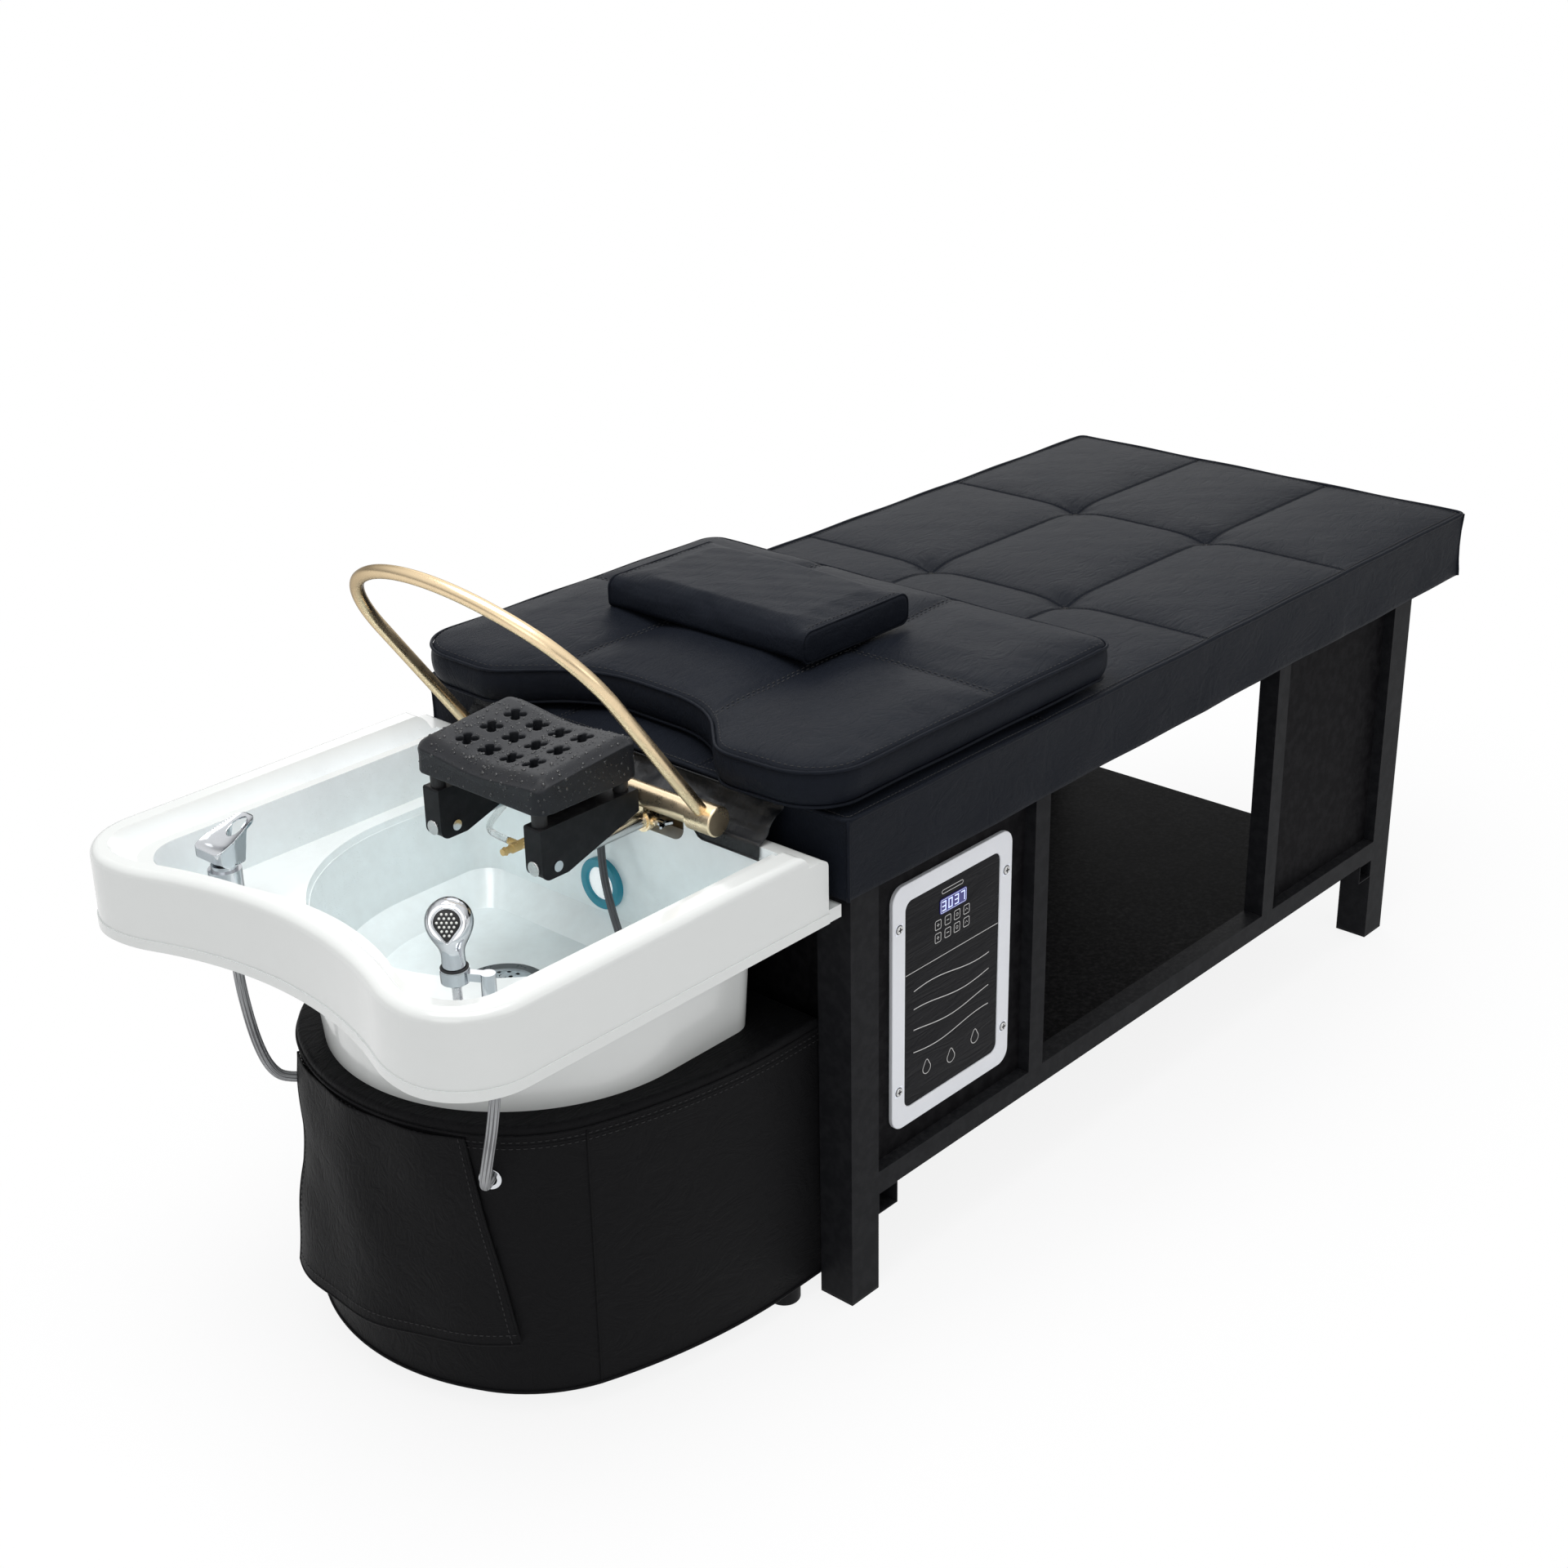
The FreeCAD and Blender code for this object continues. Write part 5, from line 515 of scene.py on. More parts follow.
@dataclass(frozen=True)
class PaintFinish(Finish):
    """Powder coat or moulded plastic with a fine orange peel and worn edges."""

    specular: float = 0.4
    texture_scale: float = 700.0
    texture_depth: float = 0.00004
    wear: float = 0.3
    wear_colour: Colour = (0.16, 0.16, 0.17)
    dust: float = 0.08

    def make(self) -> Material:
        """Build the material.

        Returns:
            The material.
        """
        material, graph, shader, place = self.start()
        blotch = self.blotches(graph, place, 14.0)
        self.vary(graph, shader, blotch, 0.05, 0.04)
        base = shader.inputs["Base Color"].links[0].from_socket
        wear = graph.effect("edge_wear", {"Vector": place, "Amount": self.wear}).outputs["Mask"]
        dust = graph.effect("dust", {"Vector": place, "Amount": self.dust}).outputs["Mask"]
        worn = graph.mix(wear, base, self.wear_colour)
        graph.feed(shader, {"Base Color": graph.mix(dust, worn, (0.35, 0.34, 0.33))})
        shader.inputs["Specular IOR Level"].default_value = self.specular
        peel = graph.effect("powder_texture", {"Vector": place, "Scale": self.texture_scale})
        self.relief(graph, shader, [(peel.outputs["Height"], self.texture_depth)])
        return material


@dataclass(frozen=True)
class GelCoatFinish(Finish):
    """Glossy white moulding whose faces that look into the basin are painted brighter and bluer, as painted light
    inside the basin.
    """

    # Painted light: brighter, bluer colours for the faces inside the basin, the bluest low in the bowl.
    lit_inner_colour: Colour = (0.84, 0.885, 0.905)
    lit_bowl_colour: Colour = (0.90, 0.985, 1.0)
    centre: Point = (-0.62, 0.0, 0.62)

    def make(self) -> Material:
        """Build the material.

        Returns:
            The material.
        """
        material, graph, shader, place = self.start()
        normal = graph.add("ShaderNodeNewGeometry").outputs["Normal"]
        to_centre = graph.vector("SUBTRACT", self.centre, place).outputs[0]
        level = graph.vector("MULTIPLY", graph.vector("NORMALIZE", to_centre).outputs[0], (1.0, 1.0, 0.55)).outputs[0]
        facing = graph.add("ShaderNodeVectorMath", {0: level, 1: normal}, operation="DOT_PRODUCT").outputs["Value"]
        height = graph.add("ShaderNodeSeparateXYZ", {0: place}).outputs[2]
        below = graph.remap(height, 0.612, 0.631, 1.0, 0.0)
        # Painted light: below the rim, faces that look into the basin take the brighter inner colours, bluer lower
        # down; the same mask places the water beads.
        inward_lit_and_wet = graph.math("MULTIPLY", graph.remap(facing, 0.02, 0.3), below)
        painted_depth_colour = graph.mix(graph.remap(height, 0.54, 0.60, 1.0, 0.0), self.lit_inner_colour, self.lit_bowl_colour)
        painted_light_tint = graph.mix(inward_lit_and_wet, self.colour, painted_depth_colour)
        blotch = self.blotches(graph, place, 6.0)
        # The film blotches go over these painted light colours.
        film = graph.mix(graph.math("MULTIPLY", blotch, 0.35), painted_light_tint, tuple(part * 0.96 for part in self.colour))
        smear = self.blotches(graph, place, 26.0)
        graph.feed(shader, {"Base Color": film,
                            "Roughness": graph.remap(smear, 0.0, 1.0, self.roughness, self.roughness + 0.07)})
        shader.inputs["Coat Weight"].default_value = 0.35
        shader.inputs["Coat Roughness"].default_value = 0.06
        wave = graph.noise(place, 14.0, 1.0)
        beads = graph.effect("water_beads", {"Vector": place, "Scale": 230.0})
        wet = graph.math("MULTIPLY", beads.outputs["Height"], graph.math("MULTIPLY", inward_lit_and_wet, graph.remap(
            graph.noise(place, 5.0, 1.0), 0.52, 0.6)))
        self.relief(graph, shader, [(wave, 0.0012), (wet, 0.0004)])
        return material


@dataclass(frozen=True)
class MetalFinish(Finish):
    """Plated or anodised metal, polished or brushed, with smudges."""

    kind: MetalKind = MetalKind.POLISHED
    stretch: Point = (1.0, 1.0, 1.0)
    smudge: float = 0.12
    spots: float = 0.0
    rim: float = 1.0

    def make(self) -> Material:
        """Build the material.

        Returns:
            The material.
        """
        material, graph, shader, place = self.start()
        smudges = self.blotches(graph, place, 45.0)
        dull = tuple(part * 0.93 for part in self.colour)
        colour = graph.mix(smudges, self.colour, dull)
        if self.spots:
            stains = graph.remap(graph.noise(place, 480.0, 5.0, 0.75), 0.6, 0.68)
            patch = graph.remap(graph.noise(place, 9.0, 2.0), 0.5, 0.62)
            mark = graph.math("MULTIPLY", graph.math("MULTIPLY", stains, patch), self.spots)
            colour = graph.mix(mark, colour, (0.08, 0.04, 0.02))
        graph.feed(shader, {"Base Color": colour, "Roughness": graph.remap(
            smudges, 0.0, 1.0, self.roughness, self.roughness + self.smudge)})
        shader.inputs["Metallic"].default_value = 1.0
        shader.inputs["Specular Tint"].default_value = (self.rim, self.rim, self.rim, 1.0)
        if self.kind is MetalKind.BRUSHED:
            drawn = graph.vector("MULTIPLY", place, self.stretch).outputs[0]
            lines = graph.effect("brushed_lines", {"Vector": drawn, "Scale": 420.0})
            self.relief(graph, shader, [(lines.outputs["Height"], 0.00003)])
        else:
            self.relief(graph, shader, [(graph.noise(place, 60.0, 1.0), 0.00008)])
        return material


@dataclass(frozen=True)
class RubberFinish(Finish):
    """Moulded foam or rubber skin with a fine grain, wet in patches."""

    grain: float = 0.00012
    beads: float = 0.0
    specular: float = 0.4

    def make(self) -> Material:
        """Build the material.

        Returns:
            The material.
        """
        material, graph, shader, place = self.start()
        blotch = self.blotches(graph, place, 30.0)
        self.vary(graph, shader, blotch, 0.4, 0.1)
        skin = graph.effect("powder_texture", {"Vector": place, "Scale": 900.0}).outputs["Height"]
        layers = [(skin, self.grain)]
        shader.inputs["Specular IOR Level"].default_value = self.specular
        if self.beads:
            layers.append(self.beaded(graph, shader, place, self.beads, 160.0, 0.06, 0.0009))
        self.relief(graph, shader, layers)
        return material


@dataclass(frozen=True)
class ClearFinish(Finish):
    """Translucent or clear plastic."""

    transmission: float = 1.0
    ior: float = 1.45
    glow: float = 0.0

    def make(self) -> Material:
        """Build the material.

        Returns:
            The material.
        """
        material, graph, shader, place = self.start()
        haze = self.blotches(graph, place, 50.0)
        self.vary(graph, shader, haze, 0.06, 0.08)
        shader.inputs["Transmission Weight"].default_value = self.transmission
        shader.inputs["IOR"].default_value = self.ior
        if self.glow:
            self.lit(shader, self.glow)
        self.relief(graph, shader, [(graph.noise(place, 220.0, 2.0), 0.0001)])
        return material


@dataclass(frozen=True)
class FilmFinish(Finish):
    """Glossy printed film over a dark plate, with slow wrinkles and finger marks."""

    def make(self) -> Material:
        """Build the material.

        Returns:
            The material.
        """
        material, graph, shader, place = self.start()
        marks = self.blotches(graph, place, 34.0)
        self.vary(graph, shader, marks, 0.5, 0.14)
        shader.inputs["Specular IOR Level"].default_value = 0.06
        flat = graph.vector("MULTIPLY", place, (0.35, 1.0, 1.6)).outputs[0]
        folds = graph.effect("soft_folds", {"Vector": flat, "Scale": 9.0})
        self.relief(graph, shader, [(folds.outputs["Height"], 0.0025)])
        return material


@dataclass(frozen=True)
class InkFinish(Finish):
    """Printed or lit marks."""

    glow: float = 0.0

    def make(self) -> Material:
        """Build the material.

        Returns:
            The material.
        """
        material, graph, shader, place = self.start()
        worn = self.blotches(graph, place, 90.0)
        self.vary(graph, shader, worn, 0.15, 0.1)
        if self.glow:
            self.lit(shader, self.glow)
        return material


@dataclass(frozen=True)
class ThreadFinish(Finish):
    """Sewing thread with a fine twist."""

    def make(self) -> Material:
        """Build the material.

        Returns:
            The material.
        """
        material, graph, shader, place = self.start()
        twist = graph.effect("brushed_lines", {"Vector": place, "Scale": 1500.0})
        self.vary(graph, shader, twist.outputs["Mask"], 0.6, 0.1)
        shader.inputs["Sheen Weight"].default_value = 0.05
        self.relief(graph, shader, [(twist.outputs["Height"], 0.0001)])
        return material


@dataclass(frozen=True)
class HoseFinish(Finish):
    """Hose cover with strands or ribs that follow the hose's own UV place."""

    strand_colour: Colour = (0.42, 0.43, 0.44)
    around: float = 8.0
    along: float = 160.0

    def make(self) -> Material:
        """Build the material.

        Returns:
            The material.
        """
        material, graph, shader, place = self.start()
        braid = graph.effect("hose_braid", {"Vector": graph.surface_map(), "Around": self.around,
                                                    "Along": self.along})
        dirt = self.blotches(graph, place, 60.0)
        strands = graph.mix(braid.outputs["Mask"], self.colour, self.strand_colour)
        graph.feed(shader, {"Base Color": graph.mix(graph.math("MULTIPLY", dirt, 0.3), strands, self.colour),
                            "Roughness": graph.remap(dirt, 0.0, 1.0, self.roughness, self.roughness + 0.12)})
        self.relief(graph, shader, [(braid.outputs["Height"], 0.0003)])
        return material


@dataclass
class Finishes:
    """The materials of the bed, each made from its finish when it is first used."""

    made: dict[str, Material] = field(default_factory=dict)

    def get(self, finish: Finish) -> Material:
        """Return the material of a finish, made once.

        Args:
            finish: The finish.

        Returns:
            Its material.
        """
        if finish.name not in self.made:
            self.made[finish.name] = finish.make()
            LOG.info("finish %s", finish.name)
        return self.made[finish.name]


LEATHER = LeatherFinish("black_leather", (0.0070, 0.0085, 0.0125), 0.40, specular=0.041)
BASE_LEATHER = LeatherFinish("base_leather", (0.0052, 0.0052, 0.0058), 0.5, specular=0.06, fold_depth=0.006,
                             fold_scale=4.5)
FLAP_LEATHER = LeatherFinish("flap_leather", (0.0052, 0.0052, 0.0058), 0.5, specular=0.07, fold_depth=0.007,
                             fold_scale=7.0)
WET_LEATHER = LeatherFinish("wet_leather", (0.0055, 0.0065, 0.0085), 0.15, specular=0.34, fold_depth=0.004,
                            fold_scale=14.0, beads=0.8)
FRAME_PAINT = PaintFinish("frame_powder_coat", (0.0085, 0.0088, 0.0102), 0.46, specular=0.05, wear=0.03, dust=0.04)
BRACKET_PAINT = PaintFinish("bracket_powder_coat", (0.0075, 0.008, 0.0095), 0.4, specular=0.12, wear=0.03)
BOARD = PaintFinish("black_laminate", (0.0058, 0.0056, 0.0064), 0.5, specular=0.018, texture_scale=260.0,
                    texture_depth=0.00008, wear=0.03, dust=0.03)
BLACK_PLASTIC = PaintFinish("black_plastic", (0.008, 0.008, 0.009), 0.5, specular=0.1, texture_depth=0.00005,
                            wear=0.05)
GREY_PLASTIC = PaintFinish("grey_plastic", (0.5, 0.5, 0.5), 0.45, wear_colour=(0.6, 0.6, 0.6))
BUSH_PLASTIC = PaintFinish("bush_plastic", (0.62, 0.66, 0.68), 0.35, wear=0.0)
BEZEL_PLASTIC = PaintFinish("bezel_plastic", (0.72, 0.735, 0.77), 0.33, wear=0.05, wear_colour=(0.5, 0.5, 0.5),
                            texture_depth=0.00002, dust=0.02)
LABEL = PaintFinish("screw_label", (0.82, 0.85, 0.92), 0.3, wear=0.0, dust=0.0)
GEL_COAT = GelCoatFinish("white_gel_coat", (0.645, 0.66, 0.65), 0.16)
CHROME = MetalFinish("chrome", (0.66, 0.68, 0.71), 0.06, rim=0.3)
SCREW_STEEL = MetalFinish("bright_steel", (0.62, 0.62, 0.62), 0.16, smudge=0.15, rim=0.4)
GOLD = MetalFinish("champagne_gold", (0.98, 0.80, 0.55), 0.24, MetalKind.BRUSHED, (0.6, 6.0, 0.6), spots=0.8,
                   rim=0.4)
GOLD_ARCH = MetalFinish("champagne_gold_arch", (0.90, 0.71, 0.46), 0.22, MetalKind.BRUSHED, (1.0, 1.0, 1.0), spots=0.4,
                        rim=0.35)
HEADREST_FOAM = RubberFinish("headrest_skin", (0.0105, 0.0115, 0.0140), 0.4, beads=1.0, specular=0.2)
SPRAY_PLATE = PaintFinish("spray_plate", (0.02, 0.02, 0.021), 0.25, specular=0.3, wear=0.0, dust=0.0)
NOZZLE = PaintFinish("spray_nozzle", (0.72, 0.72, 0.70), 0.3, wear=0.0, dust=0.0)
STUB_RUBBER = RubberFinish("stub_rubber", (0.012, 0.012, 0.013), 0.5)
DRAIN_GREY = RubberFinish("drain_rubber", (0.05, 0.06, 0.065), 0.25, grain=0.00003)
LAMP_BLUE = ClearFinish("lamp_blue", (0.03, 0.34, 0.46), 0.12, transmission=0.35, glow=0.04)
LAMP_PALE = ClearFinish("lamp_pale", (0.9, 0.93, 0.94), 0.15, transmission=0.0, glow=0.3)
AMBER = ClearFinish("amber_plastic", (0.85, 0.62, 0.26), 0.22, transmission=0.35)
WATER = PaintFinish("water_on_black", (0.014, 0.015, 0.017), 0.05, specular=0.5, wear=0.0, dust=0.0)
CLEAR = ClearFinish("clear_plastic", (0.9, 0.92, 0.92), 0.08, transmission=0.92)
FILM = FilmFinish("panel_film", (0.0035, 0.0035, 0.0048), 0.12)
WINDOW_BLUE = InkFinish("display_window", (0.016, 0.014, 0.13), 0.15, glow=0.35)
DIGIT_LIGHT = InkFinish("display_digits", (0.60, 0.66, 0.95), 0.3, glow=0.55)
PALE_INK = InkFinish("pale_ink", (0.55, 0.54, 0.53), 0.4)
THREAD = ThreadFinish("black_thread", (0.006, 0.006, 0.007), 0.6)
SUPPLY_HOSE = HoseFinish("supply_hose", (0.10, 0.10, 0.105), 0.42, (0.36, 0.37, 0.38), around=9.0, along=4.0)
RIB_HOSE = HoseFinish("ribbed_hose", (0.035, 0.037, 0.042), 0.42, (0.085, 0.09, 0.10), around=8.0, along=5.0)
METAL_HOSE_RIGID = MetalFinish("metal_hose", (0.6, 0.6, 0.62), 0.22, MetalKind.BRUSHED, (0.2, 0.2, 4.0))
SHELF_BOARD = PaintFinish("shelf_laminate", (0.0045, 0.0045, 0.005), 0.4, specular=0.01, texture_scale=120.0,
                          texture_depth=0.00003, wear=0.03, dust=0.05)


@dataclass
class Shape:
    """Points in millimetres and the faces between them."""

    points: np.ndarray
    faces: list[tuple[int, ...]]
    uv: list[Place] | None = None

    @staticmethod
    def merged(shapes: Sequence["Shape"]) -> "Shape":
        """Join several shapes into one.

        Args:
            shapes: The shapes, at least one.

        Returns:
            One shape with all their points and faces.
        """
        faces: list[tuple[int, ...]] = []
        uv: list[Place] = []
        start = 0
        for shape in shapes:
            faces.extend(tuple(index + start for index in face) for face in shape.faces)
            uv.extend(shape.uv or [])
            start += len(shape.points)
        points = np.vstack([shape.points for shape in shapes])
        return Shape(points, faces, uv if len(uv) == len(points) else None)


def grid_faces(rows: int, columns: int, wrap: bool = False, start: int = 0) -> list[tuple[int, ...]]:
    """Quads between rows of points.

    Args:
        rows: How many rows there are.
        columns: How many points each row has.
        wrap: Whether a row's last point joins its first.
        start: Number of the first point.

    Returns:
        The faces.
    """
    faces = []
    for i in range(rows - 1):
        for j in range(columns if wrap else columns - 1):
            k = (j + 1) % columns
            faces.append((start + i * columns + j, start + i * columns + k,
                          start + (i + 1) * columns + k, start + (i + 1) * columns + j))
    return faces


def full_turn(count: int) -> np.ndarray:
    """Angles at even steps round a circle."""
    return np.linspace(0.0, math.tau, count, endpoint=False)


def at_level(line: np.ndarray, level: float) -> np.ndarray:
    """Lift places in plan to one height."""
    return np.column_stack([line, np.full(len(line), level)])


def gaps(line: np.ndarray) -> np.ndarray:
    """Distances from each point of a line to the next."""
    return np.linalg.norm(np.diff(line, axis=0), axis=1)


def distances_along(line: np.ndarray) -> np.ndarray:
    """Distance of each point from the start of its line, along the line."""
    return np.concatenate([[0.0], np.cumsum(gaps(line))])


def headings(line: np.ndarray, closed: bool = False) -> np.ndarray:
    """Unit vectors along a line, at each of its points."""
    ahead = np.roll(line, -1, axis=0) - np.roll(line, 1, axis=0) if closed else np.gradient(line, axis=0)
    return ahead / (np.linalg.norm(ahead, axis=1)[:, None] + 1e-12)


def leftwards(line: np.ndarray, closed: bool = False) -> np.ndarray:
    """Unit vectors to the left of a line in its plane, at each of its points."""
    ahead = headings(line, closed)
    return np.column_stack([-ahead[:, 1], ahead[:, 0]])


def spaced(points: np.ndarray, step: float, closed: bool = False, count: int = 0) -> np.ndarray:
    """Place points at even steps along a line of points.

    Args:
        points: The line's points in millimetres.
        step: Distance between two new points.
        closed: Whether the line ends where it starts.
        count: How many new points there are, or 0 to let the step decide.

    Returns:
        The new points.
    """
    line = np.vstack([points, points[:1]]) if closed else np.asarray(points, float)
    lengths = distances_along(line)
    count = count or max(2, int(round(lengths[-1] / step)) + (0 if closed else 1))
    marks = np.linspace(0.0, lengths[-1], count + 1)[:-1] if closed else np.linspace(0.0, lengths[-1], count)
    return np.column_stack([np.interp(marks, lengths, line[:, axis]) for axis in range(line.shape[1])])


def rounded_loop(corners: Sequence[tuple[float, float, float]], step: float) -> np.ndarray:
    """Round the corners of a closed outline.

    Args:
        corners: x, y and corner radius, in millimetres.
        step: Distance between the points of the result.

    Returns:
        The outline's points in the plane.
    """
    line: list[np.ndarray] = []
    count = len(corners)
    for i in range(count):
        here = np.array(corners[i][:2])
        before = np.array(corners[i - 1][:2]) - here
        after = np.array(corners[(i + 1) % count][:2]) - here
        before, after = before / np.linalg.norm(before), after / np.linalg.norm(after)
        half = math.acos(max(-1.0, min(1.0, float(before @ after)))) / 2.0
        radius = corners[i][2]
        reach = radius / math.tan(half)
        centre = here + (before + after) / np.linalg.norm(before + after) * radius / math.sin(half)
        first, last = here + before * reach - centre, here + after * reach - centre
        start = math.atan2(first[1], first[0])
        sweep = (math.atan2(last[1], last[0]) - start + math.pi) % math.tau - math.pi
        turns = max(2, int(abs(sweep) * radius / step) + 1)
        for k in range(turns + 1):
            angle = start + sweep * k / turns
            line.append(centre + radius * np.array((math.cos(angle), math.sin(angle))))
    return spaced(np.array(line), step, True)


def rounded_box(x0: float, x1: float, y0: float, y1: float, radius: float, step: float) -> np.ndarray:
    """Outline of a rectangle with rounded corners.

    Args:
        x0: Its left side.
        x1: Its right side.
        y0: Its lower side.
        y1: Its upper side.
        radius: Radius of its corners.
        step: Distance between the points of the result.

    Returns:
        The outline's points.
    """
    return rounded_loop([(x0, y0, radius), (x1, y0, radius), (x1, y1, radius), (x0, y1, radius)], step)


def inset_loop(loop: np.ndarray, inset: float) -> np.ndarray:
    """Move a closed outline inwards, whichever way round it runs."""
    area = float(np.sum(loop[:, 0] * np.roll(loop[:, 1], -1) - np.roll(loop[:, 0], -1) * loop[:, 1]))
    return loop + leftwards(loop, True) * (1.0 if area > 0.0 else -1.0) * inset


def frames_along(line: np.ndarray, closed: bool) -> tuple[np.ndarray, np.ndarray]:
    """Find two cross directions at each point of a line, without a sudden twist.

    Args:
        line: The line's points.
        closed: Whether the line ends where it starts.

    Returns:
        Two arrays of unit vectors across the line.
    """
    ahead = headings(line, closed)
    side = np.zeros_like(line)
    guide = np.array((0.0, 0.0, 1.0)) if abs(ahead[0][2]) < 0.9 else np.array((1.0, 0.0, 0.0))
    for i, direction in enumerate(ahead):
        guide = guide - direction * float(guide @ direction)
        guide = guide / (np.linalg.norm(guide) + 1e-12)
        side[i] = guide
    return side, np.cross(ahead, side)


def tube(line: np.ndarray, radius: float | np.ndarray, sides: int = 10, closed: bool = False) -> Shape:
    """Sweep a round section along a line.

    Args:
        line: The line's points in millimetres.
        radius: Radius, or one radius for each point.
        sides: How many sides the section has.
        closed: Whether the line ends where it starts.

    Returns:
        The tube, with its UV place at each point: share of the turn, and metres along the line.
    """
    side, up = frames_along(line, closed)
    radii = np.broadcast_to(np.asarray(radius, float), (len(line),))
    angles = full_turn(sides)
    ring = side[:, None, :] * np.cos(angles)[None, :, None] + up[:, None, :] * np.sin(angles)[None, :, None]
    points = (line[:, None, :] + ring * radii[:, None, None]).reshape(-1, 3)
    faces = grid_faces(len(line), sides, True)
    if closed:
        last = (len(line) - 1) * sides
        faces += [(last + j, last + (j + 1) % sides, (j + 1) % sides, j) for j in range(sides)]
    else:
        faces.append(tuple(reversed(range(sides))))
        faces.append(tuple(range((len(line) - 1) * sides, len(line) * sides)))
    uv = [(j / sides, float(along)) for along in distances_along(line) * MM for j in range(sides)]
    return Shape(points, faces, uv)


def thread(line: np.ndarray, up: Sequence[float] | np.ndarray, length: float = 4.2, pitch: float = 6.4,
           radius: float = 0.55, sink: float = 0.2, closed: bool = False) -> Shape:
    """Sew separate stitches along a line.

    Args:
        line: The seam's points in millimetres.
        up: Direction away from the surface, for all points or for each.
        length: Length of one stitch.
        pitch: Distance from one stitch to the next.
        radius: Radius of the thread.
        sink: How far the stitch's middle line lies under the highest point of the thread.
        closed: Whether the line ends where it starts.

    Returns:
        All the stitches as one shape.
    """
    normals = np.broadcast_to(np.asarray(up, float), line.shape)
    both = spaced(np.hstack([line, normals]), pitch, closed)
    shapes = []
    for i in range(len(both) - (0 if closed else 1)):
        here, after = both[i], both[(i + 1) % len(both)]
        run = after[:3] - here[:3]
        distance = np.linalg.norm(run)
        if distance < 1e-6:
            continue
        run /= distance
        normal = here[3:] / (np.linalg.norm(here[3:]) + 1e-12)
        middle = here[:3] + run * pitch / 2.0 + normal * (radius - sink)
        marks = np.array((-0.5, -0.3, 0.3, 0.5))
        drop = np.array((1.6, 0.0, 0.0, 1.6)) * radius
        bent = middle + run * (marks * length)[:, None] - normal * drop[:, None]
        shapes.append(tube(bent, np.array((0.5, 1.0, 1.0, 0.5)) * radius, 5))
    return replace(Shape.merged(shapes), uv=None)


class Surface:
    """The upper side of a piece, to lay seams and threads on it."""

    def __init__(self, piece: Piece) -> None:
        """Build the search tree of the piece.

        Args:
            piece: The piece.
        """
        evaluated = piece.evaluated_get(bpy.context.evaluated_depsgraph_get())
        mesh = evaluated.to_mesh()
        points = [piece.matrix_world @ vertex.co for vertex in mesh.vertices]
        self.tree = BVHTree.FromPolygons(points, [tuple(face.vertices) for face in mesh.polygons])
        evaluated.to_mesh_clear()

    def laid(self, line: np.ndarray, direction: Point = (0.0, 0.0, -1.0), back: float = 120.0
             ) -> tuple[np.ndarray, np.ndarray]:
        """Drop a line onto the piece.

        Args:
            line: Points in millimetres, head frame.
            direction: Way in which the line is dropped.
            back: How far outside the piece each ray starts.

        Returns:
            The points on the piece in millimetres, and the normals there.
        """
        way = Vector(direction)
        places, normals = [], []
        for x, y, z in line:
            place, normal, _, _ = self.tree.ray_cast(at(x, y, z) - way * back * MM, way)
            if place is not None:
                places.append(((place.x - HEAD_END_X) / MM, place.y / MM, place.z / MM))
                normals.append(tuple(normal if normal.dot(way) < 0.0 else -normal))
        return np.array(places), np.array(normals)


def linked(name: str, data: bpy.types.ID) -> Piece:
    """Put a mesh, curve, camera or light into the scene as an object.

    Args:
        name: Its name.
        data: What the object holds.

    Returns:
        The object.
    """
    holder = bpy.data.objects.new(name, data)
    bpy.context.scene.collection.objects.link(holder)
    return holder


def mesh_of(curve: bpy.types.Curve) -> bpy.types.Mesh:
    """Turn a curve into a mesh, without keeping an object for it.

    Args:
        curve: The curve.

    Returns:
        The mesh.
    """
    holder = linked(curve.name, curve)
    mesh = bpy.data.meshes.new_from_object(holder.evaluated_get(bpy.context.evaluated_depsgraph_get()))
    bpy.data.objects.remove(holder)
    return mesh


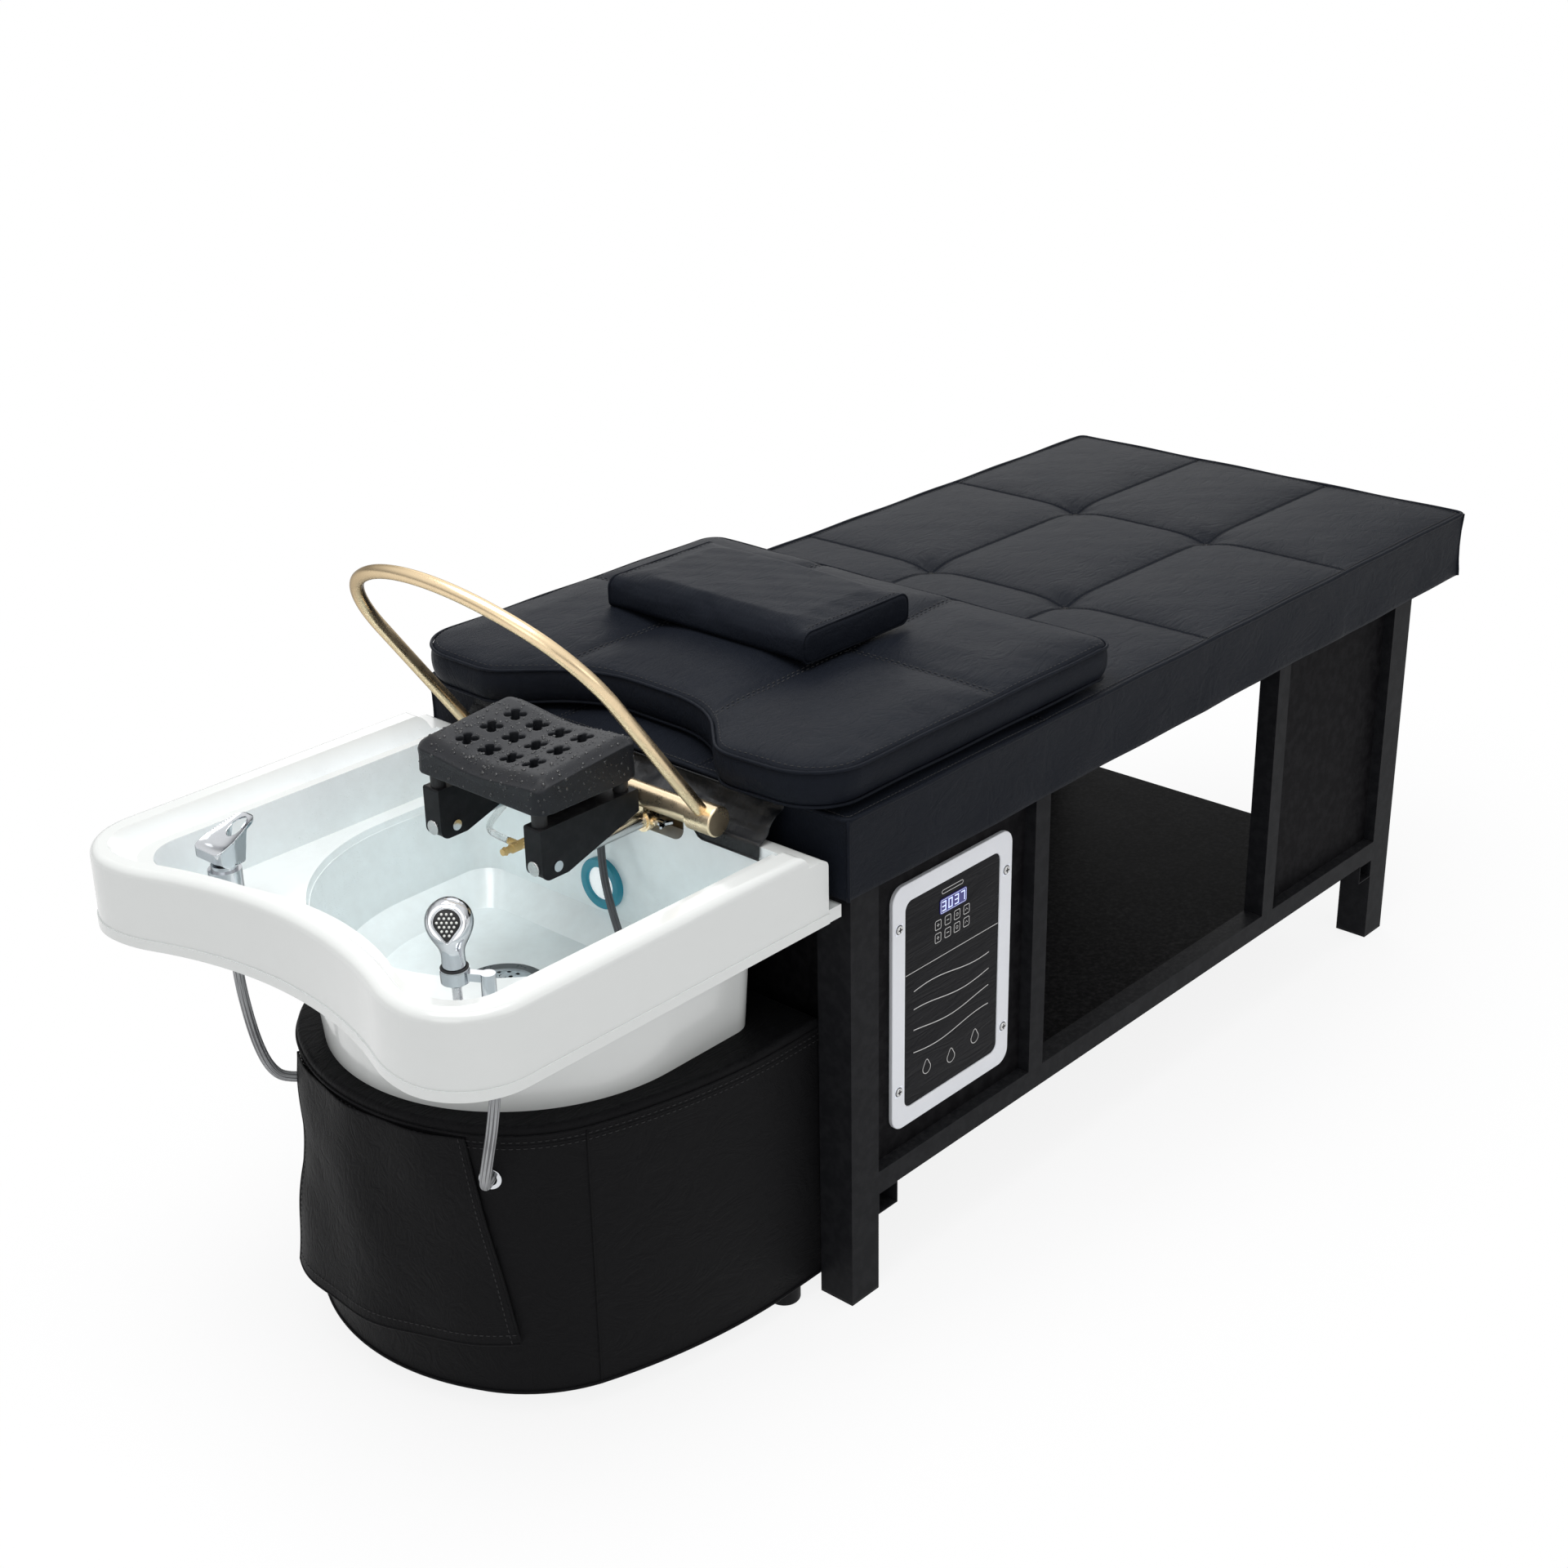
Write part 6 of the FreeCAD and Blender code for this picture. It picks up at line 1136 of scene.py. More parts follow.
@dataclass
class Workshop:
    """Makes pieces out of shapes and dresses them."""

    finishes: Finishes = field(default_factory=Finishes)

    def piece(self, name: str, shape: Shape | Sequence[Shape], finish: Finish, body: str, slot: str = "",
              replaces: Sequence[str] = (), smooth: bool = True) -> Piece:
        """Make one piece that rides on a body.

        Args:
            name: Name of the piece.
            shape: Its shape or shapes, in millimetres in the head frame.
            finish: Its finish.
            body: The body that it rides on.
            slot: The record's material slot, where it takes one; not used.
            replaces: The solids that it stands for.
            smooth: Whether its faces are shaded smooth.

        Returns:
            The new object.
        """
        if not isinstance(shape, Shape):
            shape = Shape.merged(shape)
        mesh = bpy.data.meshes.new(name)
        mesh.from_pydata([tuple(point) for point in placed(shape.points)], [], shape.faces)
        if shape.uv is not None:
            layer = mesh.uv_layers.new(name="along")
            for loop in mesh.loops:
                layer.data[loop.index].uv = shape.uv[loop.vertex_index]
        mesh.polygons.foreach_set("use_smooth", [smooth] * len(mesh.polygons))
        mesh.update()
        piece = linked(name, mesh)
        mesh.materials.append(self.finishes.get(finish))
        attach(piece, body)
        if replaces:
            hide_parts(*replaces)
        LOG.info("piece %s on %s", piece.name, body)
        return piece

    def smoothed(self, piece: Piece) -> None:
        """Subdivide a piece's surface once.

        Args:
            piece: The piece.
        """
        modifier = piece.modifiers.new("smooth", "SUBSURF")
        modifier.levels = 1
        modifier.render_levels = 1

    def fixed(self, piece: Piece) -> None:
        """Apply all modifiers of a piece.

        Args:
            piece: The piece.
        """
        mesh = bpy.data.meshes.new_from_object(piece.evaluated_get(bpy.context.evaluated_depsgraph_get()))
        piece.modifiers.clear()
        piece.data = mesh

    def thickened(self, piece: Piece, thickness: float) -> None:
        """Give a sheet its thickness in millimetres, and smooth it.

        Args:
            piece: The piece.
            thickness: Thickness in millimetres.
        """
        solid = piece.modifiers.new("thickness", "SOLIDIFY")
        solid.thickness = thickness * MM
        solid.offset = 0.0
        self.fixed(piece)
        self.smoothed(piece)

    def remeshed(self, piece: Piece, size: float, relax: int) -> None:
        """Give a piece an even mesh.

        Args:
            piece: The piece, a closed mesh.
            size: Side of one mesh cell, in millimetres.
            relax: How many times the mesh is relaxed.
        """
        modifier = piece.modifiers.new("even", "REMESH")
        modifier.mode = "VOXEL"
        modifier.voxel_size = size * MM
        modifier.use_smooth_shade = True
        relaxed = piece.modifiers.new("relax", "SMOOTH")
        relaxed.factor = 0.5
        relaxed.iterations = relax
        self.fixed(piece)

    def inflated(self, piece: Piece, held: np.ndarray, pressure: float, cap: float, loose: float, calm: int,
                 frames: int = 20) -> None:
        """Let a cover swell between its seams with a cloth simulation, and keep the result.

        Args:
            piece: The piece, with an even mesh.
            held: How firmly each point is held, from 0 to 1.
            pressure: Pressure inside.
            cap: How far a point may move, in millimetres.
            loose: Share by which the cloth is larger than its frame.
            calm: How often the movement is evened out between neighbours.
            frames: How many frames are stepped.
        """
        mesh = piece.data
        start = np.zeros(len(mesh.vertices) * 3)
        mesh.vertices.foreach_get("co", start)
        start = start.reshape(-1, 3)
        group = piece.vertex_groups.new(name="held")
        levels = np.round(held, 1)
        for level in np.unique(levels):
            if level > 0.0:
                group.add([int(i) for i in np.nonzero(levels == level)[0]], float(level), "REPLACE")
        modifier = piece.modifiers.new("cloth", "CLOTH")
        settings = modifier.settings
        settings.quality = 5
        settings.mass = 0.4
        settings.tension_stiffness = 20.0
        settings.compression_stiffness = 20.0
        settings.shear_stiffness = 10.0
        settings.bending_stiffness = 1.0
        settings.use_pressure = True
        settings.uniform_pressure_force = pressure
        settings.shrink_min = -loose
        settings.vertex_group_mass = "held"
        settings.effector_weights.gravity = 0.0
        modifier.collision_settings.use_self_collision = False
        modifier.collision_settings.use_collision = False
        scene = bpy.context.scene
        for number in range(1, frames + 1):
            scene.frame_set(number)
        depsgraph = bpy.context.evaluated_depsgraph_get()
        swollen = piece.evaluated_get(depsgraph).data
        end = np.zeros(len(swollen.vertices) * 3)
        swollen.vertices.foreach_get("co", end)
        move = end.reshape(-1, 3) - start
        ends = np.zeros(len(mesh.edges) * 2, int)
        mesh.edges.foreach_get("vertices", ends)
        first, second = ends.reshape(-1, 2).T
        degree = np.maximum(np.bincount(ends, minlength=len(start)), 1)[:, None]
        for _ in range(calm):
            near = np.zeros_like(move)
            np.add.at(near, first, move[second])
            np.add.at(near, second, move[first])
            move = 0.5 * move + 0.5 * near / degree
        size = np.linalg.norm(move, axis=1)
        limit = cap * MM
        move *= np.where(size > limit, limit / np.maximum(size, 1e-9), 1.0)[:, None]
        piece.modifiers.remove(modifier)
        piece.vertex_groups.clear()
        scene.frame_set(1)
        mesh.vertices.foreach_set("co", (start + move).ravel())
        mesh.update()
        LOG.info("swollen %s by up to %.1f mm", piece.name, float(size.max()) / MM)


def points_of(piece: Piece) -> np.ndarray:
    """Read a piece's points in millimetres in the head frame.

    Args:
        piece: The piece.

    Returns:
        The points.
    """
    points = np.zeros(len(piece.data.vertices) * 3)
    piece.data.vertices.foreach_get("co", points)
    return unplaced(points.reshape(-1, 3))


def set_points(piece: Piece, points: np.ndarray) -> None:
    """Write a piece's points from millimetres in the head frame."""
    piece.data.vertices.foreach_set("co", placed(points).ravel())
    piece.data.update()


def distance_to(points: np.ndarray, line: np.ndarray, closed: bool = False) -> np.ndarray:
    """Distance in the plane from each point to a line of points.

    Args:
        points: Points, of which the first two values count.
        line: The line's points, of which the first two values count.
        closed: Whether the line ends where it starts.

    Returns:
        One distance for each point.
    """
    line = np.vstack([line, line[:1]]) if closed else line
    best = np.full(len(points), 1e9)
    flat = points[:, :2]
    for start, end in zip(line[:-1, :2], line[1:, :2]):
        run = end - start
        share = np.clip(((flat - start) @ run) / max(float(run @ run), 1e-9), 0.0, 1.0)
        best = np.minimum(best, np.linalg.norm(flat - start - share[:, None] * run, axis=1))
    return best


def smoothstep(value: np.ndarray | float, low: float, high: float) -> np.ndarray | float:
    """Turn values between two limits smoothly into 0 to 1."""
    share = np.clip((value - low) / (high - low), 0.0, 1.0)
    return share * share * (3.0 - 2.0 * share)


def ripple(first: np.ndarray, second: np.ndarray, seed: float) -> np.ndarray:
    """Slow, even noise over a surface, between about -1 and 1.

    Args:
        first: Places along the surface, in millimetres.
        second: Places across it.
        seed: Number that shifts the pattern.

    Returns:
        One value for each place.
    """
    return (np.sin(first * 0.021 + seed) * np.cos(second * 0.027 - seed * 1.7)
            + 0.6 * np.sin(first * 0.047 - second * 0.031 + seed * 2.3)
            + 0.35 * np.sin(first * 0.083 + second * 0.071 + seed * 0.9)) / 1.6


@dataclass
class Couch:
    """The tufted cover of the couch, with its welt, seams and threads."""

    length: float = 1440.0
    half: float = 350.0
    edge_z: float = 658.0
    bottom_z: float = 560.0
    rows: tuple[float, ...] = (0.0, 372.0, 735.0, 1092.0, 1440.0)
    columns: tuple[float, ...] = (-350.0, -117.0, 117.0, 350.0)
    seam_z: float = 659.0
    puff: float = 9.0
    tuft_depth: float = 9.0
    tuft_reach: float = 26.0
    swell_reach: float = 26.0
    fold_height: float = 0.75
    fold_reach: float = 42.0
    gather_height: float = 0.45
    gather_reach: float = 11.0
    cell: float = 7.0
    welt: float = 3.0
    corner_welt: float = 2.3
    corner: float = 10.0
    knot: float = 0.7
    side_levels: tuple[Place, ...] = ((0.0, 656.0), (-0.6, 648.0), (-1.6, 632.0), (-2.0, 609.0), (-1.2, 584.0),
                                      (0.4, 566.0), (0.3, 561.0), (-1.5, 560.0), (-8.0, 560.0), (-9.0, 563.0),
                                      (-9.0, 603.0))
    seam_depth: float = 1.6
    seam_width: float = 2.2
    stitch_offset: float = 3.6
    stitch_end: float = 6.0
    edge_stitch_inset: float = 7.0
    drop_z: float = 700.0

    def top_height(self, x: np.ndarray, y: np.ndarray) -> np.ndarray:
        """Height of the cover's top.

        Args:
            x: Places along the couch, in millimetres.
            y: Places across it.

        Returns:
            The heights.
        """
        rows, columns = np.array(self.rows), np.array(self.columns)
        i = np.clip(np.searchsorted(rows, x, side="right") - 1, 0, len(rows) - 2)
        j = np.clip(np.searchsorted(columns, y, side="right") - 1, 0, len(columns) - 2)
        s = (x - rows[i]) / (rows[i + 1] - rows[i])
        t = (y - columns[j]) / (columns[j + 1] - columns[j])
        edge_x = np.minimum(x - rows[i], rows[i + 1] - x)
        edge_y = np.minimum(y - columns[j], columns[j + 1] - y)
        swell = (1.0 - np.exp(-edge_x / self.swell_reach)) * (1.0 - np.exp(-edge_y / self.swell_reach))
        dome = (4.0 * s * (1.0 - s)) ** 0.45 * (4.0 * t * (1.0 - t)) ** 0.45
        height = self.seam_z + self.puff * (0.45 * swell + 0.55 * dome * swell)
        height += 0.7 * ripple(x, y, 1.0 + i * 1.3 + j * 2.1) * swell
        for tuft_x in self.rows[1:-1]:
            for tuft_y in self.columns[1:-1]:
                reach = np.hypot(x - tuft_x, y - tuft_y)
                turn = np.arctan2(y - tuft_y, x - tuft_x)
                height -= self.tuft_depth * np.exp(-(reach / self.tuft_reach) ** 1.5)
                folds = np.sin(turn * 9.0 + 2.0 * np.sin(turn * 2.0 + tuft_x)) + 0.5 * np.sin(turn * 17.0 + tuft_y)
                height += self.fold_height * folds * np.exp(-reach / self.fold_reach) * smoothstep(reach, 6.0, 20.0)
        for across, along, seams, pitch, sway, bend in ((x, y, self.rows, 3.1, 2.2, 37.0),
                                                        (y, x, self.columns, 3.4, 2.0, 41.0)):
            for seam in seams[1:-1]:
                gap = np.abs(across - seam)
                near = np.exp(-gap / self.gather_reach) * smoothstep(gap, 1.0, 6.0)
                height += self.gather_height * near * np.sin(along / pitch + sway * np.sin(along / bend + seam))
        return height

    def grid_lines(self, marks: Sequence[float]) -> np.ndarray:
        """Evenly spaced grid values that also fall on each seam, with closer ones beside it.

        Args:
            marks: Places of the seams and of the two edges.

        Returns:
            The values, in rising order.
        """
        values: list[float] = []
        for start, end in zip(marks[:-1], marks[1:]):
            near = [0.0, 1.2, 3.0, 6.0]
            count = int((end - start - 12.0) / self.cell)
            middle = list(np.linspace(start + 12.0, end - 12.0, count))
            values += [start + d for d in near] + middle + [end - d for d in reversed(near[1:])]
        return np.array(values + [marks[-1]])

    def cover(self, shop: Workshop) -> Piece:
        """Make the cover: crowned top, drawn-in sides and the hem turned up inside.

        Args:
            shop: Where the pieces are made.

        Returns:
            The cover.
        """
        xs, ys = self.grid_lines(self.rows), self.grid_lines(self.columns)
        gx, gy = np.meshgrid(xs, ys, indexing="ij")
        height = self.top_height(gx, gy)
        for across, seams in ((gx, self.rows), (gy, self.columns)):
            for seam in seams[1:-1]:
                height -= self.seam_depth * np.exp(-(np.abs(across - seam) / self.seam_width) ** 2)
        top = np.column_stack([gx.ravel(), gy.ravel(), height.ravel()])
        faces = grid_faces(len(xs), len(ys))
        rim = ([(i, 0) for i in range(len(xs))] + [(len(xs) - 1, j) for j in range(1, len(ys))]
               + [(i, len(ys) - 1) for i in range(len(xs) - 2, -1, -1)] + [(0, j) for j in range(len(ys) - 2, 0, -1)])
        rim_index = [i * len(ys) + j for i, j in rim]
        outline = top[rim_index][:, :2]
        top[rim_index, 2] = self.edge_z
        rings = [top]
        before = rim_index
        start = len(top)
        centre = np.array((self.length / 2.0, 0.0))
        for out, z in self.side_levels:
            along = np.arange(len(outline)) * 7.0
            wave = 0.9 * np.sin(along * 0.013 + z * 0.03) + 0.5 * np.sin(along * 0.037 - z * 0.05)
            share = smoothstep(abs(self.edge_z - z), 0.0, 40.0) if out > -5.0 else 1.0
            out_all = out + wave * share
            ring = outline.copy()
            for axis, limit in ((0, self.length / 2.0), (1, self.half)):
                side = np.sign(outline[:, axis] - centre[axis])
                on_edge = np.abs(np.abs(outline[:, axis] - centre[axis]) - limit) < 1e-6
                ring[:, axis] = np.where(on_edge, outline[:, axis] + side * out_all, ring[:, axis])
            if out < -5.0:
                ring[:, 0] = np.clip(ring[:, 0], -out, self.length + out)
                ring[:, 1] = np.clip(ring[:, 1], -self.half - out, self.half + out)
            rings.append(at_level(ring, z))
            now = list(range(start, start + len(ring)))
            faces += [(before[k], now[k], now[(k + 1) % len(now)], before[(k + 1) % len(now)])
                      for k in range(len(now))]
            before, start = now, start + len(ring)
        flat = [tuple(reversed(face)) if k >= (len(xs) - 1) * (len(ys) - 1) else face for k, face in enumerate(faces)]
        shape = Shape(np.vstack(rings), flat)
        cover = shop.piece("couch_cover", shape, LEATHER, "bed", "black_leather", ["bed_mattress"])
        outer = bmesh.new()
        outer.from_mesh(cover.data)
        bmesh.ops.recalc_face_normals(outer, faces=outer.faces)
        outer.to_mesh(cover.data)
        outer.free()
        return cover

    def trim(self, shop: Workshop, cover: Piece) -> None:
        """Add the welt, the corner seams and the threads.

        Args:
            shop: Where the pieces are made.
            cover: The cover that they lie on.
        """
        loop = rounded_box(0.0, self.length, -self.half, self.half, self.corner, 6.0)
        line = at_level(loop, self.edge_z + 0.6)
        line[:, 2] += 0.5 * np.sin(np.arange(len(line)) * 0.21)
        shapes = [tube(line, self.welt, 8, True)]
        heights = np.linspace(self.edge_z, self.bottom_z + 1.0, 12)
        drawn = np.interp(heights, (566.0, 584.0, 609.0, 632.0, 656.0), (0.4, -1.2, -2.0, -1.6, 0.0)) - 0.5
        for x in (0.0, self.length):
            for y in (-self.half, self.half):
                fall = np.column_stack([x + (drawn if x else -drawn), y + math.copysign(1.0, y) * drawn, heights])
                shapes.append(tube(fall, self.corner_welt, 8))
        shop.piece("couch_welt", shapes, LEATHER, "bed", "black_leather")
        surface = Surface(cover)
        sewn = []
        reach, far = self.half - self.stitch_end, self.length - self.stitch_end
        seams = [(((x, -reach), (x, reach)), (1.0, 0.0)) for x in self.rows[1:-1]]
        seams += [(((self.stitch_end, y), (far, y)), (0.0, 1.0)) for y in self.columns[1:-1]]
        for ends, across in seams:
            for side in (-self.stitch_offset, self.stitch_offset):
                line = spaced(at_level(np.array(ends) + side * np.array(across), self.drop_z), 5.0)
                sewn.append(thread(*surface.laid(line), radius=0.45))
        places, normals = surface.laid(at_level(inset_loop(loop, self.edge_stitch_inset), self.drop_z))
        sewn.append(thread(places, normals, length=5.4, pitch=6.4, radius=0.6, closed=True))
        shop.piece("couch_threads", sewn, THREAD, "bed")

    def buttons(self, shop: Workshop) -> None:
        """Add the knots of thread that pull the tufts down.

        Args:
            shop: Where the pieces are made.
        """
        shapes = []
        bow = np.array([(-4.0, -0.6), (-2.0, 0.5), (0.0, 0.9), (2.0, 0.5), (4.0, -0.6)])
        for x in self.rows[1:-1]:
            for y in self.columns[1:-1]:
                z = float(self.top_height(np.array([x]), np.array([y]))[0]) - 0.6
                for turn in (0.6, 2.2):
                    way = np.array((math.cos(turn), math.sin(turn), 0.0))
                    line = np.array((x, y, z)) + way * bow[:, :1] + np.array((0.0, 0.0, 1.0)) * bow[:, 1:]
                    shapes.append(tube(line, self.knot, 6))
        shop.piece("tuft_knots", shapes, THREAD, "bed")

    def build(self, shop: Workshop) -> None:
        """Make all pieces of the couch's cover."""
        self.trim(shop, self.cover(shop))
        self.buttons(shop)


@dataclass
class Topper:
    """The thin pad on the couch's head half, forked round the neck place."""

    foot_x: float = 525.0
    half: float = 346.0
    notch: tuple[float, float, float] = (47.0, 94.3, 150.0)
    tip: tuple[float, float, float] = (-44.0, 188.6, 52.9)
    lobe: tuple[float, float, float] = (-38.0, 346.0, 75.6)
    foot_radius: float = 30.0
    bottom: float = 667.6
    top: float = 718.0
    crown: float = 7.0
    start_inset: float = 4.0
    cell: float = 6.5
    cross_seam_x: float = 285.0
    long_seams: tuple[tuple[Point, Point], ...] = (((20.0, -124.0, 0.0), (519.0, -92.0, 0.0)),
                                                   ((20.0, 132.0, 0.0), (519.0, 132.0, 0.0)))
    side_levels: tuple[Place, ...] = ((13.0, 0.0), (5.5, 0.08), (0.5, 0.26), (-1.8, 0.5), (-1.4, 0.72), (0.2, 0.89),
                                      (2.6, 0.97), (6.0, 1.0))
    drop_z: float = 760.0
    groove_depth: float = 1.6
    groove_width: float = 4.5
    piping: float = 2.1
    stitch_offset: float = 3.2
    edge_stitch_inset: float = 11.0

    def outline(self, inset: float, step: float = 7.0) -> np.ndarray:
        """Plan of the pad, drawn in by a distance.

        Args:
            inset: How far it is drawn in, in millimetres.
            step: Distance between its points.

        Returns:
            The outline's points.
        """
        corners = [(self.foot_x, -self.half, self.foot_radius), (self.foot_x, self.half, self.foot_radius)]
        near = [self.lobe, self.tip, self.notch]
        corners += near + [(x, -y, r) for x, y, r in reversed(near)]
        return inset_loop(rounded_loop(corners, step), inset)

    def seams(self) -> list[np.ndarray]:
        """The sewn lines of the top.

        Returns:
            A line of points for each seam.
        """
        lines = [spaced(np.array(ends), 6.0) for ends in self.long_seams]
        cross = np.array([(self.cross_seam_x, -self.half + 5.0, 0.0), (self.cross_seam_x, self.half - 5.0, 0.0)])
        return lines + [spaced(cross, 6.0)]

    def body(self, shop: Workshop) -> Piece:
        """Make the pad and let its cover swell between the seams.

        Args:
            shop: Where the pieces are made.

        Returns:
            The pad.
        """
        plan = self.outline(self.start_inset)
        rings = [at_level(inset_loop(plan, inset), self.bottom + (self.top - self.bottom) * share)
                 for inset, share in self.side_levels]
        count = len(plan)
        faces = grid_faces(len(rings), count, True)
        faces.append(tuple(reversed(range(count))))
        faces.append(tuple(range((len(rings) - 1) * count, len(rings) * count)))
        pad = shop.piece("topper_cover", Shape(np.vstack(rings), faces), LEATHER, "topper", "black_leather",
                         ["topper_pad"])
        shop.remeshed(pad, self.cell, 2)
        points = points_of(pad)
        edge = distance_to(points, self.outline(self.start_inset, 12.0), True)
        sewn = np.full(len(points), 1e9)
        for line in self.seams():
            sewn = np.minimum(sewn, distance_to(points, line[[0, -1]]))
        upper = points[:, 2] > self.top - 6.0
        lower = points[:, 2] < self.bottom + 4.0
        swell = (1.0 - np.exp(-edge / 22.0)) * (1.0 - 0.6 * np.exp(-(sewn / 12.0) ** 2))
        points[:, 2] += np.where(upper, self.crown * 0.75 * swell + 0.6 * ripple(points[:, 0], points[:, 1], 3.0), 0.0)
        set_points(pad, points)
        held = np.zeros(len(points))
        held[upper] = np.maximum(0.9 * (sewn[upper] < 6.0), 0.7 * (edge[upper] < 6.0))
        held[lower] = 1.0
        shop.inflated(pad, held, pressure=3.0, cap=7.0, loose=0.005, calm=6)
        points = points_of(pad)
        points[:, 2] = np.maximum(points[:, 2], self.bottom)
        groove = self.groove_depth * np.exp(-(np.minimum(sewn, 30.0) / self.groove_width) ** 2)
        points[:, 2] -= np.where(points[:, 2] > self.top - 8.0, groove, 0.0)
        set_points(pad, points)
        shop.smoothed(pad)
        return pad

    def trim(self, shop: Workshop, pad: Piece) -> None:
        """Add piping round both edges and the dashed seams.

        Args:
            shop: Where the pieces are made.
            pad: The pad that they lie on.
        """
        surface = Surface(pad)
        rolls = []
        for inset, level in ((3.9, self.top - 3.6), (8.6, self.bottom + 4.2)):
            line = at_level(self.outline(inset, 5.0), level)
            line[:, 2] += 0.5 * np.sin(np.arange(len(line)) * 0.17 + level)
            rolls.append(tube(line, self.piping, 8, True))
        shop.piece("topper_piping", rolls, LEATHER, "topper", "black_leather")
        sewn = []
        for line in self.seams():
            for side in (-self.stitch_offset, self.stitch_offset):
                crosswise = abs(line[0][0] - line[-1][0]) < 1.0
                moved = line + np.array((side, 0.0, self.drop_z) if crosswise else (0.0, side, self.drop_z))
                sewn.append(thread(*surface.laid(moved), length=6.0, pitch=9.5, radius=0.6))
        places, normals = surface.laid(at_level(self.outline(self.edge_stitch_inset, 5.0), self.drop_z))
        sewn.append(thread(places, normals, length=5.0, pitch=8.0, radius=0.5, closed=True))
        shop.piece("topper_threads", sewn, THREAD, "topper")

    def build(self, shop: Workshop) -> None:
        """Make all pieces of the pad."""
        self.trim(shop, self.body(shop))


@dataclass
class Pillow:
    """The small pillow on the pad."""

    x: float = 288.0
    y: float = 45.0
    depth: float = 200.0
    length: float = 335.0
    bottom: float = 729.0
    top: float = 770.0
    low_radius: float = 10.0
    high_radius: float = 14.0
    cell: float = 3.6
    crown: float = 3.0
    welt: float = 1.5
    welt_inset: float = 2.6
    stitch_inset: float = 7.0
    stitch_half: float = 84.0
    drop_z: float = 800.0

    def section(self, inset: float) -> np.ndarray:
        """Rounded upright section across the pillow's depth.

        Args:
            inset: How far it is drawn in, in millimetres.

        Returns:
            The section's points.
        """
        half = self.depth / 2.0 - inset
        low, high = self.bottom + inset * 0.5, self.top - inset
        return rounded_loop([(-half, low, self.low_radius), (half, low, self.low_radius),
                             (half, high, self.high_radius), (-half, high, self.high_radius)], 4.0)

    def body(self, shop: Workshop) -> Piece:
        """Make the pillow and let its cover swell between the end seams.

        Args:
            shop: Where the pieces are made.

        Returns:
            The pillow.
        """
        half = self.length / 2.0
        stations = ((-half, 4.0), (-half + 1.0, 1.2), (-half + 4.0, 0.2), (-half + 30.0, 1.5), (half - 30.0, 1.5),
                    (half - 4.0, 0.2), (half - 1.0, 1.2), (half, 4.0))
        rings = [(along, self.section(inset)) for along, inset in stations]
        count = min(len(loop) for _, loop in rings)
        stack = []
        for along, loop in rings:
            even = spaced(loop, 1.0, True, count)
            stack.append(np.column_stack([self.x + even[:, 0], np.full(count, self.y + along), even[:, 1]]))
        faces = grid_faces(len(stack), count, True)
        faces.append(tuple(range(count)))
        faces.append(tuple(reversed(range((len(stack) - 1) * count, len(stack) * count))))
        pillow = shop.piece("pillow_cover", Shape(np.vstack(stack), faces), LEATHER, "pillow", "black_leather",
                            ["small_pillow"])
        shop.remeshed(pillow, self.cell, 1)
        points = points_of(pillow)
        end = half - np.abs(points[:, 1] - self.y)
        held = np.where(points[:, 2] < self.bottom + 5.0, 1.0, 0.0)
        held = np.maximum(held, np.where((end > 2.0) & (end < 9.0), 0.9, 0.0))
        shop.inflated(pillow, held, pressure=3.5, cap=7.0, loose=0.004, calm=10)
        points = points_of(pillow)
        points[:, 2] = np.maximum(points[:, 2], self.bottom)
        across = (points[:, 0] - self.x) / (self.depth / 2.0)
        middle = np.clip(1.0 - ((points[:, 1] - self.y) / half) ** 2, 0.0, 1.0)
        lift = np.where(points[:, 2] > self.top - 14.0, 1.0, 0.0)
        waves = 0.9 * ripple(points[:, 0] * 2.0, points[:, 1] * 1.3, 5.0)
        points[:, 2] += lift * (self.crown * middle * (1.0 - across ** 2) + waves)
        set_points(pillow, points)
        shop.smoothed(pillow)
        return pillow

    def trim(self, shop: Workshop, pillow: Piece) -> None:
        """Add the end welts and the threads beside them.

        Args:
            shop: Where the pieces are made.
            pillow: The pillow that they lie on.
        """
        surface = Surface(pillow)
        rolls, sewn = [], []
        for side in (-1.0, 1.0):
            loop = self.section(0.9)
            across = self.y + side * (self.length / 2.0 - self.welt_inset)
            line = np.column_stack([self.x + loop[:, 0], np.full(len(loop), across), loop[:, 1]])
            rolls.append(tube(line, self.welt, 7, True))
            beside = across - side * self.stitch_inset
            strip = np.array([(self.x + x, beside, self.drop_z)
                              for x in np.linspace(-self.stitch_half, self.stitch_half, 30)])
            sewn.append(thread(*surface.laid(strip), length=5.0, pitch=7.5, radius=0.5))
        shop.piece("pillow_welts", rolls, LEATHER, "pillow", "black_leather")
        shop.piece("pillow_threads", sewn, THREAD, "pillow")

    def build(self, shop: Workshop) -> None:
        """Make all pieces of the pillow."""
        self.trim(shop, self.body(shop))


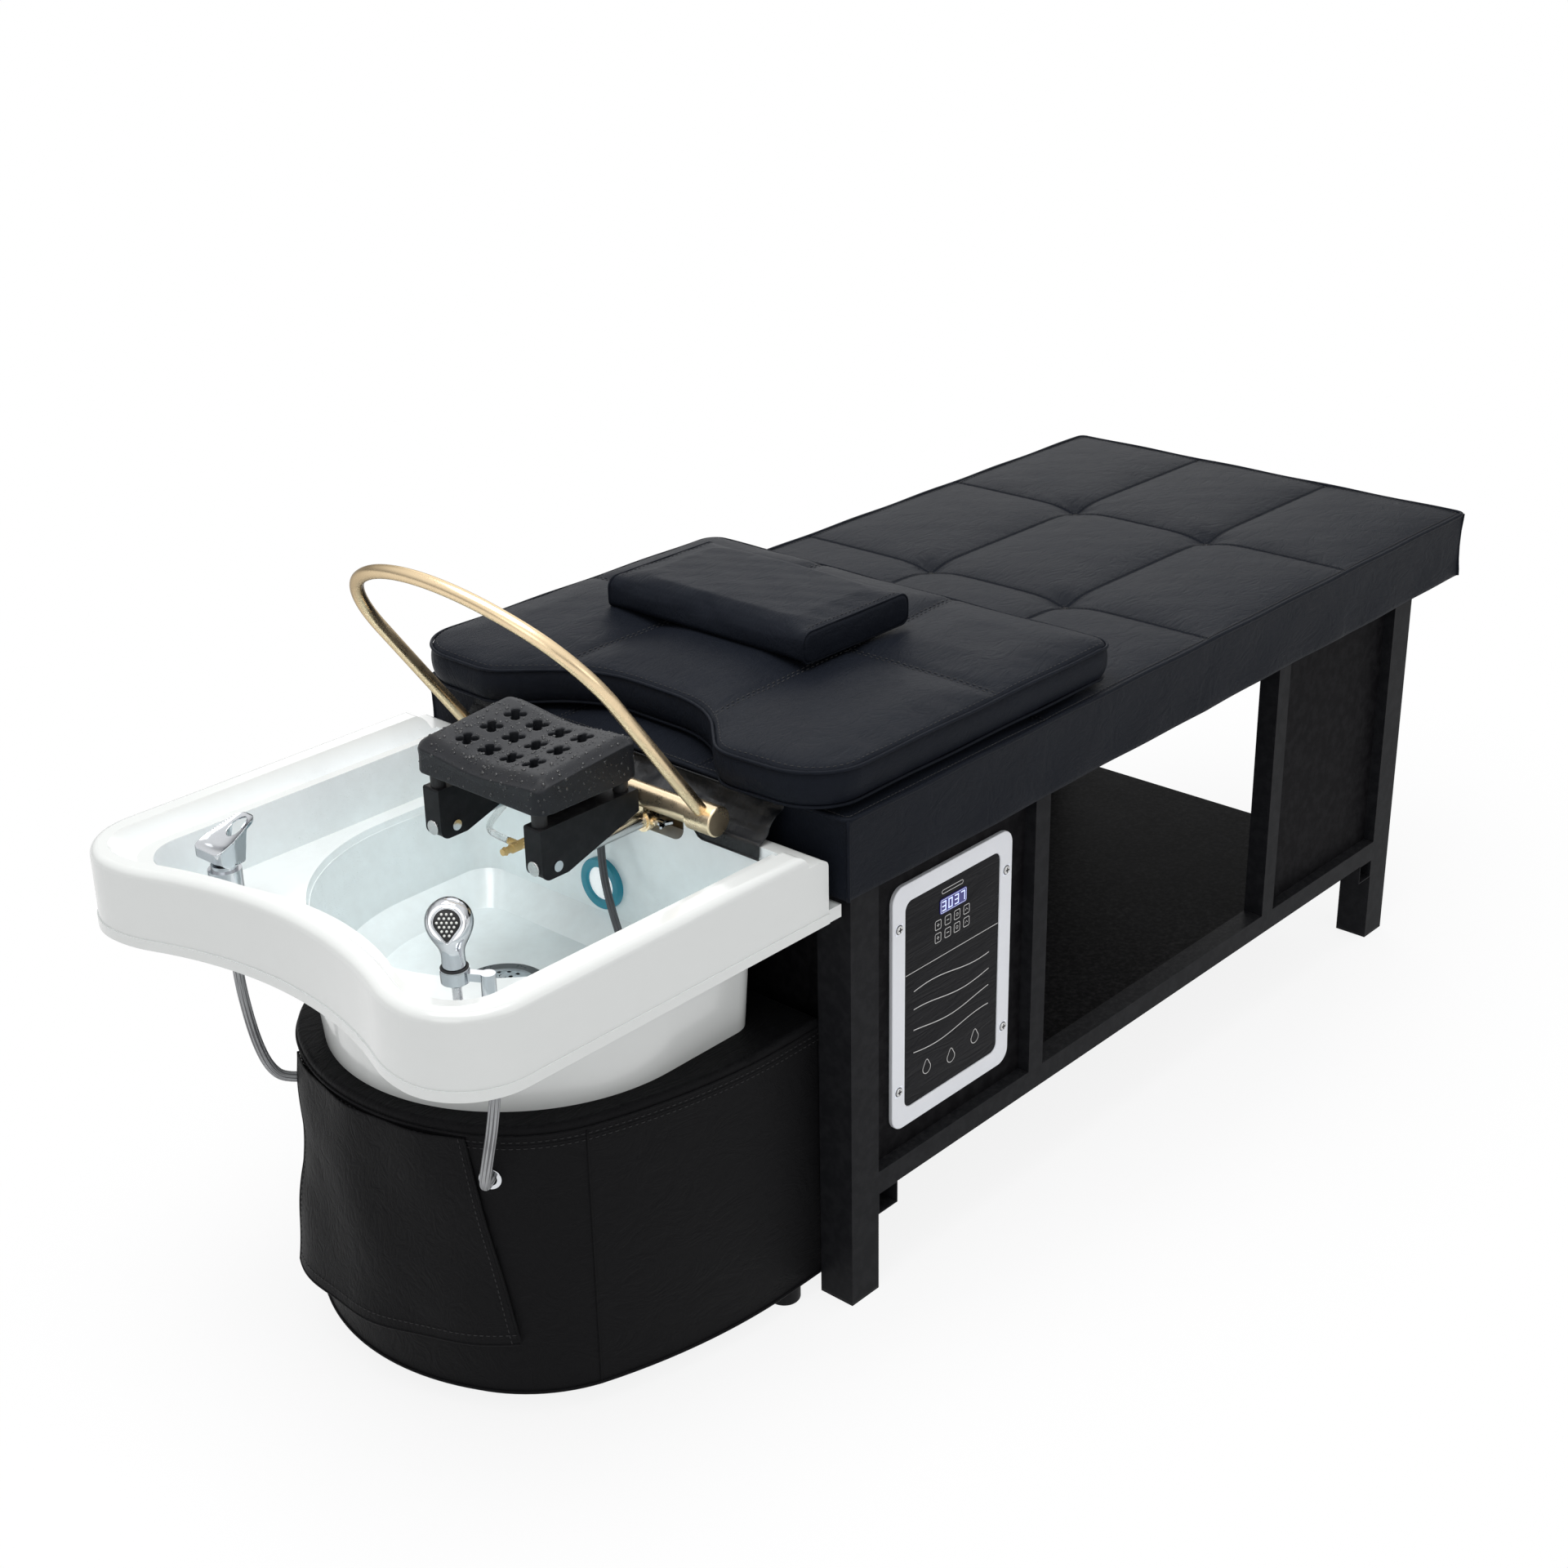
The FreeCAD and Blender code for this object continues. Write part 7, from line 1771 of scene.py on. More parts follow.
def filled(loops: Sequence[np.ndarray], low: float, high: float) -> Shape:
    """Thick plate between closed outlines, where an outline inside another is a hole.

    Args:
        loops: Outlines in plan, in millimetres.
        low: Height of its underside.
        high: Height of its top.

    Returns:
        The plate as a closed shape.
    """
    curve = bpy.data.curves.new("plan", "CURVE")
    curve.dimensions = "2D"
    curve.fill_mode = "BOTH"
    curve.extrude = (high - low) / 2.0 * MM
    for loop in loops:
        spline = curve.splines.new("POLY")
        spline.points.add(len(loop) - 1)
        for point, place in zip(spline.points, loop):
            point.co = (place[0] * MM, place[1] * MM, 0.0, 1.0)
        spline.use_cyclic_u = True
    body = bmesh.new()
    body.from_mesh(mesh_of(curve))
    bmesh.ops.remove_doubles(body, verts=body.verts, dist=0.00001)
    points = np.array([(v.co.x / MM, v.co.y / MM, v.co.z / MM + (low + high) / 2.0) for v in body.verts])
    faces = [tuple(v.index for v in face.verts) for face in body.faces]
    body.free()
    return Shape(points, faces)


@dataclass
class Headrest:
    """The moulded neck rest with its saddle and four-lobed drain holes."""

    x: float = -152.5
    depth: float = 157.0
    half: float = 107.0
    bottom: float = 672.0
    top: float = 713.0
    rise: float = 13.0
    saddle: float = 9.0
    corner: float = 17.0
    pitch: float = 37.0
    hole_rows: int = 3
    hole_columns: int = 4
    lobe: float = 7.9
    lobe_radius: float = 5.5
    cell: float = 1.5
    end_roll: float = 9.0
    side_roll: float = 8.0
    drop_seed: int = 11
    drop_counts: tuple[tuple[Point, int], ...] = (((0.0, 0.0, -1.0), 520), ((1.0, 0.0, 0.0), 70), ((0.0, 1.0, 0.0), 60))

    def hole(self, x: float, y: float) -> np.ndarray:
        """Outline of one four-lobed hole.

        Args:
            x: Place of its middle along the bed.
            y: Place of its middle across it.

        Returns:
            The outline's points.
        """
        angles = full_turn(40)
        turned = angles % (math.pi / 2.0) - math.pi / 4.0
        reach = self.lobe * np.cos(turned) + np.sqrt(np.maximum(
            0.0, self.lobe_radius ** 2 - (self.lobe * np.sin(turned)) ** 2))
        return np.column_stack([x + reach * np.cos(angles), y + reach * np.sin(angles)])

    def loops(self) -> list[np.ndarray]:
        """Outlines of the plan and of its holes.

        Returns:
            The outlines, the plan's first.
        """
        reach = self.depth / 2.0 - 0.5
        half = self.half - 0.5
        loops = [rounded_box(self.x - reach, self.x + reach, -half, half, self.corner, 3.0)]
        for row in range(self.hole_rows):
            for column in range(self.hole_columns):
                loops.append(self.hole(self.x + (row - (self.hole_rows - 1) / 2.0) * self.pitch,
                                       (column - (self.hole_columns - 1) / 2.0) * self.pitch))
        return loops

    def build(self, shop: Workshop) -> None:
        """Make the cushion.

        Args:
            shop: Where the piece is made.
        """
        shape = filled(self.loops(), self.bottom, self.top)
        cushion = shop.piece("headrest_pad", shape, HEADREST_FOAM, "headrest", "headrest_foam", ["headrest_cushion"])
        shop.remeshed(cushion, self.cell, 2)
        points = points_of(cushion)
        share = np.clip((points[:, 2] - self.bottom) / (self.top - self.bottom), 0.0, 1.0)
        across = points[:, 1] / self.half
        along = (points[:, 0] - self.x) / (self.depth / 2.0)
        lift = self.rise * (along + 1.0) / 2.0
        dip = self.saddle * np.exp(-(across / 0.62) ** 2)
        roll = (self.end_roll * smoothstep(np.abs(along), 0.68, 1.0) ** 2
                + self.side_roll * smoothstep(np.abs(across), 0.8, 1.0) ** 2)
        points[:, 2] += (lift - dip) * smoothstep(share, 0.0, 1.0) - roll * smoothstep(share, 0.3, 1.0)
        pinch = 1.0 - 0.012 * np.sin(np.pi * share)
        points[:, 0] = self.x + (points[:, 0] - self.x) * pinch
        set_points(cushion, points)
        self.droplets(shop, Surface(cushion))

    def droplets(self, shop: Workshop, surface: Surface) -> None:
        """Scatter drops of water over the top and the two sides that the photograph shows.

        Args:
            shop: Where the piece is made.
            surface: The cushion's surface.
        """
        chance = np.random.default_rng(self.drop_seed)
        turns = full_turn(10)
        drops: list[Shape] = []
        middle = np.array((self.x, 0.0, (self.bottom + self.top) / 2.0))
        for direction, count in self.drop_counts:
            spread = chance.uniform(-0.5, 0.5, (count, 3)) * np.array((self.depth, 2.0 * self.half, 40.0)) * 0.96
            spread += middle
            axis = int(np.argmax(np.abs(direction)))
            spread[:, axis] = middle[axis]
            places, normals = surface.laid(spread, direction, 200.0)
            for place, normal in zip(places, normals):
                if direction[2] and (normal[2] < 0.75 or place[2] < self.top - 14.0):
                    continue
                size = 0.6 + 1.7 * chance.random() ** 2.5
                side = np.cross(normal, (0.3, 0.9, 0.2))
                side /= np.linalg.norm(side)
                other = np.cross(normal, side) * chance.uniform(0.8, 1.3)
                ring = np.outer(np.cos(turns), side) + np.outer(np.sin(turns), other)
                rows = [place + normal * rise * size + ring * width * size
                        for width, rise in ((1.0, -0.1), (0.95, 0.2), (0.72, 0.42), (0.35, 0.55), (0.02, 0.58))]
                drops.append(Shape(np.vstack(rows), grid_faces(5, 10, True)))
        shop.piece("water_drops", drops, WATER, "headrest")


@dataclass
class TapLever:
    """The chrome lever of the tap: a scooped thumb rest that ends in a loop."""

    back: float = -463.0
    length: float = 63.5
    middle: float = 190.0
    half: float = 22.9
    loop_half: float = 12.5
    bottom: float = 608.4
    shoulder: float = 629.0
    tip: float = 654.6
    cell: float = 0.8

    def plan(self) -> list[np.ndarray]:
        """Outlines of the lever and of its oval hole.

        Returns:
            The two outlines.
        """
        x, y, end = self.back, self.middle, self.back + self.length
        taper = x + 24.0
        outer = rounded_loop([(x, y - self.half, 7.0), (taper, y - self.half, 30.0),
                              (end, y - self.loop_half, 11.8), (end, y + self.loop_half, 11.8),
                              (taper, y + self.half, 30.0), (x, y + self.half, 7.0)], 1.0)
        turns = full_turn(40)
        wide = 8.6 * (1.0 - 0.16 * np.cos(turns))
        hole = np.column_stack([x + 45.5 + 13.4 * np.cos(turns), y + wide * np.sin(turns)])
        return [outer, hole]

    def build(self, shop: Workshop) -> None:
        """Make the lever.

        Args:
            shop: Where the piece is made.
        """
        lever = shop.piece("tap_thumb_lever", filled(self.plan(), 0.0, 12.0), CHROME, "tap_handle", "chrome",
                           ["tap_lever"])
        shop.remeshed(lever, self.cell, 1)
        points = points_of(lever)
        share = np.clip(points[:, 2] / 12.0, 0.0, 1.0)
        along = (points[:, 0] - self.back) / self.length
        width = np.interp(along, (0.0, 0.35, 1.0), (self.half, self.half, self.loop_half))
        across = (points[:, 1] - self.middle) / width
        top = self.shoulder + (self.tip - self.shoulder) * np.clip(along, 0.0, 1.0) ** 0.95
        inside = np.clip(1.0 - across ** 2, 0.0, 1.0) ** 0.6
        scoop = 5.5 * inside * smoothstep(along, 0.02, 0.3) * (1.0 - 0.35 * smoothstep(along, 0.55, 1.0))
        block = self.bottom + 9.0 * (1.0 - smoothstep(along, 0.0, 0.24))
        low = block + (top - 4.6 - block) * smoothstep(along, 0.60, 0.74)
        points[:, 2] = low + (top - scoop * smoothstep(share, 0.5, 1.0) - low) * share
        set_points(lever, points)
        shop.smoothed(lever)


@dataclass
class HandShower:
    """The chrome hand shower with its drop-shaped spray face and the black ring under it."""

    foot: Point = (-432.0, -190.0, 595.0)
    lean: float = 2.0
    heart: float = 62.0
    yaw: float = 221.0
    pitch: float = 20.0
    face: float = 15.4
    rim: float = 15.4
    nozzle_pitch: float = 5.0
    nozzle_reach: float = 12.2
    profile: tuple[Place, ...] = (
        (-10.8, 9.9), (8.6, 9.9), (9.4, 12.4), (14.0, 12.6), (20.0, 12.1), (27.0, 12.3), (34.0, 14.3), (41.0, 18.0),
        (48.0, 21.6), (55.0, 24.1), (62.0, 25.0), (69.0, 24.0), (75.0, 21.4), (80.0, 17.3), (84.0, 11.8), (86.4, 5.6),
        (87.0, 0.02))

    def axis(self) -> np.ndarray:
        """Unit vector up along the hand shower."""
        lean = math.radians(self.lean)
        return np.array((-math.sin(lean), 0.0, math.cos(lean)))

    def facing(self) -> tuple[np.ndarray, np.ndarray, np.ndarray]:
        """Direction in which the spray face looks, with its own side and up.

        Returns:
            Unit vectors out of the face, across it and up along it.
        """
        yaw, pitch = math.radians(self.yaw), math.radians(self.pitch)
        out = np.array((math.cos(pitch) * math.cos(yaw), math.cos(pitch) * math.sin(yaw), math.sin(pitch)))
        side = np.cross(np.array((0.0, 0.0, 1.0)), out)
        side /= np.linalg.norm(side)
        return out, side, np.cross(out, side)

    def ring(self, step: float, radius: float, turns: np.ndarray) -> np.ndarray:
        """Circle round the hand shower's axis, at a step along it.

        Args:
            step: Distance along the axis.
            radius: Radius of the circle.
            turns: Angles of its points.

        Returns:
            The circle's points.
        """
        axis, across = self.axis(), np.array((0.0, 1.0, 0.0))
        circle = np.outer(np.cos(turns), np.cross(across, axis)) + np.outer(np.sin(turns), across)
        return np.array(self.foot) + axis * step + radius * circle

    def body(self) -> Shape:
        """The turned body with the flat for the spray face.

        Returns:
            The shape.
        """
        marks = np.array(self.profile)
        steps = np.concatenate([[-10.8, 8.6], np.linspace(8.8, 86.9, 90), [87.0]])
        radii = np.interp(steps, marks[:, 0], marks[:, 1])
        radii[6:-6] = np.convolve(radii, np.ones(7) / 7.0, "same")[6:-6]
        turns = full_turn(96)
        points = np.vstack([self.ring(step, radius, turns) for step, radius in zip(steps, radii)])
        out, _, _ = self.facing()
        depth = (points - (np.array(self.foot) + self.axis() * self.heart)) @ out - self.face
        points -= np.outer(np.clip(depth, 0.0, None), out)
        faces = grid_faces(len(steps), len(turns), True)
        faces.append(tuple(range(len(turns) - 1, -1, -1)))
        return Shape(points, faces)

    def drop(self, size: float) -> np.ndarray:
        """Outline of the spray face in its own plane: round above and pointed below.

        Args:
            size: Half its width.

        Returns:
            The outline's points.
        """
        turns = full_turn(64)
        below = np.maximum(0.0, -np.sin(turns))
        return np.column_stack([size * np.cos(turns) * (1.0 - 0.3 * below ** 2),
                                size * (np.sin(turns) - 0.42 * below ** 6)])

    def on_face(self, places: np.ndarray, proud: float) -> np.ndarray:
        """Lay flat places on the spray face, at a height over it.

        Args:
            places: Places in the face's own plane.
            proud: How far they stand off the face.

        Returns:
            The points.
        """
        out, side, up = self.facing()
        middle = np.array(self.foot) + self.axis() * self.heart + out * (self.face + proud)
        return middle + np.outer(places[:, 0], side) + np.outer(places[:, 1], up)

    def spray(self) -> tuple[Shape, Shape]:
        """The dark plate and its bright nozzles.

        Returns:
            The plate and the nozzles.
        """
        loops = [self.on_face(self.drop(size), proud)
                 for size, proud in ((14.0, 0.0), (14.0, 0.5), (13.4, 0.9), (7.0, 1.0), (0.1, 1.05))]
        plate = Shape(np.vstack(loops), grid_faces(len(loops), 64, True) + [tuple(range(4 * 64, 5 * 64))])
        nozzles, pitch, reach = [], self.nozzle_pitch, self.nozzle_reach
        turns = full_turn(10)
        circle = np.column_stack([np.cos(turns), np.sin(turns)])
        for row in range(-4, 4):
            for column in range(-3, 4):
                place = np.array((column * pitch + (row % 2) * pitch / 2.0, row * pitch * 0.87))
                width = reach if place[1] > 0.0 else reach * (1.0 + place[1] / 24.0)
                if math.hypot(place[0] * reach / width, min(0.0, place[1]) * 0.72 + max(0.0, place[1])) > reach:
                    continue
                rings = [self.on_face(place + size * circle, proud)
                         for size, proud in ((1.4, 0.8), (1.35, 1.5), (0.9, 2.0), (0.05, 2.1))]
                nozzles.append(Shape(np.vstack(rings), grid_faces(4, 10, True)))
        return plate, Shape.merged(nozzles)

    def build(self, shop: Workshop) -> None:
        """Make the hand shower's pieces.

        Args:
            shop: Where the pieces are made.
        """
        shop.piece("shower_handle", self.body(), CHROME, "hand_shower", "chrome", ["handset_body"])
        plate, nozzles = self.spray()
        shop.piece("spray_plate", plate, SPRAY_PLATE, "hand_shower", "", ["handset_face"])
        shop.piece("spray_nozzles", nozzles, NOZZLE, "hand_shower")
        rim = self.on_face(self.drop(self.rim), 0.3)
        shop.piece("spray_rim", tube(rim, 0.9, 8, closed=True), CHROME, "hand_shower")
        seal = self.ring(8.9, 13.6, full_turn(40))
        shop.piece("shower_seal", tube(seal, 1.5, 10, closed=True), STUB_RUBBER, "shower_bush")


@dataclass
class HeadCloth:
    """The glossy cloth that falls from the couch's head end over the basin's back rim."""

    near_y: float = -258.0
    far_y: float = 259.0
    top_z: float = 657.0
    rim_z: float = 616.6
    lift_half: float = 150.0
    thickness: float = 1.6
    crease_z: float = 628.5

    def height_over_rim(self, y: np.ndarray) -> np.ndarray:
        """How high the cloth passes over the rim: raised by the sleeves in the middle."""
        outside = smoothstep(np.abs(y), self.lift_half - 6.0, self.lift_half + 14.0)
        return self.rim_z + (1.0 - outside) * 7.6 + 0.6

    def hem_height(self, y: np.ndarray) -> np.ndarray:
        """How high the hem hangs: lower beside the sleeves."""
        tail = smoothstep(np.abs(y), self.lift_half, self.lift_half + 20.0)
        return self.height_over_rim(y) - 2.0 - 14.0 * tail

    def row(self, share: float, ys: np.ndarray) -> np.ndarray:
        """Points across the cloth at a share of its fall.

        Args:
            share: 0 at the couch, 1 at the hem.
            ys: Places across, in millimetres.

        Returns:
            The points.
        """
        x = np.interp(share, (0.0, 0.18, 0.42, 0.62, 0.74, 0.82, 1.0), (-1.4, -4.2, -12.0, -27.0, -40.0, -44.6, -45.4))
        rim = self.height_over_rim(ys)
        z = np.interp(share, (0.0, 0.18, 0.42, 0.62), (self.top_z - 4.0, self.top_z - 12.0, 636.0, self.crease_z))
        if share > 0.62:
            over = (share - 0.62) / 0.38
            bend = smoothstep(over, 0.0, 0.35)
            z = (self.crease_z + (rim - 622.0)) * (1.0 - bend) + bend * (rim + 2.2)
            if over > 0.5:
                z = np.interp(over, (0.5, 1.0), (0.0, 1.0)) * (self.hem_height(ys) - rim - 2.2) + rim + 2.2
        folds = (2.6 * np.sin(ys / 19.0 + share * 2.5 + 1.6 * np.sin(ys / 61.0))
                 + 1.3 * np.sin(ys / 9.5 - share * 6.0)
                 + 2.1 * np.sin(ys / 40.0 + share * 5.0)
                 + 0.8 * np.sin(ys / 5.6 - share * 7.0))
        amount = math.sin(math.pi * min(1.0, share * 1.25)) if share < 0.8 else 0.0
        return np.column_stack([x - folds * amount * 0.9, ys, z + folds * amount * 0.9])

    def build(self, shop: Workshop) -> None:
        """Make the cloth, its hem and the strip that it hangs from.

        Args:
            shop: Where the pieces are made.
        """
        ys = np.linspace(self.near_y, self.far_y, 96)
        rows = np.array([self.row(share, ys) for share in np.linspace(0.0, 1.0, 30)])
        cloth = shop.piece("head_cloth", Shape(rows.reshape(-1, 3), grid_faces(len(rows), len(ys))), WET_LEATHER, "bed",
                           "black_leather", ["head_apron"])
        shop.thickened(cloth, self.thickness)
        strip = np.column_stack([np.full(len(ys), -2.6), ys, np.full(len(ys), self.top_z - 3.0)])
        hem = np.column_stack([np.full(len(ys), -46.0), ys, self.hem_height(ys)])
        shop.piece("head_cloth_rolls", [tube(strip, 1.5, 8), tube(hem, 1.2, 7)], WET_LEATHER, "bed", "black_leather")


@dataclass
class BaseCover:
    """Leather details of the base: its rim welt, the seam band, threads and the hanging flap."""

    back_x: float = 24.0
    side_x: float = -60.0
    half: float = 285.0
    side_middle: Place = (-188.0, 269.0)
    shoulder: Place = (-304.0, 234.0)
    corner_middle: Place = (-365.0, 192.0)
    cheek: Place = (-404.0, 135.0)
    front_x: float = -436.0
    top_z: float = 380.0
    bottom_z: float = 25.0
    seam_z: float = 357.0
    flap_top: float = 364.6
    flap_left: tuple[float, float, float] = (142.0, 158.0, 82.0)
    flap_right: tuple[float, float, float] = (-143.0, -186.0, 100.0)
    flap_flare: float = 22.0
    flap_thickness: float = 2.2

    def arc(self, first: Place, middle: Place, last: Place) -> np.ndarray:
        """Points on the circle through three places.

        Args:
            first: Where it starts.
            middle: A place that it passes.
            last: Where it ends.

        Returns:
            The points.
        """
        (ax, ay), (bx, by), (cx, cy) = first, middle, last
        d = 2.0 * (ax * (by - cy) + bx * (cy - ay) + cx * (ay - by))
        ux = ((ax ** 2 + ay ** 2) * (by - cy) + (bx ** 2 + by ** 2) * (cy - ay) + (cx ** 2 + cy ** 2) * (ay - by)) / d
        uy = ((ax ** 2 + ay ** 2) * (cx - bx) + (bx ** 2 + by ** 2) * (ax - cx) + (cx ** 2 + cy ** 2) * (bx - ax)) / d
        radius = math.hypot(ax - ux, ay - uy)
        turns = [math.atan2(y - uy, x - ux) for x, y in (first, middle, last)]
        turns[1] = turns[0] + (turns[1] - turns[0] + math.pi) % math.tau - math.pi
        turns[2] = turns[1] + (turns[2] - turns[1] + math.pi) % math.tau - math.pi
        angles = np.linspace(turns[0], turns[2], 24)
        return np.column_stack([ux + radius * np.cos(angles), uy + radius * np.sin(angles)])

    def outline(self, out: float = 0.0) -> np.ndarray:
        """Plan of the base from its far back corner round the front to its near one.

        Args:
            out: How far it is moved outwards.

        Returns:
            The points of an open line.
        """
        far = [(self.side_x, self.half), self.side_middle, self.shoulder, self.corner_middle, self.cheek]
        near = [(x, -y) for x, y in reversed(far)]
        marks = far + [(self.front_x, 0.0)] + near
        arcs = [self.arc(*marks[start:start + 3]) for start in range(0, len(marks) - 2, 2)]
        line = spaced(np.vstack([[(self.back_x, self.half)], *arcs, [(self.back_x, -self.half)]]), 6.0)
        return line - leftwards(line) * out

    def front_at(self, y: float, out: float) -> float:
        """Where the bowed front stands at one place across it.

        Args:
            y: Place across it.
            out: How far off the front.

        Returns:
            The place along the bed.
        """
        depth = self.cheek[0] - self.front_x
        radius = (self.cheek[1] ** 2 + depth ** 2) / (2.0 * depth)
        return self.front_x + radius - math.sqrt((radius + out) ** 2 - y ** 2)

    def rolls(self, shop: Workshop) -> None:
        """Add the welts, the seam band and their threads.

        Args:
            shop: Where the pieces are made.
        """
        shapes, sewn = [], []
        for level, out, radius in ((self.top_z - 11.5, 0.4, 2.0), (self.bottom_z + 3.0, 0.3, 2.0)):
            shapes.append(tube(at_level(self.outline(out), level), radius, 8))
        shapes.append(tube(at_level(self.outline(-0.4), self.seam_z), 1.1, 6))
        for level in (self.seam_z - 4.0, self.seam_z + 4.0):
            line = self.outline(0.1)
            ahead = np.gradient(line, axis=0)
            normal = np.column_stack([ahead[:, 1], -ahead[:, 0], np.zeros(len(line))])
            sewn.append(thread(at_level(line, level), normal, length=5.0, pitch=8.0, radius=0.5))
        for side in (-1.0, 1.0):
            upright = np.array([(self.shoulder[0] - 0.4, side * self.shoulder[1], z)
                                for z in np.linspace(self.bottom_z + 4.0, self.top_z - 13.0, 30)])
            shapes.append(tube(upright, 1.3, 6))
        shop.piece("base_welts", shapes, BASE_LEATHER, "bed", "black_leather")
        shop.piece("base_threads", sewn, THREAD, "bed")

    def flap_point(self, across: float, down: float) -> Point:
        """One point of the flap's outer side, by its share across and down.

        Args:
            across: Share across, from the left.
            down: Share down, from the rim.

        Returns:
            The point, in millimetres.
        """
        top_y, low_y, low_z = (left + (right - left) * across for left, right in zip(self.flap_left, self.flap_right))
        left = (1.0 - across) ** 3
        y = top_y + (low_y - top_y) * down + left * (8.0 * math.exp(-((down - 0.14) / 0.1) ** 2)
                                                      - 9.0 * math.exp(-((down - 0.4) / 0.13) ** 2))
        z = self.flap_top + (low_z - self.flap_top) * down
        wave = 2.5 * (1.0 + math.sin(math.tau * 2.5 * across)) * down ** 1.4
        flare = self.flap_flare * (1.0 - across) * down ** 1.6
        folds = (1.6 * math.sin(across * 17.0 + down * 3.0) * math.exp(-down * 3.0)
                 + 1.2 * math.sin(across * 9.0 - down * 7.0 + 1.0) * math.sin(math.pi * down)
                 + 2.2 * left * math.sin(down * 11.0) * math.sin(math.pi * down))
        out = 1.6 + flare + wave + max(0.0, folds + 1.6)
        return self.front_at(y, out), y, z

    def flap(self, shop: Workshop) -> None:
        """Make the hanging flap with its hem, seam and threads.

        Args:
            shop: Where the pieces are made.
        """
        across = np.linspace(0.0, 1.0, 56)
        down = np.linspace(0.0, 1.0, 64)
        grid = np.array([[self.flap_point(float(a), float(d)) for a in across] for d in down])
        flap = shop.piece("front_flap", Shape(grid.reshape(-1, 3), grid_faces(len(down), len(across))), FLAP_LEATHER,
                          "bed", "black_leather", ["base_flap"])
        shop.thickened(flap, self.flap_thickness)
        edge = np.vstack([grid[:, 0], grid[-1, 1:], grid[::-1, -1][1:]]) + np.array((-0.4, 0.0, 0.0))
        hem = grid[60] + np.array((-self.flap_thickness / 2.0 - 0.1, 0.0, 0.0))
        sides = [grid[:, k] + np.array((-self.flap_thickness / 2.0 - 0.2, 0.0, 0.0)) for k in (1, -2)]
        shop.piece("flap_edge", tube(edge, 1.5, 7), FLAP_LEATHER, "bed", "black_leather")
        sewn = [thread(line, (-1.0, 0.0, 0.0), length=5.0, pitch=7.5, radius=0.5) for line in [hem] + sides]
        shop.piece("flap_threads", sewn, THREAD, "bed")

    def build(self, shop: Workshop) -> None:
        """Make all pieces of the base's cover."""
        self.rolls(shop)
        self.flap(shop)


@dataclass(frozen=True)
class HoseRoute:
    """A hose: its route's points in metres, its size and its finish."""

    name: str
    node: str
    body: str
    slot: str
    route: tuple[Point, ...]
    radius: float
    stiffness: str
    finish: Finish
    sides: int = 20


HOSES = (
    HoseRoute("clear_drain_tube", "clear_tube", "bed", "clear_hose",
              ((-0.500, 0.124, 0.618), (-0.500, 0.124, 0.598), (-0.520, 0.120, 0.578), (-0.554, 0.110, 0.571),
               (-0.584, 0.088, 0.573), (-0.602, 0.056, 0.580), (-0.602, 0.030, 0.580)), 4.0, "medium", CLEAR),
    HoseRoute("ribbed_feed_hose", "ribbed_hose", "bed", "grey_hose",
              ((-0.500, -0.015, 0.618), (-0.500, -0.015, 0.575), (-0.508, -0.024, 0.524), (-0.516, -0.044, 0.484),
               (-0.530, -0.074, 0.456), (-0.546, -0.098, 0.440), (-0.556, -0.112, 0.426)), 4.8, "medium", RIB_HOSE,
              24),
    HoseRoute("tap_supply_hose", "hose_tap", "bed", "grey_hose",
              ((-0.882, 0.190, 0.512), (-0.882, 0.190, 0.468), (-0.878, 0.188, 0.418), (-0.870, 0.187, 0.370),
               (-0.859, 0.184, 0.334), (-0.8445, 0.1755, 0.316), (-0.822, 0.1603, 0.315)), 6.2, "medium",
              SUPPLY_HOSE, 24),
    HoseRoute("shower_supply_hose", "hose_shower", "bed", "grey_hose",
              ((-0.856, -0.220, 0.518), (-0.856, -0.220, 0.472), (-0.860, -0.214, 0.418), (-0.862, -0.203, 0.370),
               (-0.857, -0.189, 0.335), (-0.8445, -0.1755, 0.316), (-0.822, -0.1603, 0.315)), 6.2, "medium",
              SUPPLY_HOSE, 24),
)


@dataclass
class Hoses:
    """The hoses, each a tube along the smooth line of its route."""

    step: float = 3.0

    def line(self, route: HoseRoute) -> np.ndarray:
        """Read evenly spaced points from the route's smooth curve.

        Args:
            route: The hose.

        Returns:
            The points in metres.
        """
        curve = bpy.data.curves.new(route.name + "_line", "CURVE")
        curve.dimensions = "3D"
        curve.resolution_u = 24
        spline = curve.splines.new("NURBS")
        spline.points.add(len(route.route) - 1)
        for point, place in zip(spline.points, route.route):
            point.co = (*place, 1.0)
        spline.order_u = 3
        spline.use_endpoint_u = True
        return np.array([tuple(vertex.co) for vertex in mesh_of(curve).vertices])

    def build(self, shop: Workshop) -> None:
        """Make every hose.

        Args:
            shop: Where the pieces are made.
        """
        for route in HOSES:
            path = self.line(route)
            line = spaced(unplaced(path), self.step)
            hose = shop.piece(route.name, tube(line, route.radius, route.sides), route.finish, route.body, route.slot,
                              [route.node])


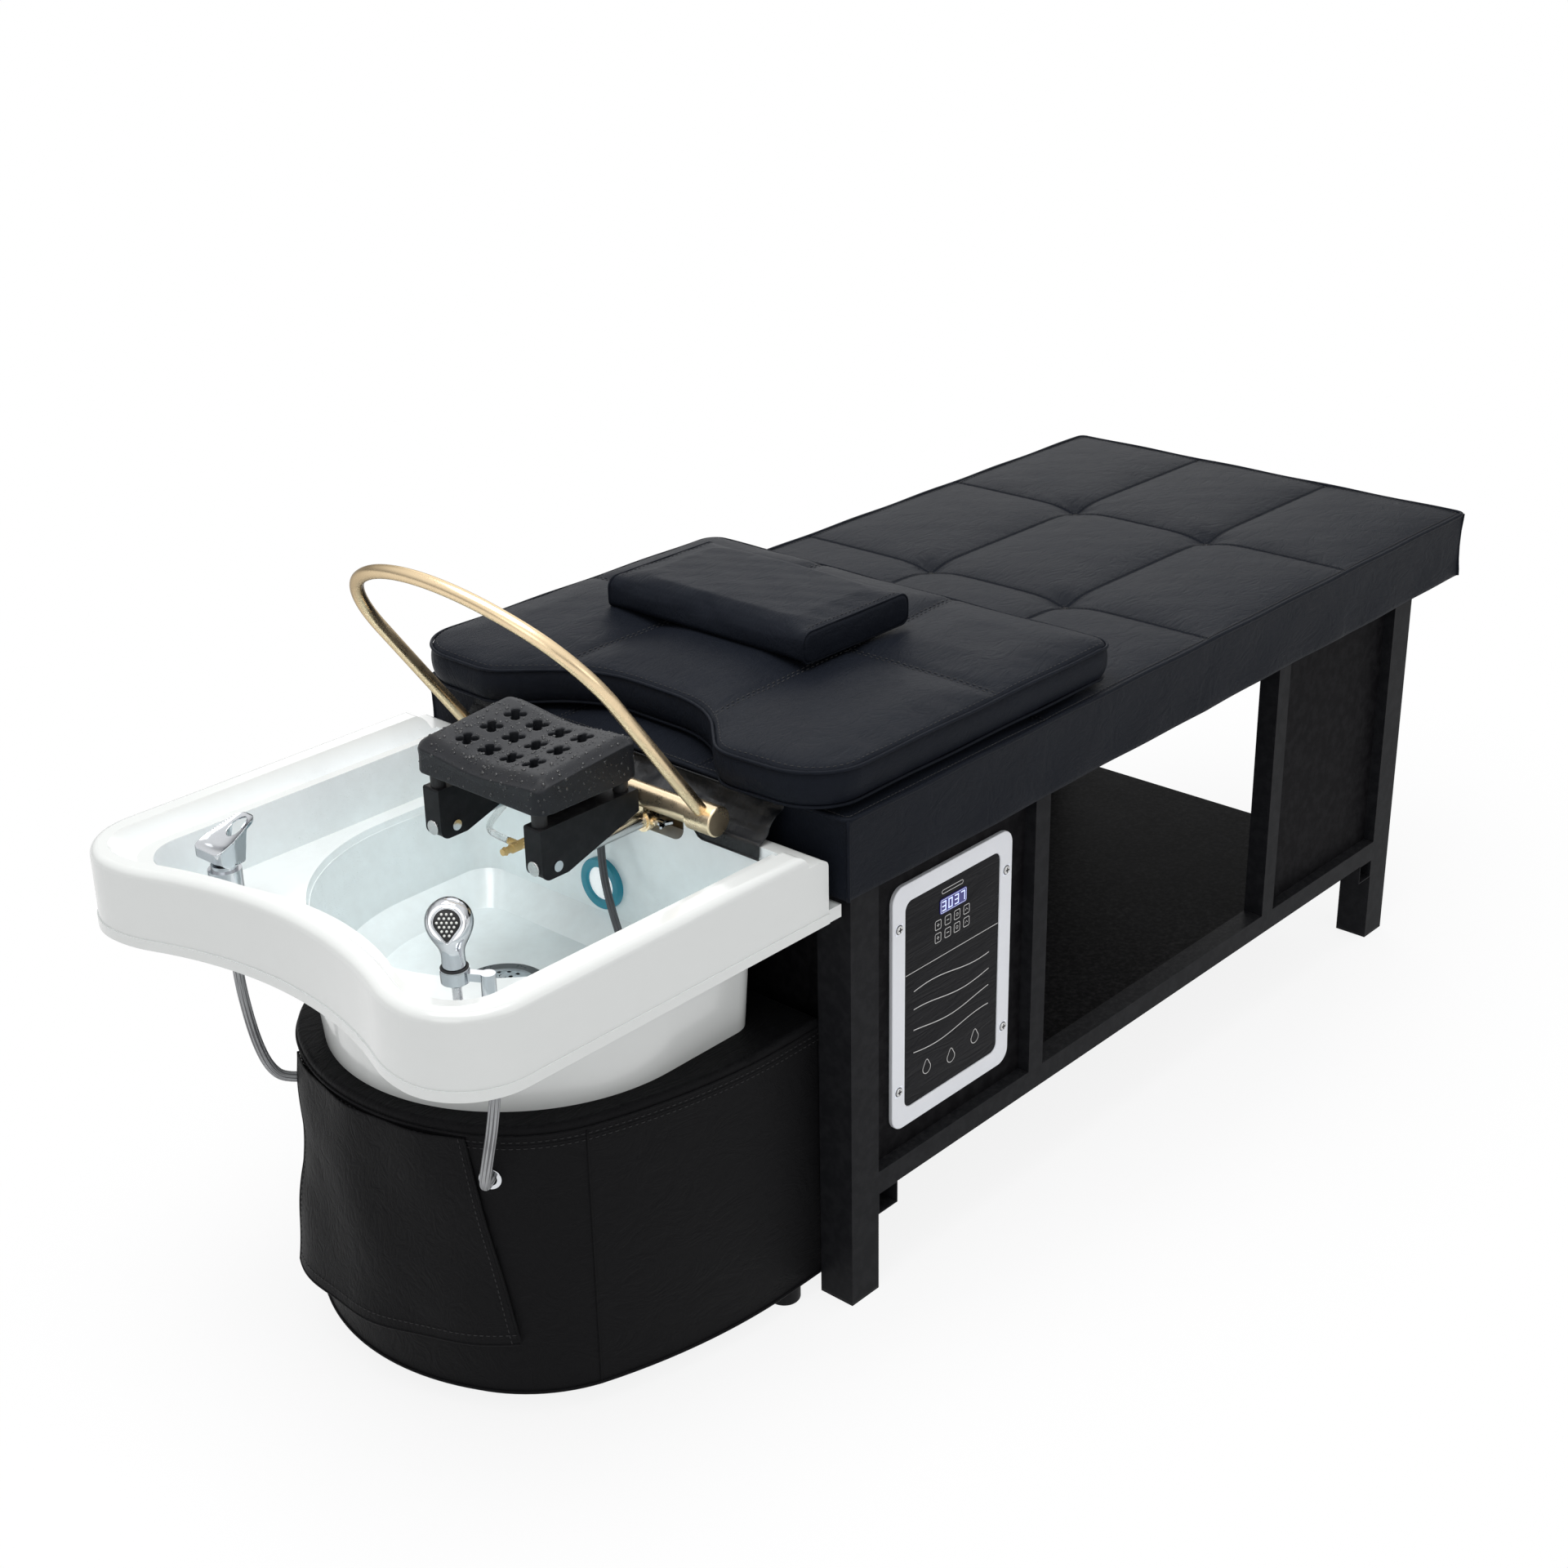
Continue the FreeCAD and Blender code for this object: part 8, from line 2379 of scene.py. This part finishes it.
@dataclass
class ControlPanel:
    """Prints, lit marks and painted recess shade at the screws on the control panel's glass."""

    face_y: float = -323.5
    window: tuple[float, float, float, float] = (198.0, 250.0, 458.0, 478.0)
    screw_x: tuple[float, float] = (120.0, 328.0)
    screw_z: tuple[float, float] = (470.0, 250.0)
    digit_height: float = 12.8
    digit_width: float = 7.6
    stroke: float = 1.4
    print_depth: float = 0.1
    button_x: tuple[float, ...] = (195.5, 214.3, 232.3, 250.8)
    button_z: tuple[float, ...] = (446.0, 428.8)
    wave_z: tuple[float, ...] = (372.0, 345.0, 318.0, 291.0)
    drops: tuple[Place, ...] = ((176.0, 258.0), (224.0, 252.0), (272.0, 258.0))
    digits: tuple[str, ...] = ("abcdg", "abcdef", "abcdg", "abc")

    def on_glass(self, loop: np.ndarray, proud: float) -> np.ndarray:
        """Stand places of the panel's plane at a height over the glass."""
        return np.column_stack([loop[:, 0], np.full(len(loop), self.face_y - proud), loop[:, 1]])

    def plate(self, x0: float, x1: float, z0: float, z1: float, proud: float, radius: float = 0.0) -> Shape:
        """A thin plate on the glass, with rounded corners.

        Args:
            x0: Left side.
            x1: Right side.
            z0: Lower side.
            z1: Upper side.
            proud: How far it stands off the glass.
            radius: Radius of its corners, or 0 for none.

        Returns:
            The plate.
        """
        corners = np.array([(x0, z0), (x1, z0), (x1, z1), (x0, z1)])
        loop = rounded_box(x0, x1, z0, z1, radius, 1.0) if radius else corners
        count = len(loop)
        back = self.on_glass(loop, -0.05)
        front = back - np.array((0.0, proud + 0.05, 0.0))
        return Shape(np.vstack([back, front]), grid_faces(2, count, True) + [tuple(range(count, 2 * count))])

    def ring(self, loop: np.ndarray, stroke: float, proud: float) -> Shape:
        """A printed line of even width along a closed outline."""
        edges = [self.on_glass(edge, proud) for edge in (loop, inset_loop(loop, stroke))]
        return Shape(np.vstack(edges), grid_faces(2, len(loop), True))

    def box(self, x0: float, x1: float, z0: float, z1: float, radius: float, stroke: float, proud: float,
            step: float = 1.0) -> Shape:
        """A printed rectangle with rounded corners."""
        return self.ring(rounded_box(x0, x1, z0, z1, radius, step)[::-1], stroke, proud)

    def stroke_line(self, places: Sequence[Place], width: float) -> Shape:
        """A printed line of even width along places on the glass.

        Args:
            places: Places in the panel's plane.
            width: Width of the line.

        Returns:
            The printed line.
        """
        line = np.array(places, float)
        side = leftwards(line) * width / 2.0
        edges = [self.on_glass(edge, self.print_depth) for edge in (line + side, line - side)]
        return Shape(np.vstack(edges), grid_faces(2, len(line)))

    def digit(self, segments: str, x: float, z: float, proud: float) -> list[Shape]:
        """The lit bars of one digit.

        Args:
            segments: Letters a to g of the bars that are lit.
            x: Left end of the digit.
            z: Bottom of the digit.
            proud: How far the bars stand off the glass.

        Returns:
            One plate for each bar.
        """
        w, h, t, half = self.digit_width, self.digit_height, self.stroke, self.digit_height / 2.0
        bars = {"a": (0.0, w, h - t, h), "d": (0.0, w, 0.0, t), "g": (0.0, w, (h - t) / 2.0, (h + t) / 2.0),
                "f": (0.0, t, half, h), "b": (w - t, w, half, h), "e": (0.0, t, 0.0, half), "c": (w - t, w, 0.0, half)}
        return [self.plate(x + left, x + right, z + low, z + high, proud)
                for left, right, low, high in (bars[letter] for letter in segments)]

    def build(self, shop: Workshop) -> None:
        """Make the panel's prints.

        Args:
            shop: Where the pieces are made.
        """
        x0, x1, z0, z1 = self.window
        lit: list[Shape] = []
        for number, segments in enumerate(self.digits):
            lit += self.digit(segments, x0 + 3.8 + number * 12.2, z0 + 3.6, 1.15)
        lit.append(self.box(x0 + 1.2, x1 - 1.2, z0 + 1.2, z1 - 1.2, 2.2, 0.5, 1.0))
        shop.piece("display_marks", lit, DIGIT_LIGHT, "bed", smooth=False)
        marks = [self.box(202.0, 243.6, 483.8, 489.4, 2.6, 0.8, self.print_depth)]
        for z in self.button_z:
            for column, x in enumerate(self.button_x):
                marks += [self.box(x - 6.0, x + 6.0, z - 6.4, z + 6.4, 2.2, 0.8, self.print_depth),
                          *self.sign(column, x, z)]
        marks.append(self.stroke_line([(x, 401.5) for x in np.linspace(134.0, 315.0, 30)], 0.9))
        for k, z in enumerate(self.wave_z):
            wave = [(x, z + 5.0 * math.sin((x - 134.0) / 30.0 + k * 0.9)) for x in np.linspace(150.0, 298.0, 60)]
            marks.append(self.stroke_line(wave, 1.1))
        for x, z in self.drops:
            marks.append(self.ring(self.drop(x, z, 8.0)[::-1], 0.9, self.print_depth))
        shop.piece("panel_print", marks, PALE_INK, "bed", smooth=False)
        labels: list[Shape] = []
        slots: list[Shape] = []
        turns = full_turn(32)[::-1]
        for x in self.screw_x:
            for z in self.screw_z:
                labels.append(self.plate(x - 7.0, x + 7.0, z - 7.0, z + 7.0, 1.75, 1.0))
                # Painted shade: a dark ring round each screw head and a dark cross for its slots stand in for the shade
                # in these recesses.
                slots.append(self.ring(np.column_stack([x + 6.2 * np.cos(turns), z + 6.2 * np.sin(turns)]), 0.9, 1.85))
                slots += [self.plate(x - a, x + a, z - b, z + b, 3.65) for a, b in ((3.4, 0.8), (0.8, 3.4))]
        shop.piece("screw_labels", labels, LABEL, "bed", smooth=False)
        shop.piece("screw_recess_shade", slots, BLACK_PLASTIC, "bed", smooth=False)

    def drop(self, x: float, z: float, size: float) -> np.ndarray:
        """Outline of a water drop.

        Args:
            x: Place of its middle along the bed.
            z: Height of its middle.
            size: Half its width.

        Returns:
            The outline's points.
        """
        turns = full_turn(36)
        above = np.maximum(0.0, np.sin(turns))
        reach = size * (1.0 + 0.55 * above ** 6)
        return np.column_stack([x + reach * np.cos(turns) * (1.0 - 0.25 * above ** 2), z + reach * np.sin(turns)])

    def sign(self, column: int, x: float, z: float) -> list[Shape]:
        """The plain mark inside one touch button: plus, minus, ring or arrow.

        Args:
            column: Which column the button is in.
            x: Place of the button's middle.
            z: Height of its middle.

        Returns:
            The mark's shapes.
        """
        if column < 2:
            bars = ((2.4, 0.4), (0.4, 2.4))[:2 - column]
            return [self.plate(x - a, x + a, z - b, z + b, self.print_depth) for a, b in bars]
        if column == 2:
            return [self.box(x - 2.2, x + 2.2, z - 2.2, z + 2.2, 2.1, 0.6, self.print_depth, 0.5)]
        return [self.stroke_line([(x - 2.4, z - 1.2), (x, z + 1.4), (x + 2.4, z - 1.2)], 0.7)]


@dataclass
class Stage:
    """Camera, lights, world and floor."""

    camera_place: Point = (-2.2034, -1.8474, 1.7323)
    yaw: float = 42.092
    pitch: float = 23.947
    roll: float = -1.023
    lens: float = 53.54
    ambient: float = 0.68

    def camera(self) -> None:
        """Set the camera up at the photograph's view."""
        yaw, pitch, roll = (math.radians(v) for v in (self.yaw, self.pitch, self.roll))
        ahead = Vector((math.cos(pitch) * math.cos(yaw), math.cos(pitch) * math.sin(yaw), -math.sin(pitch)))
        right = ahead.cross(Vector((0.0, 0.0, 1.0))).normalized()
        above = right.cross(ahead)
        side = right * math.cos(roll) + above * math.sin(roll)
        top = above * math.cos(roll) - right * math.sin(roll)
        data = bpy.data.cameras.new("camera")
        data.lens = self.lens
        data.sensor_width = 36.0
        data.sensor_fit = "HORIZONTAL"
        data.clip_end = 100.0
        holder = linked("camera", data)
        turn = Matrix((side, top, -ahead)).transposed().to_4x4()
        holder.matrix_world = Matrix.Translation(Vector(self.camera_place)) @ turn
        bpy.context.scene.camera = holder

    def lamp(self, name: str, place: Point, target: Point, size: tuple[float, float], power: float) -> None:
        """Add one soft rectangular lamp that looks at a place.

        Args:
            name: Its name.
            place: Where it hangs, in metres.
            target: Where it looks.
            size: Width and height in metres.
            power: Power in watts.
        """
        data = bpy.data.lights.new(name, "AREA")
        data.shape = "RECTANGLE"
        data.size, data.size_y = size
        data.energy = power
        lamp = linked(name, data)
        lamp.location = place
        lamp.rotation_euler = (Vector(target) - Vector(place)).to_track_quat("-Z", "Y").to_euler()

    def world(self) -> None:
        """Light the world softly and show it as white."""
        world = bpy.data.worlds.new("studio")
        world.use_nodes = True
        bpy.context.scene.world = world
        graph = Graph(world.node_tree)
        background = world.node_tree.nodes["Background"]
        background.inputs["Color"].default_value = (1.0, 1.0, 1.0, 1.0)
        path = graph.add("ShaderNodeLightPath")
        seen = graph.math("MAXIMUM", path.outputs["Is Camera Ray"], path.outputs["Is Transmission Ray"])
        towards = graph.add("ShaderNodeTexCoord").outputs["Generated"]
        height = graph.add("ShaderNodeSeparateXYZ", {0: towards}).outputs[2]
        sky = graph.remap(height, 0.02, 0.5, 0.28, 1.0)
        plain = graph.add("ShaderNodeMix", {0: path.outputs["Is Glossy Ray"], 2: self.ambient, 3: sky})
        strength = graph.add("ShaderNodeMix", {0: seen, 2: plain.outputs[0], 3: 1.0})
        graph.feed(background, {"Strength": strength.outputs[0]})

    def floor(self) -> None:
        """Lay the pale floor, which keeps a soft shadow."""
        reach = 14.0
        mesh = bpy.data.meshes.new("floor")
        mesh.from_pydata([(-reach, -reach, 0.0), (reach, -reach, 0.0), (reach, reach, 0.0), (-reach, reach, 0.0)], [],
                         [(0, 1, 2, 3)])
        floor = linked("floor", mesh)
        material = bpy.data.materials.new("pale_floor")
        material.use_nodes = True
        graph = Graph(material.node_tree)
        shader = material.node_tree.nodes["Principled BSDF"]
        shader.inputs["Base Color"].default_value = (0.86, 0.86, 0.87, 1.0)
        shader.inputs["Roughness"].default_value = 0.9
        shader.inputs["Specular IOR Level"].default_value = 0.1
        output = material.node_tree.nodes["Material Output"]
        path = graph.add("ShaderNodeLightPath")
        white = graph.add("ShaderNodeEmission", {"Color": (1.0, 1.0, 1.0, 1.0), "Strength": 1.0})
        place = graph.object_place()
        near = graph.vector("MULTIPLY", graph.vector("SUBTRACT", place, (0.08, 0.0, 0.0)).outputs[0],
                            (0.75, 1.5, 0.0)).outputs[0]
        reach_out = graph.vector("LENGTH", near).outputs["Value"]
        fade = graph.remap(reach_out, 0.7, 1.3, 0.86, 1.0)
        seen = graph.math("MAXIMUM", path.outputs["Is Camera Ray"], path.outputs["Is Glossy Ray"])
        blend = graph.add("ShaderNodeMixShader", {0: graph.math("MULTIPLY", seen, fade), 1: shader.outputs[0],
                                                  2: white.outputs[0]})
        graph.feed(output, {"Surface": blend.outputs[0]})
        mesh.materials.append(material)

    def build(self) -> None:
        """Set up the whole stage."""
        scene = bpy.context.scene
        scene.view_settings.view_transform = "Standard"
        self.camera()
        self.world()
        self.floor()
        self.lamp("overhead_lamp", (-0.75, -0.05, 3.0), (-0.65, 0.0, 0.5), (1.8, 1.6), 50.0)
        self.lamp("front_lamp", (-3.0, -1.2, 1.6), (-0.5, 0.0, 0.5), (1.6, 1.4), 9.0)
        self.lamp("near_side_lamp", (0.6, -3.2, 1.5), (0.2, 0.0, 0.4), (2.2, 1.2), 10.0)
        self.lamp("far_lamp", (3.4, 3.0, 2.5), (0.2, 0.0, 0.5), (4.0, 3.0), 40.0)
        LOG.info("stage ready")


@dataclass
class Hardware:
    """Finishes of the solids that are shown as they are."""

    by_node: dict[str, Finish] = field(default_factory=lambda: {
        "arch_tube": GOLD_ARCH, "bar_caps": GOLD, "crossbar": GOLD, "headrest_rods": SCREW_STEEL,
        "rod_sleeves": GOLD, "clamp_rings": GOLD,
        "headrest_brackets": BRACKET_PAINT, "headrest_stubs": STUB_RUBBER, "bracket_bolts": CHROME,
        "basin_tray": GEL_COAT, "basin_bowl": GEL_COAT, "drain_flange": DRAIN_GREY, "drain_strainer": CHROME,
        "waste_pipe": GREY_PLASTIC, "lamp_ring": LAMP_BLUE, "lamp_lens": LAMP_PALE, "base_shell": BASE_LEATHER,
        "base_top": BASE_LEATHER, "base_feet": BLACK_PLASTIC, "hose_eyelets": CHROME, "tap_body": CHROME,
        "tap_nut": CHROME, "tap_stem": CHROME, "shower_holder": CHROME, "holder_insert": BUSH_PLASTIC,
        "shower_hose": METAL_HOSE_RIGID, "shower_grommet": BLACK_PLASTIC, "control_bezel": BEZEL_PLASTIC,
        "control_glass": FILM, "control_display": WINDOW_BLUE, "control_box": BLACK_PLASTIC,
        "bezel_screws": SCREW_STEEL, "side_panels": BOARD, "cross_panels": BOARD, "bottom_board": SHELF_BOARD,
        "deck_board": BOARD, "hose_tee": AMBER, "circulation_pump": BLACK_PLASTIC, "water_heater": GREY_PLASTIC})

    def build(self, shop: Workshop) -> None:
        """Dress every shown solid.

        Args:
            shop: Where the pieces are made.
        """
        rest = {"frame_paint": FRAME_PAINT, "black_plastic": BLACK_PLASTIC, "black_board": BOARD, "gold": GOLD,
                "chrome": CHROME, "pipe_plastic": GREY_PLASTIC, "white_plastic": BEZEL_PLASTIC}
        slots = {part["node"]: part["material_slot"] for part in frame["record"]["subparts"]}
        for name, node in frame["nodes"].items():
            finish = self.by_node.get(name) or rest.get(slots.get(name, ""), BLACK_PLASTIC)
            node.data.materials.clear()
            node.data.materials.append(shop.finishes.get(finish))
            LOG.info("solid %s: %s", name, finish.name)


def main() -> None:
    """Build the looks of the bed in order."""
    logging.basicConfig(level=logging.INFO, format="%(name)s: %(message)s")
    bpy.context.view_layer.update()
    shop = Workshop()
    Stage().build()
    Hoses().build(shop)
    Hardware().build(shop)
    Couch().build(shop)
    Topper().build(shop)
    Pillow().build(shop)
    Headrest().build(shop)
    TapLever().build(shop)
    HandShower().build(shop)
    HeadCloth().build(shop)
    BaseCover().build(shop)
    ControlPanel().build(shop)


if __name__ == "__main__":
    main()
